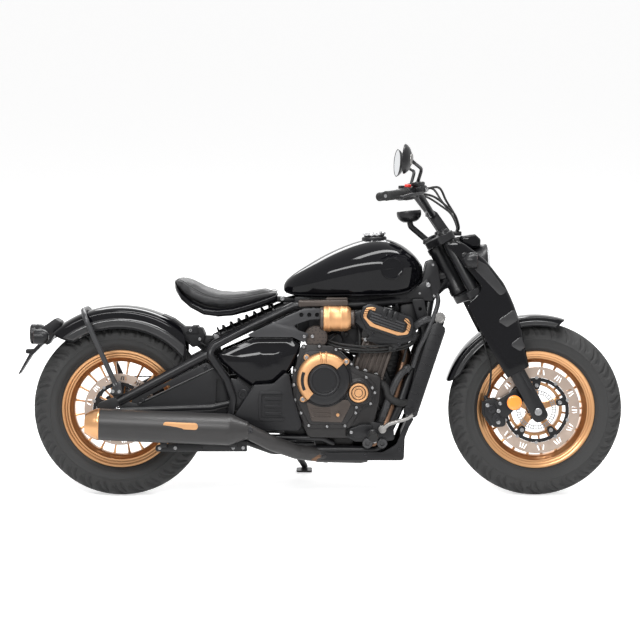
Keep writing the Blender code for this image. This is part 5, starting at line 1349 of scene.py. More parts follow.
@dataclass
class Tail:
    """Behind the rear mudguard: lamp, indicators, plate holder, and the stay that carries it all."""

    lamp_height: float = 0.595
    indicator_y: float = 0.155
    stay_y: float = 0.144
    stay_radius: float = 0.0095

    def build(self) -> None:
        """Makes the bracket, lamps, plate holder and stay."""
        z = self.lamp_height
        bracket = Shape()
        outline = [(-0.292, 0.575), (-0.268, 0.553), (-0.238, 0.6), (-0.214, 0.64), (-0.24, 0.655), (-0.292, 0.618)]
        bracket.plate(rounded(outline, 0.008), -0.045, 0.045, 0.004)
        bracket.plate(
            rounded(
                [(-0.262, 0.583), (-0.286, 0.58), (-0.338, 0.523), (-0.378, 0.45), (-0.374, 0.448), (-0.33, 0.516)],
                0.004,
            ),
            -0.035, 0.035, 0.001,
        )
        bracket.block((-0.352, -0.022, 0.524), (-0.322, 0.022, 0.54), 0.004)
        bracket.turn((-0.27, -0.15, z), (-0.27, 0.15, z), [(0.0085, 0), (0.0085, 0.3)], 20)
        bracket.done("tail_bracket", PLASTIC, "frame", ["tail_lamp_unit"], soft=0.0008)
        lamp = Shape()
        lamp.turn(
            (-0.285, 0, z), (-0.345, 0, z),
            [
                (0.026, 0), (0.034, 0.004), (0.0365, 0.01), (0.037, 0.026), (0.036, 0.028), (0.036, 0.031),
                (0.0372, 0.033), (0.0372, 0.046), (0.034, 0.049),
            ],
            56,
        )
        for side in SIDES.values():
            lamp.turn(
                (-0.256, side * self.indicator_y, z - 0.001), (-0.31, side * self.indicator_y, z - 0.001),
                [(0.012, -0.006), (0.02, 0.0), (0.0255, 0.008), (0.0268, 0.016), (0.0268, 0.042), (0.0262, 0.046)], 48,
            )
        lamp.done("tail_lamp_drums", SATIN_BLACK, "frame", soft=0.0005)
        lens = Shape()
        lens.turn((-0.331, 0, z), (-0.345, 0, z), [(0.0335, 0), (0.0325, 0.004), (0.022, 0.0058), (0.008, 0.0062)], 48)
        for side in SIDES.values():
            lens.turn(
                (-0.3, side * self.indicator_y, z - 0.001), (-0.31, side * self.indicator_y, z - 0.001),
                [(0.0245, 0), (0.0235, 0.004), (0.012, 0.0055)], 40,
            )
        lens.done("tail_lenses", SMOKE_LENS, "frame")
        plate_lamp = Shape()
        plate_lamp.block((-0.346, -0.016, 0.5225), (-0.328, 0.016, 0.5245), 0.0008)
        plate_lamp.done("plate_lamp_lens", CLEAR_LENS, "frame")
        self._front_bracket()
        self._stay()

    def _front_bracket(self) -> None:
        """The bracket that holds the mudguard's front end to the frame, with its lugs and wiring plug."""
        made = Shape()
        made.plate(rounded([
            (0.15, 0.672), (0.196, 0.652), (0.232, 0.624), (0.3, 0.618), (0.312, 0.592), (0.302, 0.562), (0.266, 0.548),
            (0.238, 0.574), (0.196, 0.618), (0.15, 0.652),
        ], 0.008), -0.052, 0.052, 0.004)
        made.plate(rounded([(0.236, 0.6), (0.262, 0.626), (0.284, 0.626), (0.29, 0.6)], 0.004), -0.06, 0.06, 0.002)
        made.plate(
            rounded([(0.27, 0.56), (0.3, 0.535), (0.352, 0.56), (0.34, 0.588), (0.3, 0.59)], 0.006), -0.034, 0.034,
            0.003,
        )
        for y in (-0.048, 0.048):
            made.pipe(
                flowing([(0.292, y, 0.57), (0.318, y * 1.2, 0.556), (0.33, y * 1.3, 0.576), (0.346, y, 0.57)], 6),
                0.0045, 10,
            )
        made.done("mudguard_front_bracket", PLASTIC, "frame", soft=0.0006)
        bolts = Shape()
        for side in SIDES.values():
            for x, z in ((0.258, 0.612), (0.292, 0.58)):
                bolts.bolt((x, side * 0.052, z), (0, side, 0), 0.006, 0.01)
        bolts.done("mudguard_bracket_bolts", ZINC, "frame", soft=0.0003)

    def _stay(self) -> None:
        """The hoop from the axle plates over the mudguard's crown, with its socket bolts."""
        y = self.stay_y
        crown = 0.379 + self.stay_radius * 0.75
        top = (crown * math.cos(math.radians(110)), REAR_AXLE_HEIGHT + crown * math.sin(math.radians(110)))
        stay = Shape()
        stay.pipe(bent([
            (-0.006, -y, 0.412), (-0.12, -y, 0.664), (top[0], -0.078, top[1]), (top[0], 0.078, top[1]),
            (-0.12, y, 0.664), (-0.006, y, 0.412),
        ], 0.04, 8), self.stay_radius, 18)
        for side in SIDES.values():
            outline = rounded([(-0.032, 0.383), (0.016, 0.383), (0.01, 0.424), (-0.012, 0.434)], 0.006)
            stay.plate(outline, side * 0.1373, side * (y + 0.004), 0.0015)
        stay.done("mudguard_hoop", DARK_GREY, "frame", ["mudguard_stay"])
        bolts = Shape()
        for side in SIDES.values():
            for x, z in ((-0.011, 0.421), (-0.019, 0.395), (0.004, 0.394)):
                bolts.bolt((x, side * (y + 0.0035), z), (0, side, 0), 0.0062, 0.0055)
        bolts.done("hoop_bolts", ZINC, "frame", soft=0.0004)


@dataclass
class Chassis:
    """The welded frame, the swingarm with its axle, and the coil-over unit under the seat."""

    tube: float = 0.0165
    arm_y: float = 0.132
    arm_tube: float = 0.0175
    panel_y: float = 0.158
    shock_start: tuple = (0.345, 0.0, 0.582)
    shock_end: tuple = (0.612, 0.0, 0.7)

    def build(self) -> None:
        """Makes all of the chassis."""
        self._tubes()
        self._panels()
        self._swingarm()
        self._axle()
        self._shock()

    def _tubes(self) -> None:
        """The backbone, both loops, the cross tubes and the head tube."""
        fork = STANCE.fork_to_machine
        frame_tubes = Shape()
        frame_tubes.pipe(bent([fork @ Vector((-0.015, 0, 0.59)), (0.98, 0, 0.792), (0.6, 0, 0.705)], 0.1, 8), 0.025, 24)
        for side in SIDES.values():
            route = [
                fork @ Vector((-0.02, side * 0.012, 0.56)), (1.08, side * 0.038, 0.728), (0.9, side * 0.09, 0.708),
                (0.64, side * 0.1, 0.703), (0.316, side * 0.1, 0.548), (0.345, side * 0.058, 0.475),
                (0.425, side * 0.058, 0.372), (0.437, side * 0.058, 0.215), (0.56, side * 0.115, 0.178),
                (0.95, side * 0.115, 0.178), (1.02, side * 0.11, 0.33), (1.11, side * 0.07, 0.59),
                fork @ Vector((-0.104, side * 0.042, 0.548)), fork @ Vector((-0.022, side * 0.012, 0.568)),
            ]
            frame_tubes.pipe(bent(route, 0.045, 7), self.tube, 22)
            loop = [
                (0.47, side * 0.104, 0.621), (0.35, side * 0.15, 0.56), (0.331, side * 0.163, 0.532),
                (0.396, side * 0.165, 0.435), (0.419, side * 0.165, 0.37), (0.408, side * 0.16, 0.296),
                (0.428, side * 0.11, 0.24), (0.437, side * 0.062, 0.216),
            ]
            frame_tubes.pipe(bent(loop, 0.04, 7), 0.0135, 20)
            frame_tubes.pipe(
                bent(
                    [
                        (0.437, side * 0.058, 0.245), (0.47, side * 0.128, 0.227), (0.74, side * 0.128, 0.222),
                        (0.78, side * 0.11, 0.2),
                    ],
                    0.03, 6,
                ),
                0.012, 18,
            )
        for x, z, half in ((0.63, 0.7, 0.1), (0.43, 0.372, 0.115), (0.56, 0.182, 0.115), (0.94, 0.182, 0.115)):
            frame_tubes.turn((x, -half, z), (x, half, z), [(0.014, 0), (0.014, 2 * half)], 22)
        low, high = fork @ Vector((0, 0, 0.5068)), fork @ Vector((0, 0, 0.7012))
        tall = (high - low).length
        frame_tubes.turn(low, high, [
            (0.016, 0), (0.031, 0), (0.034, 0.003), (0.034, 0.02), (0.031, 0.024), (0.031, tall - 0.024),
            (0.034, tall - 0.02), (0.034, tall - 0.003), (0.031, tall), (0.016, tall),
        ], 40, closed=True)
        frame_tubes.done("frame_tubes", FRAME_BLACK, "frame", ["main_frame"])

    def _panels(self) -> None:
        """The drilled upper panels, the pivot plates and the stand's bracket."""
        outline = rounded([
            (0.467, 0.601), (0.559, 0.644), (0.675, 0.697, 0.02), (0.744, 0.697), (0.744, 0.659), (0.696, 0.657, 0.03),
            (0.635, 0.636, 0.006), (0.655, 0.618), (0.693, 0.606), (0.675, 0.573), (0.635, 0.593, 0.02), (0.483, 0.594),
        ], 0.006)
        panels, plates, bolts = Shape(), Shape(), Shape()
        for side in SIDES.values():
            panel = Shape()
            panel.plate(outline, side * self.panel_y, side * (self.panel_y + 0.008), 0.0014)
            for x in (0.665, 0.694, 0.722):
                panel.cut(Shape().turn(
                    (x, side * 0.15, 0.674), (x, side * 0.18, 0.674), [(0.0078, 0), (0.0078, 0.04)], 32,
                ))
            panels.take(panel.mesh)
            for x, z in ((0.56, 0.622), (0.708, 0.69)):
                panels.turn((x, side * 0.096, z), (x, side * 0.16, z), [(0.01, 0), (0.01, 0.064)], 20)
            for x, z, size in ((0.676, 0.596, 0.0062), (0.705, 0.596, 0.0062)):
                bolts.bolt((x, side * (self.panel_y + 0.004), z), (0, side, 0), size, 0.009)
            outer = rounded([(0.4, 0.33), (0.5, 0.33), (0.505, 0.425), (0.44, 0.45), (0.395, 0.4)], 0.01)
            plates.plate(outer, side * 0.109, side * 0.125, 0.002)
            for x, z in ((0.488, 0.345), (0.492, 0.412)):
                plates.turn((x, side * 0.115, z), (x, side * 0.1517, z), [(0.008, 0), (0.008, 0.0367)], 16)
            plates.plate(
                rounded(
                    [
                        (0.404, 0.446), (0.43, 0.44), (0.482, 0.398), (0.484, 0.378), (0.432, 0.322), (0.418, 0.33),
                        (0.424, 0.372),
                    ],
                    0.008,
                ),
                side * 0.148, side * 0.156, 0.002,
            )
            plates.across(0.454, 0.385, side * 0.11, side, [(0.012, 0.0), (0.012, 0.04)], 24)
            plates.across(
                0.454, 0.385, side * 0.155, side,
                [(0.0185, 0), (0.0185, 0.005), (0.017, 0.0065), (0.0105, 0.0065), (0.0095, 0.002)], 36,
            )
            plates.plate(
                rounded([(0.6, 0.212), (0.7, 0.216), (0.7, 0.31), (0.64, 0.33), (0.6, 0.3)], 0.008), side * 0.06,
                side * 0.1, 0.004,
            )
        panels.done("frame_side_panels", DARK_GREY, "frame")
        plates.done("frame_pivot_plates", FRAME_BLACK, "frame")
        bolts.done("frame_panel_bolts", ZINC, "frame", soft=0.0004)

    def _swingarm(self) -> None:
        """Both legs with their side plates, and the brace between them."""
        arm, bolts = Shape(), Shape()
        for side in SIDES.values():
            y = side * self.arm_y
            arm.pipe(bent([(0.0, y, 0.356), (0.322, y, 0.528), (0.35, y, 0.505)], 0.02, 6), self.arm_tube, 22)
            arm.pipe([(-0.01, y, 0.323), (0.34, y, 0.335), (0.462, side * 0.1355, 0.366)], [0.016, 0.016, 0.014], 22)
            web = Shape()
            outline = rounded(
                [
                    (0.04, 0.306), (0.05, 0.366), (0.322, 0.5, 0.012), (0.385, 0.462, 0.014), (0.404, 0.38, 0.012),
                    (0.398, 0.296, 0.012),
                ],
                0.006,
            )
            web.plate(outline, y - 0.004, y + 0.004, 0.001)
            slot = rounded([(0.107, 0.365), (0.183, 0.404), (0.189, 0.414), (0.181, 0.417), (0.103, 0.375)], 0.004)
            gap = rounded([(0.352, 0.345), (0.368, 0.345), (0.37, 0.44), (0.356, 0.44)], 0.006)
            for hole in (slot, gap):
                web.cut(Shape().plate(hole, y - 0.02, y + 0.02))
            arm.take(web.mesh)
            arm.plate([(0.344, 0.336), (0.38, 0.336), (0.382, 0.45), (0.348, 0.45)], y - side * 0.014, y - side * 0.011)
            arm.pipe([(0.075, y + side * 0.004, 0.35), (0.345, y + side * 0.004, 0.478)], 0.0035, 8)
            end = rounded([(-0.075, 0.3), (0.075, 0.3), (0.075, 0.346), (-0.02, 0.372), (-0.075, 0.35)], 0.014)
            arm.plate(end, y - 0.006, y + 0.006, 0.0015)
            arm.plate(
                rounded([(-0.016, 0.35), (0.018, 0.35), (0.012, 0.405), (-0.004, 0.42), (-0.022, 0.405)], 0.006),
                y - 0.005, y + 0.005, 0.001,
            )
            for x, z in ((0.089, 0.362), (0.318, 0.48)):
                bolts.bolt((x, y + side * 0.004, z), (0, side, 0), 0.0075, 0.006)
        arm.turn((0.362, -self.arm_y, 0.5), (0.362, self.arm_y, 0.5), [(0.0145, 0), (0.0145, 2 * self.arm_y)], 22)
        arm.plate(rounded([(0.34, 0.5), (0.375, 0.5), (0.358, 0.59), (0.338, 0.586)], 0.008), -0.012, 0.012, 0.002)
        arm.done("swingarm_weldment", FRAME_BLACK, "frame", ["swingarm"])
        bolts.done("swingarm_bolts", BLACK_BOLT, "frame", soft=0.0004)

    def _axle(self) -> None:
        """The rear axle with its nuts and the chain-style adjusters at the arm's ends."""
        axle = Shape()
        z = REAR_AXLE_HEIGHT
        axle.turn((0, -0.132, z), (0, 0.132, z), [(0.01, 0), (0.01, 0.264)], 24)
        for side in SIDES.values():
            y = side * 0.138
            axle.turn((0, y, z), (0, y + side, z), [(0.0165, 0), (0.0165, 0.002)], 28)
            axle.turn(
                (0, y, z), (0, y + side, z),
                [(0.0145, 0.002), (0.0145, 0.011), (0.0125, 0.0135), (0.007, 0.0135), (0.007, 0.0155), (0.006, 0.016)],
                6,
            )
            axle.bolt((-0.075, side * self.arm_y, 0.325), (-1, 0, 0), 0.0055, 0.006, hexed=True)
        axle.done("rear_axle", CHROME, "frame", soft=0.0004)

    def _shock(self) -> None:
        """The coil-over unit: damper body, perches and an open spring."""
        start, end = Vector(self.shock_start), Vector(self.shock_end)
        way = (end - start).normalized()
        long = (end - start).length
        body = Shape()
        body.turn(
            start, end,
            [
                (0.012, -0.006), (0.016, 0.0), (0.016, 0.018), (0.0325, 0.02), (0.0325, 0.025), (0.02, 0.027),
                (0.02, long - 0.06), (0.0325, long - 0.056), (0.0325, long - 0.047), (0.022, long - 0.045),
                (0.022, long - 0.012), (0.014, long),
            ],
            40,
        )
        body.done("shock_body", SATIN_BLACK, "frame", ["shock_absorber"], soft=0.0006)
        turn = towards(start, end)
        first, last, turns = 0.029, long - 0.06, 6.5
        route = []
        for k in range(int(turns * 24) + 1):
            a = math.tau * k / 24
            route.append(turn @ Vector((
                0.0272 * math.cos(a), 0.0272 * math.sin(a), first + (last - first) * k / (turns * 24),
            )))
        spring = Shape()
        spring.pipe(route, 0.0052, 10)
        spring.done("shock_spring", SATIN_BLACK, "frame")
        caps = Shape()
        for at in (start + way * 0.006, end - way * 0.006):
            for side in SIDES.values():
                caps.turn(at, at + Vector((0, side, 0)), [(0.013, 0.008), (0.013, 0.015), (0.011, 0.017)], 24)
        caps.done("shock_bushes", ZINC, "frame", soft=0.0004)


@dataclass
class SideCovers:
    """The glossy side covers and the moulded covers over the swingarm pivot."""

    cover: tuple = (
        (0.357, 0.53), (0.492, 0.588, 0.05), (0.63, 0.588, 0.03), (0.664, 0.566), (0.656, 0.535), (0.63, 0.48, 0.04),
        (0.58, 0.432, 0.03), (0.54, 0.414), (0.484, 0.414), (0.446, 0.44), (0.372, 0.502),
    )
    pivot: tuple = (
        (0.493, 0.421), (0.564, 0.426), (0.607, 0.466), (0.622, 0.458), (0.635, 0.386), (0.668, 0.274), (0.655, 0.254),
        (0.493, 0.254), (0.427, 0.3), (0.427, 0.318),
    )

    def build(self) -> None:
        """Makes both covers on both sides."""
        for word, side in SIDES.items():
            self._cover(word, side)
            self._pivot(word, side)

    def _cover(self, word: str, side: int) -> None:
        """One crowned side cover.

        Args:
            word: The side's name.
            side: Its sign on Y.
        """
        outline = rounded(self.cover, 0.014, 6)
        middle = Vector((sum(p[0] for p in outline), sum(p[1] for p in outline))) / len(outline)
        rings = []
        for y, shrink in (
            (0.118, 0.0), (0.142, 0.0), (0.1475, 0.01), (0.1515, 0.035),
            *((0.1515 + 0.0185 * math.sin(t * 0.19), 0.035 + 0.115 * t) for t in range(1, 9)),
        ):
            ring = []
            for x, z in outline:
                q = Vector((x, z)).lerp(middle, shrink)
                fold = max(0.0, q.y - 0.52 - 0.06 * (q.x - 0.36)) * 0.22 * min(1.0, shrink * 12)
                ring.append((q.x, side * (y - fold), q.y))
            rings.append(ring)
        made = Shape()
        made.loft(rings)
        made.done(f"side_cover_shell_{word}", GLOSS_BLACK, "frame", [f"side_cover_{word}"], sharp=80)

    def _pivot(self, word: str, side: int) -> None:
        """One moulded pivot cover with its surround and three plain bars.

        Args:
            word: The side's name.
            side: Its sign on Y.
        """
        made = Shape()

        def slab(outline: Profile, near: float, far: float, soft: float) -> None:
            """One layer of the moulding, from |y| near to far."""
            made.plate(outline, side * near, side * far, soft)

        slab(rounded(self.pivot, 0.01, 5), 0.152, 0.176, 0.006)
        window = Shape()
        window.plate(
            rounded([(0.51, 0.29), (0.606, 0.29), (0.596, 0.398), (0.51, 0.398)], 0.014, 5), side * 0.17, side * 0.1815,
            0.0015,
        )
        window.cut(Shape().plate(
            rounded([(0.521, 0.301), (0.63, 0.301), (0.63, 0.387), (0.521, 0.387)], 0.006), side * 0.174, side * 0.19,
        ))
        made.take(window.mesh)
        for z in (0.317, 0.344, 0.371):
            slab(
                rounded([(0.533, z - 0.0055), (0.592, z - 0.0055), (0.592, z + 0.0055), (0.533, z + 0.0055)], 0.002),
                0.174, 0.1812, 0.001,
            )
        made.done(f"pivot_cover_shell_{word}", PLASTIC, "frame", [f"pivot_cover_{word}"])


@dataclass
class Fork:
    """The front end below the bars, in the fork's own frame: legs, clamps, shrouds, caliper and hoses."""

    x: float = FORK_OFFSET
    y: float = FORK_HALF_SPACING
    lower_clamp: float = 0.476
    upper_clamp: float = 0.702
    clamp: float = 0.03
    inner_y: float = 0.079
    wall: float = 0.004
    disc_y: float = -0.07
    # height, rear edge x, front edge x, outer side |y|, corner radius
    cover: tuple = (
        (0.162, 0.004, 0.094, 0.146, 0.016), (0.196, 0.001, 0.103, 0.1475, 0.02), (0.232, -0.001, 0.113, 0.149, 0.024),
        (0.27, -0.002, 0.126, 0.15, 0.026), (0.305, -0.002, 0.135, 0.1505, 0.028),
        (0.345, -0.002, 0.143, 0.1505, 0.028), (0.385, -0.002, 0.149, 0.1505, 0.028),
        (0.425, -0.001, 0.152, 0.1505, 0.026), (0.462, 0.0, 0.153, 0.15, 0.026), (0.474, 0.02, 0.1525, 0.15, 0.024),
        (0.484, 0.06, 0.151, 0.15, 0.024), (0.5, 0.076, 0.148, 0.15, 0.022), (0.54, 0.069, 0.141, 0.15, 0.022),
        (0.58, 0.06, 0.132, 0.15, 0.022), (0.62, 0.053, 0.115, 0.15, 0.02), (0.66, 0.045, 0.096, 0.1495, 0.016),
        (0.69, 0.03, 0.075, 0.148, 0.012),
    )

    def build(self) -> None:
        """Makes all of the fork."""
        self._legs()
        self._clamps()
        for word, side in SIDES.items():
            self._shroud(word, side)
        self._indicators()
        self._caliper()
        self._hoses()

    def _legs(self) -> None:
        """Tubes, sliders and the axle."""
        tubes, sliders, axle = Shape(STANCE.fork), Shape(STANCE.fork), Shape(STANCE.fork)
        for side in SIDES.values():
            y = side * self.y
            tubes.turn((self.x, y, 0), (self.x, y, 1), [(0.0215, 0.2), (0.0215, 0.74), (0.019, 0.744)], 36)
            tubes.turn(
                (self.x, y, 0), (self.x, y, 1), [(0.0305, 0.3), (0.0325, 0.306), (0.0325, 0.318), (0.0285, 0.324)], 40,
            )
            sliders.turn((self.x, y, 0), (self.x, y, 1), [
                (0.014, -0.04), (0.022, -0.036), (0.025, -0.026), (0.026, 0.02), (0.0265, 0.036), (0.029, 0.06),
                (0.029, 0.176), (0.0305, 0.18), (0.0305, 0.19), (0.029, 0.194), (0.029, 0.3),
            ], 48)
            sliders.across(
                self.x, 0, side * 0.066, side, [(0.0185, 0), (0.0205, 0.002), (0.0205, 0.064), (0.0185, 0.067)], 40,
            )
            sliders.plate(
                rounded(
                    [(self.x - 0.029, -0.038), (self.x + 0.029, -0.038), (self.x + 0.029, 0.3), (self.x - 0.029, 0.3)],
                    0.02, 7,
                ),
                side * 0.104, side * 0.1365, 0.007,
            )
            sliders.plate(
                rounded(
                    [(self.x + 0.01, 0.095), (self.x + 0.018, 0.07), (self.x + 0.018, 0.29), (self.x + 0.01, 0.29)],
                    0.003,
                ),
                side * 0.136, side * 0.1382, 0.0008,
            )
            for z in (-0.012, 0.012):
                sliders.bolt((self.x - 0.029, y, z), (-1, 0, 0), 0.0045, 0.006)
            axle.across(
                self.x, 0, side * 0.136, side,
                [(0.0135, 0), (0.0135, 0.005), (0.0115, 0.007), (0.0075, 0.007), (0.007, 0.003)], 32,
            )
        axle.turn((self.x, -self.y, 0), (self.x, self.y, 0), [(0.01, 0), (0.01, 2 * self.y)], 24)
        tubes.done("fork_tubes", SATIN_BLACK, "front_end", ["front_fork"], soft=0.0005)
        sliders.done("fork_sliders", SATIN_BLACK, "front_end", soft=0.0006)
        axle.done("front_axle", ZINC, "front_end", soft=0.0004)

    def _clamps(self) -> None:
        """Both clamps, the stem and its nut."""
        clamps, nuts = Shape(STANCE.fork), Shape(STANCE.fork)
        reach = self.y + 0.032
        plan = rounded([
            (-0.03, -0.03), (self.x - 0.03, -reach), (self.x + 0.032, -reach), (self.x + 0.028, 0.0),
            (self.x + 0.032, reach), (self.x - 0.03, reach), (-0.03, 0.03),
        ], 0.024, 8)
        for z in (self.lower_clamp, self.upper_clamp):
            clamps.loft([[(px, py, pz) for px, py in plan] for pz in (z, z + self.clamp)])
            for side in SIDES.values():
                nuts.bolt((self.x - 0.028, side * (self.y - 0.02), z + self.clamp / 2), (-1, 0, 0), 0.006, 0.006)
        clamps.turn((0, 0, 0.48), (0, 0, 1), [(0.015, 0), (0.015, 0.262)], 30)
        for side in SIDES.values():
            nuts.turn(
                (self.x, side * self.y, 0.7385), (self.x, side * self.y, 1),
                [(0.019, 0), (0.019, 0.004), (0.017, 0.006)], 36,
            )
            nuts.turn(
                (self.x, side * self.y, 0.7385), (self.x, side * self.y, 1),
                [(0.011, 0.004), (0.011, 0.009), (0.009, 0.01)], 6,
            )
        nuts.turn((0, 0, 0.732), (0, 0, 1), [(0.021, 0), (0.021, 0.007), (0.018, 0.01), (0.006, 0.012)], 8)
        clamps.done("fork_clamps", SATIN_BLACK, "front_end", soft=0.003)
        nuts.done("fork_clamp_bolts", BLACK_BOLT, "front_end", soft=0.0004)

    def _shroud(self, word: str, side: int) -> None:
        """One long shroud: a skin open to the rear.

        Args:
            word: The side's name.
            side: Its sign on Y.
        """
        rows = []
        for z, rear, front, outer, soft in self.cover:
            soft = min(soft, (front - rear) * 0.4)
            row = [
                (rear, outer - 0.001), (rear + (front - soft - rear) * 0.33, outer),
                (rear + (front - soft - rear) * 0.66, outer),
            ]
            for k in range(9):
                a = math.radians(90 * k / 8)
                row.append((front - soft + soft * math.sin(a), outer - soft + soft * math.cos(a)))
            for k in range(9):
                a = math.radians(90 * k / 8)
                row.append((front - soft + soft * math.cos(a), self.inner_y + soft - soft * math.sin(a)))
            row += [(front - soft - 0.01, self.inner_y), (front - soft - 0.02, self.inner_y)]
            rows.append([(px, side * py, z) for px, py in row])
        skin = Shape(STANCE.fork)
        skin.sheet(rows, outside=(0.3, side * 1.0, 0.0))
        made = skin.done(f"fork_shroud_{word}", GLOSS_BLACK, "front_end", [f"fork_cover_{word}"], sharp=50)
        walled(made, self.wall, WALL_BEVEL, 50)
        # The steps are raised plates. Their lighter gloss black is a painted highlight, since the shroud has one paint.
        steps = Shape(STANCE.fork)
        for pz, front in ((0.352, 0.14), (0.2535, 0.117)):
            steps.plate(
                rounded(
                    [(0.066, pz + 0.012), (front, pz + 0.022), (front - 0.004, pz - 0.02), (0.088, pz - 0.026)], 0.008,
                    5,
                ),
                side * 0.149, side * 0.1535, 0.0035,
            )
        steps.plate(
            rounded(
                [(0.08, 0.64), (0.128, 0.56), (0.146, 0.44), (0.118, 0.44), (0.088, 0.545), (0.062, 0.64)], 0.01, 5,
            ),
            side * 0.149, side * 0.152, 0.0025,
        )
        steps.done(f"fork_shroud_steps_{word}", PAINTED_SHEEN_BLACK, "front_end", sharp=30)

    def _indicators(self) -> None:
        """The drum-shaped front indicators on their stalks, level with the machine."""
        drums, lenses = Shape(), Shape()
        fork = STANCE.fork_to_machine
        for side in SIDES.values():
            at = fork @ Vector((0.082, side * 0.166, 0.603))
            root = fork @ Vector((0.084, side * 0.143, 0.6))
            drums.pipe([root, at], 0.0095, 18)
            front = at + Vector((1, 0, 0))
            drums.turn(
                at, front,
                [
                    (0.01, -0.028), (0.02, -0.022), (0.0275, -0.012), (0.03, 0.0), (0.03, 0.018), (0.029, 0.0195),
                    (0.029, 0.0215), (0.03, 0.023),
                ],
                56,
            )
            lenses.turn(at, front, [(0.0272, 0.02), (0.0268, 0.0235), (0.018, 0.0258), (0.006, 0.0262)], 48)
        drums.done("front_indicator_drums", SATIN_BLACK, "front_end", soft=0.0005)
        lenses.done("front_indicator_lenses", SMOKE_LENS, "front_end")

    def _caliper(self) -> None:
        """The caliper over the disc, its bracket, and the round reflector on the leg."""
        y = self.disc_y
        body = Shape(STANCE.fork)
        outline = rounded(
            [(-0.125, 0.022), (-0.082, 0.002), (-0.06, 0.06), (-0.066, 0.112), (-0.11, 0.128), (-0.13, 0.08)], 0.014,
        )
        for low, high in ((y - 0.032, y - 0.0055), (y + 0.0055, y + 0.018)):
            body.plate(outline, low, high, 0.003)
        bridge = rounded(
            [(-0.134, 0.03), (-0.124, 0.028), (-0.128, 0.08), (-0.11, 0.12), (-0.117, 0.126), (-0.138, 0.084)], 0.004,
        )
        body.plate(bridge, y - 0.028, y + 0.015, 0.002)
        body.plate(
            rounded([(-0.09, 0.06), (-0.07, 0.03), (0.03, 0.06), (0.03, 0.11), (-0.08, 0.1)], 0.01), -0.104, y - 0.0135,
            0.002,
        )
        body.done("front_caliper", SATIN_BLACK, "front_end", soft=0.0006)
        pins = Shape(STANCE.fork)
        for px, pz in ((-0.1, 0.03), (-0.106, 0.104), (-0.08, 0.066)):
            pins.bolt((px, y - 0.032, pz), (0, -1, 0), 0.0075, 0.005)
        pins.bolt((-0.062, -0.104, 0.088), (0, -1, 0), 0.0065, 0.004)
        pins.done("front_caliper_pins", ZINC, "front_end", soft=0.0004)
        bolts = Shape(STANCE.fork)
        for px, pz in ((-0.098, 0.048), (-0.098, 0.084)):
            bolts.across(
                px, pz, y - 0.031, -1, [(0.015, 0), (0.015, 0.005), (0.013, 0.0065), (0.006, 0.0065), (0.005, 0.004)],
                36,
            )
        bolts.turn((-0.098, y - 0.02, 0.122), (-0.104, y - 0.02, 0.2), [(0.007, 0), (0.007, 0.012), (0.005, 0.016)], 16)
        bolts.done("front_caliper_bolts", BLACK_BOLT, "front_end", soft=0.0004)
        spot = STANCE.fork_to_machine.inverted() @ Vector((1.439, 0, 0.353))
        base, lens = Shape(STANCE.fork), Shape(STANCE.fork)
        base.across(spot.x, spot.z, -0.11, -1, [(0.012, 0.0), (0.012, 0.02), (0.0285, 0.022), (0.0285, 0.028)], 48)
        lens.across(
            spot.x, spot.z, -0.1375, -1, [(0.0268, 0.0), (0.0268, 0.0035), (0.024, 0.0052), (0.012, 0.0062)], 48,
        )
        base.done("reflector_base", SATIN_BLACK, "front_end", soft=0.0005)
        # Its amber finish glows a little. This is painted light, as the reflector is no lamp.
        lens.done("reflector_lens", AMBER, "front_end")

    def _hoses(self) -> None:
        """The brake hose down the right leg to the caliper."""
        hose = Shape(STANCE.fork)
        hose.pipe(flowing([
            (0.066, -0.06, 0.7), (0.062, -0.066, 0.64), (0.058, -0.068, 0.56), (0.044, -0.075, 0.47),
            (0.01, -0.076, 0.38), (-0.012, -0.078, 0.3), (-0.03, -0.084, 0.22), (-0.066, -0.088, 0.16),
            (-0.098, -0.088, 0.126),
        ], 8), 0.0038, 12)
        hose.done("front_brake_hose", RUBBER, "front_end")


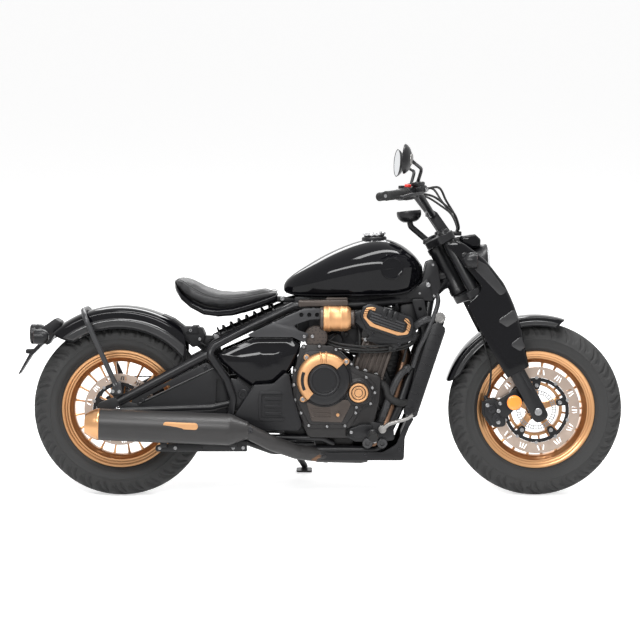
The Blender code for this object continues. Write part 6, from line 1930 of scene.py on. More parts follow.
@dataclass
class Headlight:
    """The round lamp with its bracket and the small cowl above it."""

    z: float = 0.848

    def build(self) -> None:
        """Makes the bucket, lens, bracket and cowl."""
        z = self.z
        bucket = Shape()
        bucket.turn((1.262, 0, z), (2.0, 0, z), [
            (0.02, -0.002), (0.034, 0.002), (0.05, 0.012), (0.06, 0.024), (0.069, 0.04), (0.074, 0.054),
            (0.0775, 0.064), (0.079, 0.07), (0.079, 0.081), (0.0772, 0.084), (0.0735, 0.084), (0.072, 0.06),
        ], 80)
        bucket.done("headlight_bucket", SATIN_BLACK, "front_end", ["headlight"], soft=0.0006)
        bowl = Shape()
        bowl.turn(
            (1.262, 0, z), (2.0, 0, z),
            [(0.0705, 0.0605), (0.0705, 0.078), (0.06, 0.0705), (0.04, 0.064), (0.018, 0.0615)], 64,
        )
        bowl.turn((1.262, 0, z), (2.0, 0, z), [(0.02, 0.061), (0.022, 0.074), (0.018, 0.082), (0.008, 0.084)], 40)
        bowl.done("headlight_reflector", CHROME, "front_end")
        lens = Shape()
        lens.turn(
            (1.262, 0, z), (2.0, 0, z),
            [(0.0728, 0.08), (0.072, 0.0855), (0.064, 0.0905), (0.046, 0.0945), (0.022, 0.0962), (0.006, 0.0965)], 72,
        )
        lens.done("headlight_lens", LAMP_GLASS, "front_end")
        bracket = Shape()
        bracket.plate(rounded([(1.232, 0.905), (1.262, 0.965), (1.29, 0.88), (1.262, 0.815)], 0.01), -0.02, 0.02, 0.003)
        bracket.plate(
            rounded([(1.208, 0.945), (1.248, 0.955), (1.262, 0.925), (1.23, 0.905)], 0.008), -0.03, 0.03, 0.003,
        )
        bracket.done("headlight_bracket", SATIN_BLACK, "front_end")
        cowl = Shape()
        rings = []
        for y, shrink in (
            (-0.05, 0.008), (-0.046, 0.003), (-0.036, 0.0), (0.0, 0.0), (0.036, 0.0), (0.046, 0.003), (0.05, 0.008),
        ):
            outline = rounded([
                (1.238 + shrink, 0.955 - shrink), (1.3, 0.965 - shrink), (1.322 - shrink, 0.945 - shrink),
                (1.32 - shrink, 0.915 + shrink), (1.262 + shrink, 0.905 + shrink),
            ], 0.012, 5)
            rings.append([(x, y, h) for x, h in outline])
        cowl.loft(rings)
        cowl.done("headlight_cowl", GLOSS_BLACK, "front_end", sharp=50)


@dataclass
class Bars:
    """The handlebar with its risers, and on each end a grip, pods, lever, reservoir and mirror."""

    bar: float = 0.0115

    def build(self) -> None:
        """Makes the bar, both ends, the cables and the instrument."""
        bar = Shape()
        bar.pipe(bent([
            (0.965, -0.42, 1.102), (1.085, -0.235, 1.116), (1.142, -0.09, 1.034), (1.142, 0.09, 1.034),
            (1.085, 0.235, 1.116), (0.965, 0.42, 1.102),
        ], 0.05, 8), self.bar, 22)
        bar.done("handlebar_tube", SATIN_BLACK, "front_end", ["handlebar"])
        risers, bolts = Shape(), Shape()
        for side in SIDES.values():
            y = side * 0.055
            outline = rounded([(1.12, 1.04), (1.132, 1.06), (1.16, 1.044), (1.214, 0.968), (1.18, 0.95)], 0.01)
            risers.plate(outline, y - 0.016, y + 0.016, 0.003)
            for shift in (-0.009, 0.009):
                bolts.bolt((1.135, y + shift, 1.05), (-0.55, 0, 0.83), 0.0045, 0.005)
        risers.block((1.122, -0.058, 1.026), (1.16, 0.058, 1.046), 0.004)
        risers.done("handlebar_risers", SATIN_BLACK, "front_end", soft=0.0006)
        bolts.done("handlebar_bolts", ZINC, "front_end", soft=0.0003)
        for word, side in SIDES.items():
            self._end(word, side)
        self._gauge()
        self._cables()

    def _end(self, word: str, side: int) -> None:
        """One bar end.

        Args:
            word: The side's name.
            side: Its sign on Y.
        """
        end, inner = Vector((0.962, side * 0.4245, 1.102)), Vector((1.085, side * 0.235, 1.116))
        along = (inner - end).normalized()
        ahead = Vector((0, 0, 1)).cross(along)
        ahead = (ahead if ahead.x > 0 else -ahead).normalized()
        up = Vector((0, 0, 1))
        grip = Shape()
        profile = [(0.0125, -0.001), (0.017, 0.0005), (0.0175, 0.004), (0.0165, 0.006)]
        for k in range(22):
            at = 0.01 + 0.005 * k
            profile += [(0.016, at), (0.0168, at + 0.0012), (0.0168, at + 0.0034), (0.016, at + 0.0046)]
        profile += [(0.0165, 0.121), (0.02, 0.123), (0.0205, 0.126), (0.0195, 0.1285)]
        grip.turn(end, inner, profile, 36)
        grip.done(f"grip_{word}", RUBBER, "front_end", [f"hand_control_{word}"])
        weight = Shape()
        weight.turn(end, inner, [(0.004, -0.003), (0.0062, -0.0028), (0.0062, 0.0004)], 24)
        weight.done(f"bar_end_{word}", ZINC, "front_end")
        pods = Shape()
        pods.turn(
            end + along * 0.13, inner,
            [(0.0175, 0), (0.0235, 0.002), (0.024, 0.006), (0.024, 0.04), (0.0228, 0.043), (0.0185, 0.045)], 40,
        )
        base = end + along * 0.19
        pods.turn(
            base - along * 0.011, base + along, [(0.015, 0), (0.0185, 0.001), (0.0185, 0.021), (0.015, 0.022)], 36,
        )
        turn = Matrix.Translation(base + ahead * 0.012 + up * 0.01) @ Matrix((
            ahead, along, ahead.cross(along),
        )).transposed().to_4x4()
        flip = 1 if (ahead.cross(along)).z > 0 else -1
        pods.block(
            (-0.01, -0.022, min(flip * -0.01, flip * 0.016)), (0.032, 0.024, max(flip * -0.01, flip * 0.016)), 0.005,
            at=turn,
        )
        pods.block(
            (-0.004, -0.03, min(flip * 0.014, flip * 0.03)), (0.028, 0.018, max(flip * 0.014, flip * 0.03)), 0.006,
            at=turn,
        )
        pods.done(f"switch_pods_{word}", SATIN_BLACK, "front_end", soft=0.0006)
        bits = Shape()
        for spot in (-0.02, 0.008):
            bits.bolt(turn @ Vector((0.012, spot, flip * 0.0295)), up, 0.0035, 0.002)
        bits.bolt(turn @ Vector((0.034, 0.01, 0.0)), ahead, 0.0065, 0.007, hexed=True)
        bits.done(f"reservoir_screws_{word}", ZINC, "front_end", soft=0.0003)
        switches = Shape()
        rear = -ahead
        spot = end + along * 0.15
        switches.turn(
            spot + rear * 0.018 + up * 0.004, spot + rear + up * 0.004, [(0.0072, 0), (0.0072, 0.009), (0.006, 0.0105)],
            28,
        )
        switches.block(
            (-0.008, -0.012, 0.0), (0.008, 0.012, 0.012), 0.003,
            at=Matrix.Translation(spot + up * 0.0215) @ Matrix.Rotation(
                math.atan2(along.y, along.x) - math.pi / 2, 4, "Z",
            ),
        )
        switches.done(f"thumb_switch_{word}", RED if side < 0 else PLASTIC, "front_end", soft=0.0005)
        buttons = Shape()
        buttons.turn(
            spot + along * 0.014 + rear * 0.02 - up * 0.006, spot + along * 0.014 + rear - up * 0.006,
            [(0.005, 0), (0.005, 0.006), (0.004, 0.007)], 20,
        )
        buttons.turn(
            spot - along * 0.004 + rear * 0.019 - up * 0.012, spot - along * 0.004 + rear - up * 0.012,
            [(0.0045, 0), (0.0045, 0.006), (0.0035, 0.007)], 20,
        )
        buttons.done(f"buttons_{word}", PLASTIC, "front_end")
        lever = Shape()
        start = end + along * 0.182 + ahead * 0.022
        route = flowing([
            start, start + ahead * 0.026 - along * 0.012, start + ahead * 0.035 - along * 0.06,
            start + ahead * 0.034 - along * 0.11, start + ahead * 0.028 - along * 0.15 - up * 0.006,
            start + ahead * 0.03 - along * 0.166 - up * 0.007,
        ], 8)
        radii = [0.0075] * 8 + [0.0062] * 8 + [0.0055] * 8 + [0.005] * 12 + [0.006, 0.0068, 0.0068, 0.0062, 0.0045]
        lever.pipe(route, radii, 14)
        lever.turn(start + ahead * 0.006 - up * 0.012, start + ahead * 0.006 + up, [(0.0085, 0), (0.0085, 0.022)], 24)
        lever.done(f"lever_{word}", SATIN_BLACK, "front_end")
        self._mirror(word, side, base + ahead * 0.012 + up * 0.024)

    def _mirror(self, word: str, side: int, foot: Vector) -> None:
        """One round mirror on its bent stalk.

        Args:
            word: The side's name.
            side: Its sign on Y.
            foot: Where the stalk starts.
        """
        head = Vector((1.03, side * 0.372, 1.232))
        face = Vector((-0.97, -0.2 * side, 0.06)).normalized()
        back = head - face * 0.02
        stalk = Shape()
        stalk.pipe(
            bent([foot, foot + Vector((0.018, side * 0.022, 0.06)), back + Vector((0.012, 0, -0.012)), back], 0.025, 7),
            0.0062, 14,
        )
        stalk.turn(
            foot - Vector((0, 0, 0.002)), foot + Vector((0.1, side * 0.12, 0.333)),
            [(0.0095, 0), (0.0095, 0.01), (0.0065, 0.014)], 6,
        )
        stalk.done(f"mirror_stalk_{word}", SATIN_BLACK, "front_end")
        shell = Shape()
        shell.turn(
            head, head + face,
            [
                (0.01, -0.0245), (0.026, -0.0215), (0.04, -0.015), (0.0495, -0.006), (0.053, 0.0), (0.053, 0.0015),
                (0.0505, 0.0018), (0.05, 0.0),
            ],
            72,
        )
        shell.done(f"mirror_shell_{word}", SATIN_BLACK, "front_end")
        boss = Shape()
        boss.turn(head, head + face, [(0.008, -0.029), (0.018, -0.027), (0.0215, -0.024), (0.0215, -0.02)], 40)
        boss.done(f"mirror_boss_{word}", CAST_SILVER, "front_end", soft=0.0004)
        glass = Shape()
        glass.turn(head, head + face, [(0.0498, -0.001), (0.0496, 0.0008)], 64)
        glass.done(f"mirror_glass_{word}", MIRROR, "front_end")

    def _gauge(self) -> None:
        """The round instrument on its stalk."""
        at, up = Vector((1.061, 0, 1.03)), Vector((-0.1, 0, 1.0)).normalized()
        pod = Shape()
        pod.turn(at - up * 0.022, at + up, [
            (0.016, -0.001), (0.024, 0.0), (0.034, 0.006), (0.041, 0.014), (0.045, 0.024), (0.0455, 0.036),
            (0.044, 0.041), (0.0415, 0.042), (0.04, 0.036),
        ], 72)
        pod.pipe(bent([at - up * 0.014, (1.066, 0, 0.992), (1.13, 0, 0.938)], 0.02, 8), 0.011, 20)
        pod.block((1.112, -0.022, 0.925), (1.15, 0.022, 0.948), 0.004)
        pod.done("instrument_pod", SATIN_BLACK, "front_end", ["instrument"], soft=0.0006)
        dial = Shape()
        dial.turn(at - up * 0.022, at + up, [(0.04, 0.0355), (0.0398, 0.0372)], 64)
        dial.done("instrument_dial", DIAL, "front_end")
        marks = Shape()
        frame_up = towards(at + up * 0.0152, at + up)
        mark = Shape()
        mark.block((0.03, -0.0006, 0.0), (0.037, 0.0006, 0.0004))
        marks.spread(mark, [frame_up @ Matrix.Rotation(math.radians(150 - 20 * k), 4, "Z") for k in range(13)])
        marks.done("instrument_marks", WHITE_MARK, "front_end")

    def _cables(self) -> None:
        """The brake hose, clutch cable and wiring from both ends to the guide behind the lamp."""
        hoses = Shape()
        for side, spread in ((-1, 0.0), (-1, 0.016), (1, 0.0), (1, 0.016)):
            start = Vector((1.108 - spread * 1.2, side * (0.262 + spread), 1.128 - spread))
            hoses.pipe(flowing([
                start, start + Vector((0.05, side * -0.036, 0.004 - spread)),
                (1.188, side * (0.15 + spread), 1.086 - spread * 1.2), (1.222, side * (0.085 + spread), 1.036),
                (1.24, side * (0.042 + spread), 0.99), (1.234, side * (0.012 + spread * 0.5), 0.968),
            ], 8), 0.0042, 12)
        hoses.done("bar_cables", RUBBER, "front_end", ["control_cables"])
        guide = Shape()
        guide.block((1.218, -0.034, 0.958), (1.252, 0.034, 0.974), 0.003)
        guide.done("cable_guide", SATIN_BLACK, "front_end")


@dataclass
class Engine:
    """The parallel twin: cases, covers, cylinders, heads and the intake between them."""

    half_width: float = 0.15
    clutch: tuple = (0.748, 0.439)
    pump: tuple = (0.872, 0.392)
    generator: tuple = (0.8, 0.43)
    horn: tuple = (0.718, 0.592)
    clutch_ears: tuple = (40, 128, 222)
    pump_ears: tuple = (20, 140, 262)

    def build(self) -> None:
        """Makes all of the engine."""
        self._case()
        self._clutch_cover()
        self._clutch_trim()
        self._pump_cover()
        self._sump()
        self._left_cover()
        self._cylinders()
        for word, side in SIDES.items():
            self._head_cover(word, side)
        self._intake()
        self._bay()

    def _bay(self) -> None:
        """What crowds the space round the engine: tray, coils, throttle bodies, starter, filter and loom."""
        tray = Shape()
        tray.plate(rounded([
            (0.64, 0.69), (0.64, 0.736), (0.96, 0.741), (1.05, 0.753), (1.088, 0.775), (1.104, 0.74), (1.07, 0.716),
            (0.9, 0.694),
        ], 0.008), -0.068, 0.068, 0.004)
        for k in range(8):
            x = 0.69 + 0.046 * k
            tray.block((x - 0.005, -0.0715, 0.698), (x + 0.005, 0.0715, 0.734), 0.0015)
        tray.plate(rounded([(0.65, 0.596), (0.65, 0.7), (0.702, 0.7), (0.702, 0.596)], 0.008), -0.076, 0.076, 0.004)
        tray.done("loom_tray", PLASTIC, "frame")
        units = Shape()
        units.plate(
            rounded([(1.03, 0.612), (1.09, 0.618), (1.102, 0.7), (1.062, 0.73), (1.026, 0.705)], 0.01), -0.048, 0.048,
            0.004,
        )
        for y in (-0.03, 0.03):
            units.turn(
                (1.036, y, 0.655), (0.9, y, 0.662), [(0.016, 0), (0.016, 0.03), (0.01, 0.034), (0.01, 0.056)], 24,
            )
        units.plate(
            rounded([(0.846, 0.6), (0.905, 0.616), (0.914, 0.664), (0.888, 0.702), (0.846, 0.702)], 0.01), -0.086,
            0.086, 0.004,
        )
        units.across(0.786, 0.577, -0.098, 1, [
            (0.026, 0.0), (0.031, 0.004), (0.031, 0.06), (0.033, 0.062), (0.033, 0.12), (0.031, 0.124), (0.031, 0.19),
            (0.026, 0.196),
        ], 44)
        units.plate(
            rounded([(0.962, 0.418), (1.002, 0.424), (1.034, 0.56), (0.99, 0.585)], 0.006), -0.036, 0.036, 0.003,
        )
        for k in range(7):
            z = 0.44 + 0.018 * k
            units.block((0.962 + 0.16 * (z - 0.418), -0.039, z), (1.006 + 0.24 * (z - 0.424), 0.039, z + 0.005), 0.001)
        units.turn(
            (0.94, -0.062, 0.3), (1.0, -0.082, 0.3),
            [(0.03, 0.0), (0.034, 0.003), (0.034, 0.052), (0.031, 0.058), (0.018, 0.06)], 40,
        )
        units.plate(rounded([(0.806, 0.545), (0.89, 0.54), (0.9, 0.62), (0.806, 0.628)], 0.01), -0.09, 0.09, 0.005)
        units.plate(
            rounded([(0.925, 0.29), (0.982, 0.305), (1.0, 0.42), (0.974, 0.47), (0.925, 0.46)], 0.01), -0.058, 0.018,
            0.004,
        )
        units.plate(rounded([(0.69, 0.54), (0.74, 0.56), (0.74, 0.62), (0.69, 0.62)], 0.008), -0.09, 0.09, 0.004)
        units.block((0.632, -0.03, 0.44), (0.665, 0.03, 0.512), 0.004)
        units.block((0.84, -0.03, 0.518), (0.872, 0.03, 0.552), 0.004)
        units.block((0.998, -0.03, 0.676), (1.03, 0.03, 0.712), 0.004)
        for x, z in ((0.828, 0.6), (0.868, 0.566), (0.944, 0.33), (0.966, 0.44)):
            units.across(x, z, -0.1, 1, [(0.007, 0.0), (0.009, 0.003), (0.009, 0.06)], 20)
        units.done("coils_and_throttle", SATIN_BLACK, "frame", soft=0.0005)
        loom = Shape()
        for dy, dz, size in ((0.0, 0.0, 0.0052), (-0.004, 0.012, 0.0038), (0.006, -0.01, 0.0036)):
            loom.pipe(flowing([
                (0.748, -0.12 + dy, 0.575 + dz), (0.79, -0.158 + dy, 0.56 + dz), (0.86, -0.166 + dy, 0.55 + dz),
                (0.93, -0.158 + dy, 0.548 + dz), (1.0, -0.142 + dy, 0.553 + dz), (1.056, -0.126 + dy, 0.566 + dz),
                (1.092, -0.112 + dy, 0.6 + dz),
            ], 7), size, 10)
        for start, end in (
            ((0.862, -0.086, 0.64), (0.874, -0.132, 0.52)), ((1.05, -0.05, 0.64), (1.034, -0.118, 0.5)),
            ((0.792, -0.08, 0.6), (0.735, -0.126, 0.565)),
        ):
            a, b = Vector(start), Vector(end)
            loom.pipe(
                flowing(
                    [
                        a, a.lerp(b, 0.3) + Vector((0.01, -0.026, 0.004)),
                        a.lerp(b, 0.75) + Vector((0.004, -0.016, -0.006)), b,
                    ],
                    7,
                ),
                0.0048, 10,
            )
        for x, z in ((0.815, 0.556), (0.905, 0.549), (0.985, 0.551)):
            loom.turn((x, -0.156, z), (x + 0.1, -0.156, z - 0.004), [(0.0105, -0.004), (0.0105, 0.006)], 14)
        loom.done("engine_loom", RUBBER, "frame")
        lower = Shape()
        route = flowing(
            [
                (1.06, -0.112, 0.484), (1.024, -0.12, 0.452), (0.992, -0.122, 0.39), (0.966, -0.12, 0.316),
                (0.948, -0.104, 0.262),
            ],
            14,
        )
        lower.pipe(route, [0.0125 + 0.0016 * (k % 2) for k in range(len(route))], 16)
        for at in (0.1, 0.9):
            spot = route[int(at * (len(route) - 1))]
            lower.turn(spot, route[int(at * (len(route) - 1)) + 1], [(0.0162, -0.004), (0.0162, 0.005)], 24)
        lower.done("breather_hose", HOSE, "frame")

    def _case(self) -> None:
        """The crankcase with its right-hand flange and bolts."""
        w = self.half_width
        case = Shape()
        outline = rounded([
            (0.652, 0.3), (0.69, 0.226), (0.85, 0.222), (0.925, 0.262), (0.95, 0.36), (0.955, 0.452), (0.86, 0.478),
            (0.77, 0.56), (0.69, 0.56), (0.655, 0.5),
        ], 0.02, 5)
        case.plate(outline, -w, w - 0.03, 0.01)
        case.plate(
            rounded(
                [
                    (0.74, 0.3), (0.76, 0.24), (0.85, 0.232), (0.915, 0.27), (0.94, 0.36), (0.935, 0.44), (0.84, 0.47),
                    (0.745, 0.5),
                ],
                0.02,
            ),
            w - 0.032, w, 0.01,
        )
        for y in (-0.05, 0.05):
            case.plate(
                outline, y - 0.0025, y + 0.0025, 0.0012,
                at=Matrix.Diagonal((1.012, 1, 1.012, 1)) @ Matrix.Translation((-0.0096, 0.0, -0.0046)),
            )
        case.plate(rounded([(0.7, 0.24), (0.86, 0.24), (0.85, 0.176), (0.72, 0.176)], 0.014), -0.092, 0.092, 0.005)
        for k in range(9):
            y = -0.08 + 0.02 * k
            case.plate(
                [(0.726, 0.19), (0.846, 0.19), (0.844, 0.1765), (0.728, 0.1765)], y - 0.002, y + 0.002,
                at=Matrix.Translation((0, 0, -0.0015)),
            )
        case.done("crankcase_body", ENGINE_BLACK, "frame", ["crankcase"])
        flange = Shape()
        edge = rounded([
            (0.693, 0.566), (0.66, 0.556), (0.645, 0.49), (0.632, 0.47), (0.632, 0.36), (0.656, 0.316), (0.682, 0.262),
            (0.84, 0.262), (0.864, 0.3), (0.884, 0.334), (0.928, 0.354), (0.936, 0.418), (0.9, 0.456), (0.862, 0.48),
            (0.826, 0.52), (0.778, 0.562),
        ], 0.018, 6)
        flange.plate(edge, -w - 0.011, -w + 0.02, 0.003)
        flange.plate(rounded([
            (0.7, 0.545), (0.672, 0.535), (0.655, 0.48), (0.645, 0.46), (0.645, 0.372), (0.668, 0.326), (0.694, 0.276),
            (0.828, 0.276), (0.85, 0.306), (0.874, 0.346), (0.916, 0.366), (0.922, 0.41), (0.888, 0.446), (0.85, 0.468),
            (0.816, 0.508), (0.77, 0.545),
        ], 0.018, 6), -w - 0.017, -w, 0.004)
        bolts = Shape()
        for x, z in (
            (0.674, 0.5575), (0.642, 0.474), (0.6385, 0.42), (0.642, 0.366), (0.664, 0.318), (0.692, 0.272),
            (0.758, 0.269), (0.823, 0.2715), (0.862, 0.318), (0.916, 0.352), (0.931, 0.392), (0.9, 0.447),
            (0.846, 0.496), (0.79, 0.548), (0.73, 0.56),
        ):
            flange.across(x, z, -w - 0.004, -1, [(0.0095, 0), (0.0095, 0.0085)], 24)
            bolts.bolt((x, -w - 0.0125, z), (0, -1, 0), 0.005, 0.005)
        flange.done("engine_cover_flange", ENGINE_BLACK, "frame")
        bolts.done("engine_cover_bolts", ZINC, "frame", soft=0.0004)

    def _clutch_cover(self) -> None:
        """The stepped round cover with its blank disc and raised ring."""
        x, z = self.clutch
        w = self.half_width
        cover = Shape()
        cover.across(x, z, -w, -1, [
            (0.1, 0.01), (0.1, 0.022), (0.0975, 0.026), (0.094, 0.028), (0.0925, 0.036), (0.088, 0.0425),
            (0.08, 0.0465), (0.072, 0.048), (0.06, 0.0485), (0.0575, 0.05), (0.0565, 0.056), (0.0545, 0.059),
            (0.0515, 0.0598), (0.049, 0.059), (0.048, 0.0572), (0.03, 0.0576),
        ], 120)
        cover.across(
            x, z, -w, -1, [(0.0435, 0.057), (0.0435, 0.0584), (0.0425, 0.0588), (0.0415, 0.0584), (0.0415, 0.057)], 90,
            closed=True,
        )
        cover.done("clutch_cover", SATIN_BLACK, "frame", soft=0.0004)
        ring = Shape()
        ring.across(
            x, z, -w, -1, [(0.05, 0.0585), (0.05, 0.0602), (0.0492, 0.0606), (0.0484, 0.0602), (0.0484, 0.0585)], 100,
            closed=True,
        )
        ring.done("clutch_cover_ring", DARK_GREY, "frame")

    def _clutch_trim(self) -> None:
        """The bronze trim: most of a ring, dished, with three bolt ears and a double rib."""
        x, z = self.clutch
        w = self.half_width
        trim = Shape()
        section = [
            (0.0605, 0.0515), (0.063, 0.0525), (0.08, 0.0515), (0.09, 0.048), (0.0965, 0.042), (0.099, 0.034),
            (0.0998, 0.018), (0.0965, 0.018), (0.0955, 0.033), (0.0935, 0.0395), (0.0885, 0.0445), (0.08, 0.0478),
            (0.0605, 0.0485),
        ]
        trim.arc((x, -w, z), (x, -1, z), section, 42, 230, 96)
        for degrees in (86, 98):
            a = math.radians(degrees)
            route = [
                (x + r * math.cos(a), -w - d, z + r * math.sin(a))
                for r, d in (
                    (0.063, 0.052), (0.08, 0.0515), (0.09, 0.0482), (0.0965, 0.0425), (0.0995, 0.034), (0.1, 0.022),
                )
            ]
            trim.pipe(flowing(route, 4), 0.004, 10)
        for degrees in self.clutch_ears:
            cx, cz = polar(self.clutch, 0.104, degrees)
            trim.across(cx, cz, -w - 0.0003, -1, [(0.011, 0), (0.011, 0.03), (0.0098, 0.032)], 28)
            web = Shape()
            web.loft([
                [
                    (p, q, d)
                    for p, q in rounded([(-0.016, -0.011), (0.004, -0.009), (0.004, 0.009), (-0.016, 0.011)], 0.003)
                ]
                for d in (0.018, 0.0315)
            ])
            turned = towards((x, -w, z), (x, -1, z)) @ Matrix.Rotation(math.radians(degrees), 4, "Z")
            trim.take(web.mesh, turned @ Matrix.Translation((0.104, 0, 0)))
        trim.done("clutch_trim_ring", BRONZE_SATIN, "frame", ["clutch_trim"], soft=0.0005, sharp=45)
        slot = Shape()
        slot.arc(
            (x, -w, z), (x, -1, z), [(0.074, 0.049), (0.085, 0.047), (0.085, 0.0512), (0.0795, 0.0535), (0.074, 0.054)],
            158, 206, 30,
        )
        slot.done("clutch_trim_slot", SATIN_BLACK, "frame")
        bolts = Shape()
        for degrees in self.clutch_ears:
            cx, cz = polar(self.clutch, 0.104, degrees)
            bolts.bolt((cx, -w - 0.0315, cz), (0, -1, 0), 0.0068, 0.005)
        bolts.done("clutch_trim_bolts", ZINC, "frame", soft=0.0004)

    def _pump_cover(self) -> None:
        """The small round cover in front, with its bronze cap."""
        x, z = self.pump
        w = self.half_width
        boss = Shape()
        boss.across(x, z, -w, -1, [
            (0.054, 0.004), (0.054, 0.016), (0.052, 0.019), (0.0475, 0.0205), (0.0465, 0.0255), (0.044, 0.0275),
            (0.0375, 0.0275), (0.0365, 0.024), (0.02, 0.024),
        ], 80)
        for degrees in self.pump_ears:
            boss.across(*polar(self.pump, 0.053, degrees), -w, -1, [(0.009, 0), (0.009, 0.02), (0.008, 0.0215)], 24)
        boss.done("pump_cover", ENGINE_BLACK, "frame", soft=0.0005)
        cap = Shape()
        cap.across(x, z, -w, -1, [
            (0.0352, 0.0235), (0.0352, 0.03), (0.0335, 0.0335), (0.03, 0.0342), (0.0275, 0.0335), (0.0265, 0.0322),
            (0.0235, 0.0322), (0.0225, 0.0335), (0.0205, 0.0335), (0.0195, 0.032), (0.01, 0.0324),
        ], 80)
        cap.done("pump_cover_cap", BRONZE_SATIN, "frame", soft=0.0003)
        groove = Shape()
        for radius in (0.025, 0.0145):
            groove.across(
                x, z, -w, -1,
                [(radius - 0.0011, 0.03), (radius + 0.0011, 0.03), (radius + 0.0011, 0.033), (radius - 0.0011, 0.033)],
                72, closed=True,
            )
        groove.done("pump_cap_grooves", SATIN_BLACK, "frame")
        bolts = Shape()
        for degrees in self.pump_ears:
            cx, cz = polar(self.pump, 0.053, degrees)
            bolts.bolt((cx, -w - 0.0215, cz), (0, -1, 0), 0.0052, 0.005)
        bolts.done("pump_cover_bolts", ZINC, "frame", soft=0.0003)

    def _sump(self) -> None:
        """The grooved lower plate with the oil sight glass."""
        w = self.half_width
        plate = Shape()
        plate.plate(
            rounded(
                [
                    (0.68, 0.366), (0.702, 0.288), (0.812, 0.284), (0.846, 0.352), (0.836, 0.366), (0.802, 0.366),
                    (0.778, 0.352), (0.712, 0.352),
                ],
                0.008,
            ),
            -w - 0.024, -w - 0.01, 0.003,
        )
        for k in range(3):
            z = 0.302 + 0.014 * k
            plate.plate(
                rounded([(0.702, z), (0.77, z), (0.77, z + 0.005), (0.702, z + 0.005)], 0.002), -w - 0.0265, -w - 0.02,
                0.001,
            )
        plate.across(
            0.797, 0.312, -w - 0.02, -1, [(0.0125, 0), (0.0125, 0.0065), (0.0105, 0.0075), (0.0095, 0.006)], 40,
        )
        plate.done("sump_plate", ENGINE_BROWN, "frame", soft=0.0006)
        glass = Shape()
        glass.across(0.797, 0.312, -w - 0.0225, -1, [(0.0093, 0), (0.0088, 0.003), (0.004, 0.0038)], 36)
        glass.done("oil_sight_glass", BRONZE, "frame")

    def _left_cover(self) -> None:
        """The generator cover, and the case's wall around the front pulley."""
        w = self.half_width
        left = Shape()
        left.across(*self.generator, w - 0.01, 1, [
            (0.094, 0.0), (0.094, 0.014), (0.091, 0.018), (0.088, 0.02), (0.088, 0.032), (0.084, 0.037), (0.072, 0.043),
            (0.062, 0.0455), (0.06, 0.048), (0.05, 0.048), (0.048, 0.045), (0.02, 0.045),
        ], 100)
        for k in range(6):
            left.across(*polar(self.generator, 0.092, 60 * k + 30), w - 0.004, 1, [(0.0095, 0), (0.0095, 0.016)], 20)
        left.done("generator_cover", ENGINE_BLACK, "frame", soft=0.0006)
        bolts = Shape()
        for k in range(6):
            x, z = polar(self.generator, 0.092, 60 * k + 30)
            bolts.bolt((x, w + 0.012, z), (0, 1, 0), 0.0055, 0.005)
        bolts.done("generator_cover_bolts", ZINC, "frame", soft=0.0003)
        x, z = FRONT_PULLEY
        wheel = Shape()
        teeth = [polar((x, z), 0.0366 if k % 4 in (0, 1) else 0.0388, 360 * k / 88) for k in range(88)]
        wheel.plate(teeth, 0.084, 0.106)
        wheel.across(x, z, 0.065, 1, [(0.02, 0), (0.02, 0.046), (0.016, 0.05)], 32)
        wheel.across(x, z, 0.106, 1, [(0.014, 0), (0.014, 0.01), (0.012, 0.012)], 6)
        wheel.done("front_belt_pulley", DARK_GREY, "frame", soft=0.0004)

    def _cylinders(self) -> None:
        """Barrels with cast ribs, the head with its flanges, studs and pipes."""
        tilt = STANCE.cylinders
        barrel = Shape(tilt)
        barrel.block((-0.058, -0.118, -0.01), (0.06, 0.118, 0.122), 0.008)
        for k in range(7):
            x = -0.05 + 0.017 * k
            for side in SIDES.values():
                barrel.block(
                    (x - (0.005 if k % 3 == 0 else 0.0026), side * 0.11, 0.006),
                    (x + (0.005 if k % 3 == 0 else 0.0026), side * 0.1262, 0.113), 0.0014,
                )
        for z in (0.02, 0.052, 0.084):
            barrel.block((-0.0575, -0.108, z - 0.003), (0.0575, 0.108, z + 0.003), 0.0014)
        barrel.block((-0.06, -0.126, -0.006), (0.06, 0.126, 0.006), 0.003)
        barrel.block((-0.064, -0.127, 0.112), (0.066, 0.127, 0.122), 0.003)
        barrel.done("cylinder_block", ENGINE_BROWN, "frame", ["cylinders"])
        head = Shape(tilt)
        head.plate(
            rounded(
                [(-0.07, 0.12), (0.072, 0.12), (0.072, 0.19), (0.05, 0.205), (-0.055, 0.205), (-0.07, 0.19)], 0.012,
            ),
            -0.128, 0.128, 0.006,
        )
        head.plate(
            rounded(
                [(-0.06, 0.196), (0.062, 0.196), (0.058, 0.236), (0.04, 0.248), (-0.036, 0.242), (-0.058, 0.23)], 0.01,
            ),
            -0.112, 0.112, 0.005,
        )
        for side in (-0.055, 0.055):
            head.pipe([(-0.06, side, 0.163), (-0.12, side, 0.19)], 0.024, 28)
            head.pipe([(-0.092, side, 0.177), (-0.104, side, 0.183)], 0.0275, 28)
            head.pipe([(0.06, side, 0.15), (0.092, side, 0.138)], 0.026, 28)
        head.done("cylinder_head", ENGINE_BLACK, "frame")
        studs = Shape(tilt)
        for side in SIDES.values():
            for x, z in ((-0.044, 0.01), (-0.012, 0.01), (0.03, 0.01), (-0.048, 0.118), (0.052, 0.118)):
                studs.across(
                    x, z, side * 0.122, side, [(0.0082, 0), (0.0082, 0.006), (0.0068, 0.0085), (0.003, 0.0085)], 24,
                )
        studs.done("cylinder_studs", ZINC, "frame", soft=0.0004)

    def _head_cover(self, word: str, side: int) -> None:
        """One slanted cover on the head's side: black body, bronze trim and four bars.

        Args:
            word: The side's name.
            side: Its sign on Y.
        """
        tilt = STANCE.cylinders

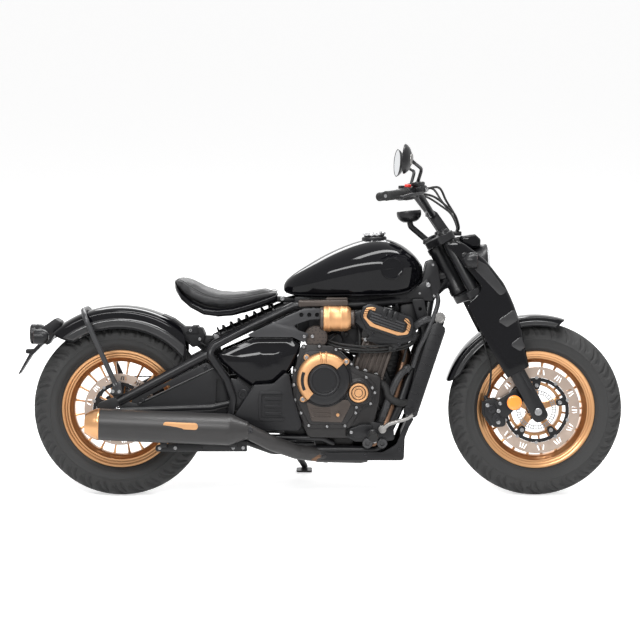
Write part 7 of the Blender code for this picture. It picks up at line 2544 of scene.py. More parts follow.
        def outline(grow: float) -> list[tuple[float, float]]:
            """The raised box's outline, grown by so much."""
            return rounded([
                (-0.062 - grow, 0.16 - grow), (0.066 + grow, 0.16 - grow), (0.102 + grow, 0.188), (0.1 + grow, 0.224),
                (0.084 + grow, 0.252 + grow), (-0.076 - grow, 0.252 + grow), (-0.098 - grow, 0.23),
                (-0.098 - grow, 0.196),
            ], 0.014, 5)

        def layer(made: Shape, shape: Profile, near: float, far: float, soft: float) -> None:
            """One layer of the cover, from |y| near to far."""
            made.plate(shape, side * near, side * far, soft)

        body = Shape(tilt)
        layer(body, rounded([
            (-0.06, 0.118), (0.064, 0.114), (0.08, 0.15), (0.126, 0.178), (0.122, 0.202), (0.1, 0.216), (-0.1, 0.216),
            (-0.124, 0.192), (-0.112, 0.17), (-0.088, 0.16), (-0.03, 0.134),
        ], 0.01), 0.1283, 0.146, 0.004)
        layer(body, outline(0.0), 0.14, 0.169, 0.006)
        layer(body, outline(-0.028), 0.16, 0.1725, 0.0015)
        for x in (-0.016, 0.004, 0.024):
            body.block((x - 0.0085, side * 0.16, 0.214), (x + 0.0085, side * 0.1775, 0.252), 0.003)
        body.done(f"head_cover_body_{word}", SATIN_BLACK, "frame", [f"head_cover_{word}"])
        trim = Shape(tilt)
        layer(trim, outline(-0.0115), 0.16, 0.177, 0.0022)
        inner = Shape(tilt)
        layer(inner, outline(-0.0235), 0.15, 0.19, 0.0)
        trim.cut(inner)
        trim.cut(Shape(tilt).block((-0.052, side * 0.15, 0.206), (0.06, side * 0.19, 0.262)))
        for x in (-0.072, 0.078):
            for k in range(4):
                slash = Shape(tilt)
                slash.block(
                    (-0.02, side * 0.169, -0.0017), (0.02, side * 0.19, 0.0017),
                    at=Matrix.Translation((x, 0, 0.204 + 0.0085 * k)) @ Matrix.Rotation(
                        math.radians(-24 if x < 0 else 24), 4, "Y",
                    ),
                )
                trim.cut(slash)
        trim.done(f"head_cover_trim_{word}", BRONZE_SATIN, "frame", soft=0.0004, sharp=45)
        bars = Shape(tilt)
        for k in range(4):
            z = 0.19 + 0.01 * k
            bars.plate(
                rounded([(-0.06, z - 0.0028), (0.066, z - 0.0028), (0.066, z + 0.0028), (-0.06, z + 0.0028)], 0.002),
                side * 0.168, side * 0.1765, 0.001,
            )
        bars.done(f"head_cover_bars_{word}", DARK_GREY, "frame")
        bolts = Shape(tilt)
        for x, z in ((-0.112, 0.184), (0.114, 0.188), (-0.03, 0.146), (0.072, 0.142)):
            bolts.bolt((x, side * 0.1455, z), (0, side, 0), 0.0062, 0.005)
        bolts.done(f"head_cover_bolts_{word}", BLACK_BOLT, "frame", soft=0.0004)

    def _intake(self) -> None:
        """The box under the tank, the bronze canister beside it, and the parts around them."""
        box = Shape()
        box.plate(
            rounded([(0.69, 0.59), (0.85, 0.585), (0.866, 0.64), (0.85, 0.69), (0.69, 0.69)], 0.012), -0.078, 0.078,
            0.006,
        )
        for y in (-0.052, 0.0, 0.052):
            box.plate(
                rounded([(0.687, 0.6), (0.853, 0.594), (0.869, 0.64), (0.853, 0.6915), (0.687, 0.6915)], 0.012),
                y - 0.002, y + 0.002,
            )
        box.done("airbox_shell", PLASTIC, "frame", ["airbox"])
        can = Shape()
        can.turn((0.7443, -0.136, 0.66), (1.0, -0.136, 0.66), [
            (0.038, 0.0), (0.0455, 0.001), (0.047, 0.003), (0.047, 0.016), (0.0482, 0.018), (0.0482, 0.024),
            (0.0468, 0.026), (0.0468, 0.06), (0.0482, 0.062), (0.0482, 0.068), (0.047, 0.07), (0.047, 0.084),
            (0.0455, 0.088), (0.039, 0.097), (0.036, 0.1), (0.02, 0.1),
        ], 90)
        can.done("intake_canister_body", BRONZE_SATIN, "frame", ["intake_canister"], soft=0.0006)
        band = Shape()
        band.turn((0.732, -0.136, 0.66), (1.0, -0.136, 0.66), [(0.04, 0.0), (0.044, 0.003), (0.044, 0.013)], 60)
        band.turn((0.8425, -0.136, 0.66), (1.0, -0.136, 0.66), [(0.03, 0.0), (0.03, 0.012), (0.026, 0.016)], 60)
        band.plate(
            rounded([(0.654, 0.702), (0.834, 0.706), (0.834, 0.727), (0.654, 0.725)], 0.005), -0.152, -0.07, 0.003,
        )
        band.done("under_tank_rail", ENGINE_BROWN, "frame", soft=0.0006)
        strip = Shape()
        strip.plate(
            rounded([(0.752, 0.7275), (0.832, 0.7285), (0.832, 0.735), (0.758, 0.735)], 0.002), -0.148, -0.1, 0.001,
        )
        strip.done("under_tank_strip", ENGINE_BROWN, "frame", soft=0.0005)
        horn = Shape()
        horn.across(
            *self.horn, -0.128, -1, [(0.04, 0.0), (0.043, 0.004), (0.043, 0.018), (0.04, 0.024), (0.02, 0.026)], 56,
        )
        horn.done("horn_disc", ENGINE_BROWN, "frame", soft=0.0006)
        dots = Shape()
        for ring, count in ((0.014, 6), (0.026, 12), (0.036, 16)):
            for k in range(count):
                dots.across(*polar(self.horn, ring, 360 * k / count), -0.1515, -1, [(0.0022, 0), (0.0022, 0.0032)], 8)
        dots.done("horn_holes", SATIN_BLACK, "frame")


@dataclass
class Cooling:
    """The raked radiator: core, side tanks, guards, cap and hoses."""

    tanks: float = 0.128

    def build(self) -> None:
        """Makes the radiator and its hoses."""
        place = STANCE.radiator
        guards = Shape(place)
        for side in SIDES.values():
            guards.plate(
                rounded([(-0.026, -0.006), (0.024, -0.012), (0.024, 0.336), (-0.012, 0.35), (-0.03, 0.33)], 0.01),
                side * 0.108, side * self.tanks, 0.003,
            )
            for k in range(11):
                z = 0.02 + 0.028 * k
                guards.block((-0.022, side * 0.126, z), (0.02, side * 0.1296, z + 0.0025), 0.0008)
        guards.block((-0.013, -0.11, -0.002), (0.013, 0.11, 0.014), 0.003)
        guards.block((-0.013, -0.11, 0.318), (0.013, 0.11, 0.334), 0.003)
        guards.turn((0.0, -0.094, 0.325), (0.0, -0.094, 1.0), [(0.014, 0.0), (0.014, 0.029)], 32)
        guards.done("radiator_guards", SATIN_BLACK, "frame", ["radiator"])
        guards = Shape(place)
        guards.plate(
            rounded([(-0.044, 0.05), (-0.012, 0.03), (-0.012, 0.314), (-0.044, 0.3)], 0.008), -0.102, 0.102, 0.004,
        )
        guards.turn(
            (-0.042, 0.0, 0.17), (-1, 0.0, 0.17), [(0.036, 0.0), (0.036, 0.02), (0.031, 0.026), (0.012, 0.028)], 40,
        )
        guards.turn((-0.006, -0.086, 0.33), (-0.006, -0.086, 1.0), [(0.015, 0.0), (0.015, 0.04)], 32)
        guards.across(-0.008, 0.364, -0.08, -1, [(0.0165, 0.0), (0.0165, 0.03)], 32)
        guards.done("radiator_fan_shroud", PLASTIC, "frame", soft=0.0006)
        strip = Shape(place)
        for side in SIDES.values():
            strip.block((0.022, side * 0.104, 0.006), (0.0262, side * 0.1275, 0.326), 0.0012)
        strip.done("radiator_front_strips", DARK_GREY, "frame")
        core = Shape(place)
        tube = Shape(place)
        tube.block((-0.01, -0.108, -0.0012), (0.01, 0.108, 0.0012))
        core.spread(tube, [Matrix.Translation((0, 0, 0.018 + 0.0099 * k)) for k in range(31)])
        fin = Shape(place)
        fin.block((-0.009, -0.0003, 0.012), (0.009, 0.0003, 0.32))
        core.spread(fin, [Matrix.Translation((0, -0.105 + 0.00284 * k, 0)) for k in range(75)])
        core.done("radiator_core", PLASTIC, "frame")
        cap = Shape(place)
        levels = (
            (0, 0.01886, 0), (0.002, 0.0207, 0.001104), (0.011, 0.0207, 0.001104), (0.0135, 0.01886, 0.000552),
            (0.0138, 0.01426, 0), (0.011, 0.01334, 0), (0.011, 0.006624, 0), (0.0138, 0.006072, 0),
            (0.0138, 0.00092, 0),
        )
        cap.loft(scalloped(levels, 14, 112), at=towards((-0.008, -0.106, 0.364), (-0.008, -1.0, 0.364)))
        cap.done("radiator_cap", CAST_SILVER, "frame", soft=0.0003)
        hoses = Shape()
        hoses.pipe(
            flowing(
                [
                    (1.15, -0.1, 0.64), (1.12, -0.118, 0.655), (1.08, -0.112, 0.63), (1.052, -0.096, 0.6),
                    (1.02, -0.08, 0.6),
                ],
                8,
            ),
            0.0135, 20,
        )
        hoses.done("coolant_hose_upper", HOSE, "frame")
        lower = Shape()
        route = flowing(
            [
                (1.06, -0.106, 0.35), (1.02, -0.128, 0.352), (0.985, -0.128, 0.372), (0.968, -0.124, 0.412),
                (0.94, -0.118, 0.43),
            ],
            12,
        )
        lower.pipe(route, [0.0135 + 0.0012 * (k % 2) for k in range(len(route))], 18)
        lower.done("coolant_hose_lower", RUBBER, "frame")
        wires = Shape()
        wires.pipe(
            flowing(
                [
                    (1.16, -0.044, 0.752), (1.164, -0.078, 0.716), (1.146, -0.116, 0.664), (1.118, -0.126, 0.6),
                    (1.092, -0.122, 0.548), (1.07, -0.12, 0.48),
                ],
                8,
            ),
            0.0085, 14,
        )
        wires.done("braided_line", HOSE, "frame")


@dataclass
class Exhaust:
    """Both header pipes, the muffler with its bronze end cap, and the hanger."""

    start: tuple = (0.47, -0.235, 0.262)
    end: tuple = (-0.058, -0.245, 0.285)

    def build(self) -> None:
        """Makes the pipes, muffler and cap."""
        pipes = Shape()
        for side in (-1, 1):
            y = 0.055 * side
            pipes.pipe(bent([
                (0.992, y, 0.598), (1.052, y * 1.05, 0.54), (1.01, y * 1.2 - 0.02, 0.38), (0.96, y * 0.9 - 0.06, 0.23),
                (0.88, -0.075 + 0.022 * side, 0.15), (0.7, -0.105 + 0.02 * side, 0.158),
            ], 0.06, 9), 0.02, 26)
        pipes.done("header_pipes", HEADER, "frame", ["exhaust_headers"])
        link = Shape()
        link.pipe(
            bent([(0.76, -0.098, 0.156), (0.65, -0.14, 0.174), (0.56, -0.205, 0.212), (0.462, -0.234, 0.264)], 0.05, 9),
            0.0275, 32,
        )
        for half in (-1, 1):
            link.pipe(
                [
                    (0.905, -0.076 + 0.022 * half, 0.151), (0.88, -0.077 + 0.022 * half, 0.15),
                    (0.72, -0.1 + 0.018 * half, 0.157),
                ],
                [0.0195, 0.0225, 0.0235], 24,
            )
        link.done("exhaust_link_pipe", MUFFLER_BLACK, "frame")
        clamps = Shape()
        for a, b in (((0.56, -0.196, 0.208), (0.548, -0.204, 0.213)), ((0.486, -0.225, 0.253), (0.474, -0.229, 0.259))):
            mid = (Vector(a) + Vector(b)) / 2
            start = mid + Vector((0.0, -0.024, 0.008))
            clamps.turn(
                start, start + Vector((0, -0.9, 0.35)),
                [(0.0115, 0.0), (0.0115, 0.006), (0.01, 0.007), (0.0078, 0.007), (0.0072, 0.003)], 32,
            )
            clamps.bolt(start + Vector((0, -0.003, 0.001)), (0, -0.9, 0.35), 0.0055, 0.005)
        clamps.done("exhaust_link_bolts", BLACK_BOLT, "frame", soft=0.0004)
        way = Vector(self.end) - Vector(self.start)
        long, along = way.length, way.normalized()
        can = Shape()
        can.turn(self.start, self.end, [
            (0.03, -0.004), (0.0325, 0.0), (0.0335, 0.006), (0.0555, 0.058), (0.0568, 0.063), (0.057, 0.07),
            (0.057, long - 0.004), (0.056, long),
        ], 110)
        can.done("muffler_body", MUFFLER_BLACK, "frame", ["muffler"], sharp=30)
        place = Shape()
        badge = Vector(self.start) + along * 0.235 + Vector((0, -0.0556, 0.012))
        outline = rounded([(-0.062, -0.012), (0.062, -0.012), (0.062, 0.012), (-0.062, 0.012)], 0.0118, 8)
        turn = Matrix.Translation(badge) @ Matrix.Rotation(math.atan2(along.z, -along.x), 4, "Y")
        place.plate(outline, -0.0012, 0.003, 0.0006, at=turn)
        place.done("muffler_blank_badge", BRONZE_SATIN, "frame")
        cap = Shape()
        far = Vector(self.end) + along * 0.0003
        cap.turn(far, far + along, [
            (0.0565, 0.0), (0.0575, 0.0015), (0.0575, 0.006), (0.0565, 0.0085), (0.0555, 0.0105), (0.055, 0.015),
            (0.048, 0.03), (0.04, 0.044), (0.0355, 0.051), (0.0335, 0.0525), (0.029, 0.052), (0.027, 0.049),
            (0.0262, 0.03), (0.0262, 0.02),
        ], 100)
        cap.done("muffler_cap_cone", BRONZE, "frame", ["muffler_end_cap"], sharp=50)
        dark = Shape()
        dark.turn(far, far + along, [(0.0258, 0.0195), (0.0258, 0.0215)], 48)
        dark.done("muffler_bore", SATIN_BLACK, "frame")
        hanger = Shape()
        hanger.plate(
            rounded([(0.3, 0.184, 0.004), (0.47, 0.184, 0.004), (0.47, 0.222, 0.004), (0.3, 0.222)], 0.01, 6), -0.222,
            -0.214, 0.001,
        )
        hanger.plate(
            rounded([(0.14, 0.184), (0.31, 0.184), (0.31, 0.214), (0.22, 0.214), (0.14, 0.208)], 0.012, 6), -0.226,
            -0.216, 0.002,
        )
        for x in (0.17, 0.42):
            hanger.block((x - 0.012, -0.24, 0.2), (x + 0.012, -0.214, 0.222), 0.002)
        hanger.pipe([(0.42, -0.214, 0.197), (0.44, -0.15, 0.19), (0.455, -0.112, 0.186)], 0.008, 16)
        hanger.done("muffler_hanger", SATIN_BLACK, "frame", soft=0.0005)
        bolts = Shape()
        for x, y in ((0.156, -0.226), (0.212, -0.226), (0.42, -0.222), (0.456, -0.222)):
            bolts.bolt((x, y, 0.198), (0, -1, 0), 0.0062, 0.006)
        bolts.done("muffler_hanger_bolts", ZINC, "frame", soft=0.0004)


@dataclass
class FootControls:
    """The forward foot controls: bracket, rest, and the pedal or gear lever."""

    plate_y: float = 0.1375

    def build(self) -> None:
        """Makes both sides."""
        for word, side in SIDES.items():
            self._one(word, side)

    def _one(self, word: str, side: int) -> None:
        """One foot control.

        Args:
            word: The side's name.
            side: Its sign on Y.
        """
        bracket = Shape()
        outline = rounded([
            (0.822, 0.232), (0.822, 0.262), (0.88, 0.284), (0.93, 0.284), (0.96, 0.276), (1.0, 0.256), (1.004, 0.218),
            (0.96, 0.212), (0.86, 0.212),
        ], 0.012)
        bracket.plate(outline, side * self.plate_y, side * 0.15, 0.002)
        bracket.plate(
            rounded(
                [(0.838, 0.236), (0.838, 0.258), (0.884, 0.274), (0.924, 0.274), (0.924, 0.226), (0.866, 0.226)], 0.008,
            ),
            side * 0.148, side * 0.1545, 0.002,
        )
        bracket.across(
            0.924, 0.238, side * 0.146, side, [(0.02, 0.0), (0.02, 0.022), (0.015, 0.026), (0.014, 0.04)], 36,
        )
        bracket.across(0.958, 0.26, side * 0.146, side, [(0.0135, 0.0), (0.0135, 0.032)], 32)
        bracket.done(f"foot_bracket_{word}", SATIN_BLACK, "frame", [f"foot_control_{word}"])
        rest = Shape()
        profile = [(0.0145, 0.036), (0.0168, 0.038)]
        for k in range(9):
            at = 0.041 + 0.0075 * k
            profile += [(0.0168, at), (0.0168, at + 0.0042), (0.0152, at + 0.0052), (0.0152, at + 0.0066)]
        profile += [(0.0168, 0.1085), (0.017, 0.113), (0.015, 0.116)]
        rest.across(0.924, 0.238, side * 0.146, side, profile, 36)
        rest.across(
            1.074, 0.322, side * 0.199, side, [(0.0085, 0), (0.0092, 0.002), (0.0092, 0.043), (0.008, 0.046)], 28,
        )
        rest.done(f"foot_rest_{word}", RUBBER, "frame")
        lever = Shape()
        lever.pipe(
            flowing(
                [
                    (0.958, side * 0.178, 0.26), (0.982, side * 0.182, 0.279), (1.014, side * 0.189, 0.29),
                    (1.048, side * 0.197, 0.302), (1.074, side * 0.203, 0.322),
                ],
                8,
            ),
            [0.0086 - 0.00009 * k for k in range(33)], 16,
        )
        lever.across(0.958, 0.26, side * 0.17, side, [(0.0145, 0.0), (0.0145, 0.014), (0.0125, 0.0155)], 32)
        lever.across(1.074, 0.322, side * 0.196, side, [(0.0062, 0), (0.0062, 0.006)], 24)
        lever.done(f"foot_lever_{word}", CAST_SILVER, "frame", soft=0.0004)
        bolts = Shape()
        for x in (0.905, 0.958):
            bolts.turn(
                (x, side * 0.1378, 0.211), (x, side * 0.162, 0.2055),
                [(0.0185, 0.0), (0.019, 0.002), (0.019, 0.021), (0.017, 0.0235), (0.0085, 0.0235), (0.0078, 0.019)], 40,
            )
        bolts.done(f"foot_bracket_bolts_{word}", DARK_GREY, "frame", soft=0.0005)
        small = Shape()
        small.bolt((0.9315, side * 0.152, 0.214), (0, side, 0), 0.006, 0.006, hexed=True)
        small.bolt((0.846, side * 0.1545, 0.247), (0, side, 0), 0.006, 0.005)
        small.done(f"foot_bracket_screws_{word}", ZINC, "frame", soft=0.0003)


@dataclass
class LowerTrim:
    """The belly pan, the cowl at the steering head, the belt drive and the side stand."""

    head_cowl_half: float = 0.06
    belt_y: float = 0.095
    belt_half_width: float = 0.01
    pulley_radii: tuple = (0.1045, 0.0412)
    tooth_pitch: float = 0.008
    stand_foot: tuple = (0.672, 0.3, 0.0507)

    def build(self) -> None:
        """Makes all of them."""
        self._belly()
        self._head_cowl()
        self._belt()
        self._stand()

    def _belly(self) -> None:
        """The open trough under the engine."""
        outer = Shape()
        outer.plate(rounded([
            (0.717, 0.17), (0.727, 0.142, 0.008), (1.038, 0.142, 0.012), (1.041, 0.224, 0.04), (1.056, 0.262, 0.04),
            (1.075, 0.296, 0.004), (1.05, 0.296, 0.004), (1.01, 0.2, 0.03), (0.96, 0.172, 0.02),
        ], 0.004), -0.137, 0.137, 0.005)
        hollow = Shape()
        hollow.plate(
            [(0.69, 0.1465), (1.03, 0.1465), (1.033, 0.226), (1.049, 0.264), (1.066, 0.32), (1.0, 0.34), (0.69, 0.3)],
            -0.1325, 0.1325,
        )
        outer.cut(hollow)
        outer.done("belly_pan_shell", PLASTIC, "frame", ["belly_pan"], soft=0.0006)
        bolts = Shape()
        for side in SIDES.values():
            for x, z in ((0.745, 0.16), (0.9, 0.16), (1.022, 0.18)):
                bolts.bolt((x, side * 0.1365, z), (0, side, 0), 0.0062, 0.004)
        bolts.done("belly_pan_bolts", BLACK_BOLT, "frame", soft=0.0003)

    def _head_cowl(self) -> None:
        """The satin panels on each side of the steering head, with their bolts."""
        outline = rounded(
            [(1.07, 0.742), (1.105, 0.79), (1.122, 0.862), (1.15, 0.872), (1.166, 0.842), (1.176, 0.77), (1.15, 0.722)],
            0.012,
        )
        panel, bolts = Shape(), Shape()
        for side in SIDES.values():
            panel.plate(outline, side * 0.046, side * self.head_cowl_half, 0.004)
            bolts.bolt((1.146, side * self.head_cowl_half, 0.852), (0, side, 0), 0.005, 0.004)
            bolts.bolt((1.15, side * self.head_cowl_half, 0.738), (0, side, 0), 0.005, 0.004)
            panel.plate(
                rounded([(1.034, 0.73), (1.128, 0.806), (1.148, 0.718)], 0.008, 5), side * 0.06, side * 0.07, 0.002,
            )
            bolts.bolt((1.128, side * 0.07, 0.779), (0, side, 0), 0.0085, 0.006)
            bolts.bolt((1.097, side * 0.07, 0.748), (0, side, 0), 0.0045, 0.003)
            gusset = Shape()
            gusset.plate(
                rounded([(1.066, 0.728), (1.112, 0.728), (1.138, 0.6), (1.112, 0.582)], 0.008, 5), side * 0.08,
                side * 0.087, 0.0015,
            )
            for x, z in ((1.098, 0.692), (1.108, 0.654)):
                gusset.cut(Shape().across(x, z, side * 0.07, side, [(0.0065, 0.0), (0.0065, 0.03)], 24))
            panel.take(gusset.mesh)
            panel.across(1.12, 0.612, side * 0.06, side, [(0.008, 0.0), (0.008, 0.03)], 18)
            panel.plate(
                rounded([(1.044, 0.738), (1.086, 0.7), (1.12, 0.655), (1.146, 0.69), (1.15, 0.76), (1.1, 0.77)], 0.01),
                side * 0.034, side * 0.046, 0.003,
            )
        panel.plate(
            rounded([(1.074, 0.75), (1.105, 0.792), (1.124, 0.858), (1.146, 0.866), (1.136, 0.8), (1.12, 0.745)], 0.01),
            -0.05, 0.05, 0.003,
        )
        panel.done("steering_head_panels", SATIN_BLACK, "frame", ["steering_head_cowl"], soft=0.0006)
        bolts.done("steering_head_bolts", ZINC, "frame", soft=0.0004)

    def _belt(self) -> None:
        """The toothed drive belt and the spoked rear pulley."""
        y, wide = self.belt_y, self.belt_half_width
        rear, front = Vector((0.0, REAR_AXLE_HEIGHT)), Vector(FRONT_PULLEY)
        big, small = self.pulley_radii
        span = front - rear
        lean = math.atan2(span.y, span.x)
        wrap = math.acos((big - small) / span.length)
        inner = []
        for k in range(61):
            a = lean + wrap + (math.tau - 2 * wrap) * k / 60
            inner.append(rear + Vector((math.cos(a), math.sin(a))) * big)
        for k in range(31):
            a = lean - wrap + 2 * wrap * k / 30
            inner.append(front + Vector((math.cos(a), math.sin(a))) * small)
        points = []
        for i, here in enumerate(inner):
            there = inner[(i + 1) % len(inner)]
            steps = max(1, round((there - here).length / self.tooth_pitch))
            points += [here.lerp(there, k / steps) for k in range(steps)]
        rings = []
        for i, here in enumerate(points):
            way = (points[(i + 1) % len(points)] - points[i - 1]).normalized()
            out = Vector((way.y, -way.x))
            tooth = 0.0012 if i % 2 else 0.0
            low, high = here + out * tooth, here + out * 0.0042
            rings.append([
                (low.x, y - wide, low.y), (high.x, y - wide, high.y), (high.x, y + wide, high.y),
                (low.x, y + wide, low.y),
            ])
        belt = Shape()
        belt.loft([*rings, rings[0]], caps=False)
        bmesh.ops.remove_doubles(belt.mesh, verts=belt.mesh.verts, dist=MERGE_DISTANCE)
        bmesh.ops.recalc_face_normals(belt.mesh, faces=belt.mesh.faces)
        belt.done("drive_belt_loop", BELT, "frame", ["drive_belt"], sharp=30)
        hub = STANCE.rear_hub
        pulley = Shape(hub)
        pulley.across(
            0, 0, y - 0.012, 1, [(0.09, 0.001), (0.101, 0.0), (0.101, 0.0235), (0.09, 0.0225)], 130, closed=True,
        )
        pulley.across(
            0, 0, y - 0.012, 1, [(0.044, 0.002), (0.058, 0.002), (0.058, 0.02), (0.044, 0.02)], 60, closed=True,
        )
        tooth = Shape(hub)
        tooth.block((0.1005, y - 0.0105, -0.0019), (0.1032, y + 0.0105, 0.0019), 0.0008)
        pulley.spread(tooth, about_y(80))
        arm = Shape(hub)
        arm.loft([
            [(r, y + dy, dz) for dy, dz in ((-0.006, -w), (-0.006, w), (0.006, w), (0.006, -w))]
            for r, w in ((0.054, 0.013), (0.07, 0.009), (0.094, 0.012))
        ])
        pulley.spread(arm, about_y(5, 0.5))
        pulley.done("rear_belt_pulley", DARK_GREY, "rear_wheel", ["rear_pulley"], soft=0.0005)

    def _stand(self) -> None:
        """The side stand with its boss and foot, and the frame's bracket for it."""
        axis = (STANCE.machine.inverted().to_3x3() @ Vector(next(
            j["axis"]
            for j in frame["joints"] if j["name"] == "side_stand_fold"
        ))).normalized()
        pivot = STANCE.stand_pivot
        foot = Vector(self.stand_foot)
        up = (STANCE.machine.inverted().to_3x3() @ Vector((0, 0, 1))).normalized()
        ankle = foot + up * 0.012
        stand = Shape()
        route = flowing(
            [
                ankle - up * 0.006, ankle + up * 0.01, ankle.lerp(pivot, 0.35) + axis * 0.003,
                pivot + (ankle - pivot) * 0.08,
            ],
            8,
        )
        stand.pipe(route, [0.0125 - 0.001 * math.sin(math.pi * k / (len(route) - 1)) for k in range(len(route))], 20)
        half = axis * 0.014
        stand.turn(
            pivot - half, pivot + half,
            [(0.0088, 0), (0.02, 0), (0.021, 0.0012), (0.021, 0.0268), (0.02, 0.028), (0.0088, 0.028)], 44, closed=True,
        )
        lean = Matrix.Translation(foot) @ STANCE.machine.inverted().to_3x3().to_4x4()
        plate = rounded([(-0.03, -0.024), (0.03, -0.024), (0.03, 0.024), (-0.03, 0.024)], 0.01)
        stand.loft([[(x, y, z) for x, y in plate] for z in (0.0004, 0.007)], at=lean)
        stand.done("side_stand_leg", SATIN_BLACK, "side_stand", ["side_stand"], soft=0.0006)
        bracket = Shape()
        inner = 0.0146
        bracket.turn(pivot - axis * (inner + 0.003), pivot + axis, [(0.0075, 0), (0.0075, inner + 0.021)], 28)
        bracket.turn(pivot - axis * (inner + 0.005), pivot, [(0.019, 0.0), (0.019, 0.005)], 36)
        bracket.pipe(
            [(0.6, 0.115, 0.178), pivot - axis * 0.034, pivot - axis * (inner + 0.002)], [0.014, 0.013, 0.012], 22,
        )
        bracket.turn(pivot + axis * 0.0146, pivot + axis, [(0.0145, 0.0), (0.0145, 0.0022)], 6)
        bracket.done("side_stand_bracket", FRAME_BLACK, "frame", soft=0.0005)


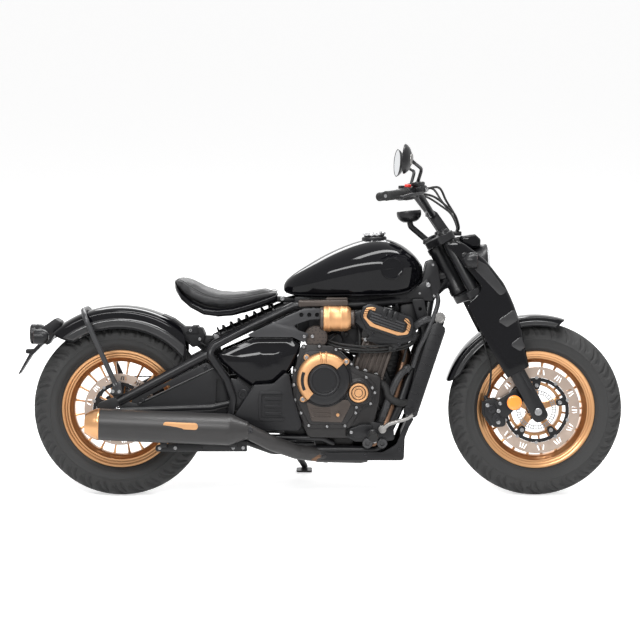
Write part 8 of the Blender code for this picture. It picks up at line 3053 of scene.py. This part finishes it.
@dataclass
class Studio:
    """A pale floor and soft light, and the camera at the photograph's viewing angle."""

    lens: float = 122.1
    eye: tuple = (0.7325, -8.0, 1.071)
    aim: tuple = (0.7325, 0.0, 0.6467)
    floor_size: float = 60.0
    floor_glow: float = 0.6
    world_light: float = 0.42

    def build(self) -> None:
        """Makes the floor, the lights and the camera."""
        self._floor()
        self._world()
        self._lights()
        self._camera()

    def _floor(self) -> None:
        """A large pale floor that keeps the machine's shadow."""
        mesh = bpy.data.meshes.new("floor")
        plane = bmesh.new()
        bmesh.ops.create_grid(plane, x_segments=1, y_segments=1, size=self.floor_size / 2)
        plane.to_mesh(mesh)
        plane.free()
        floor = bpy.data.objects.new("floor", mesh)
        bpy.context.collection.objects.link(floor)
        material = bpy.data.materials.new("studio_floor")
        material.use_nodes = True
        tree = material.node_tree
        shader = tree.nodes["Principled BSDF"]
        shader.inputs["Base Color"].default_value = (0.8, 0.8, 0.8, 1.0)
        shader.inputs["Roughness"].default_value = 0.8
        shader.inputs["Specular IOR Level"].default_value = 0.1
        glow = tree.nodes.new("ShaderNodeEmission")
        glow.inputs["Color"].default_value = (1.0, 1.0, 1.0, 1.0)
        tree.links.new(self._seen(tree, self.floor_glow, 0.0), glow.inputs["Strength"])
        both = tree.nodes.new("ShaderNodeAddShader")
        tree.links.new(shader.outputs["BSDF"], both.inputs[0])
        tree.links.new(glow.outputs["Emission"], both.inputs[1])
        tree.links.new(both.outputs["Shader"], tree.nodes["Material Output"].inputs["Surface"])
        mesh.materials.append(material)

    @staticmethod
    def _seen(tree: bpy.types.NodeTree, seen: float, unseen: float) -> bpy.types.NodeSocket:
        """A strength that differs where the camera, a gloss or a glass looks straight at the surface.

        Args:
            tree: The node tree to build it in.
            seen: The strength in the camera's, glossy and transmitted rays.
            unseen: The strength in all other rays, which light the machine.

        Returns:
            The socket that gives the strength.
        """
        path = tree.nodes.new("ShaderNodeLightPath")
        total = path.outputs["Is Camera Ray"]
        for name in ("Is Glossy Ray", "Is Transmission Ray"):
            either = tree.nodes.new("ShaderNodeMath")
            either.operation = "MAXIMUM"
            tree.links.new(total, either.inputs[0])
            tree.links.new(path.outputs[name], either.inputs[1])
            total = either.outputs[0]
        strength = tree.nodes.new("ShaderNodeMapRange")
        strength.inputs["To Min"].default_value = unseen
        strength.inputs["To Max"].default_value = seen
        tree.links.new(total, strength.inputs["Value"])
        return strength.outputs["Result"]

    def _world(self) -> None:
        """A white surround that lights the machine softly."""
        world = bpy.data.worlds.new("studio")
        bpy.context.scene.world = world
        world.use_nodes = True
        tree = world.node_tree
        back = tree.nodes["Background"]
        back.inputs["Color"].default_value = (1.0, 1.0, 1.0, 1.0)
        tree.links.new(self._seen(tree, 1.0, self.world_light), back.inputs["Strength"])

    def _lights(self) -> None:
        """Large softboxes above and behind, and a low one in front."""
        for name, at, aim, size, power in (
            ("key_light", (-1.2, -3.4, 3.2), (0.0, 0.0, 0.6), (3.4, 0.5), 130.0),
            ("top_light", (0.4, -0.3, 3.6), (0.2, 0.0, 0.5), (3.6, 0.5), 130.0),
            ("fill_light", (3.2, -2.6, 1.6), (0.3, 0.0, 0.5), (1.2, 1.2), 40.0),
            ("back_light", (-0.4, 3.2, 2.4), (0.0, 0.0, 0.6), (2.6, 1.0), 60.0),
        ):
            lamp = bpy.data.lights.new(name, "AREA")
            lamp.shape = "RECTANGLE"
            lamp.size, lamp.size_y = size
            lamp.energy = power
            holder = bpy.data.objects.new(name, lamp)
            holder.visible_glossy = name != "fill_light"
            holder.location = at
            holder.rotation_euler = (Vector(aim) - Vector(at)).to_track_quat("-Z", "Y").to_euler()
            bpy.context.collection.objects.link(holder)

    def _camera(self) -> None:
        """The camera, level with the leaning machine as the photograph shows it."""
        data = bpy.data.cameras.new("camera")
        data.sensor_width = 36.0
        data.lens = self.lens
        camera = bpy.data.objects.new("camera", data)
        eye, aim = STANCE.machine @ Vector(self.eye), STANCE.machine @ Vector(self.aim)
        back = (eye - aim).normalized()
        right = (STANCE.machine.to_3x3() @ Vector((0, 0, 1))).cross(back).normalized()
        turn = Matrix((right, back.cross(right), back)).transposed().to_4x4()
        camera.matrix_world = Matrix.Translation(eye) @ turn
        bpy.context.collection.objects.link(camera)
        bpy.context.scene.camera = camera


def main() -> None:
    """Builds every sub-assembly, then the studio around the machine."""
    logging.basicConfig(level=logging.INFO, format="%(name)s: %(message)s")
    bpy.context.scene.view_settings.view_transform = "Standard"
    rear_wheel = Wheel("rear", "rear_wheel", STANCE.rear_hub, 0.323, 0.075, 0.048, 0.07, 0.052, 0.034, 0, 30)
    front_wheel = Wheel("front", "front_wheel", STANCE.front_hub, 0.32, 0.065, 0.034, 0.058, 0.1, 0.02, 5, 30)
    rear_disc = Disc("rear_brake_disc", "rear_wheel", STANCE.rear_hub, 0.131, 0.1, 0.086, -0.0765, 5, 0.044, -0.052)
    front_disc = Disc(
        "front_brake_disc", "front_wheel", STANCE.front_hub, 0.159, 0.12, 0.106, -0.07, 5, 0.086, -0.019, 0.073,
    )
    rear_guard = Guard(
        "rear_mudguard", "frame", (0.0, REAR_AXLE_HEIGHT), 0.379, 0.096, 0.3, 56, 131, 37, "rear_mudguard",
    )
    front_guard = Guard(
        "front_mudguard", "front_end", (WHEELBASE, 0.32), 0.348, 0.075, 0.311, 72, 162, 76, "front_mudguard",
    )
    for assembly in (
        rear_wheel, front_wheel, rear_disc, front_disc, Tank(), Seat(), rear_guard, front_guard, Tail(), Chassis(),
        SideCovers(), Fork(), Headlight(), Bars(), Engine(), Cooling(), Exhaust(), FootControls(), LowerTrim(),
        Studio(),
    ):
        assembly.build()
        LOG.info("%s built", type(assembly).__name__)


if __name__ == "__main__":
    main()
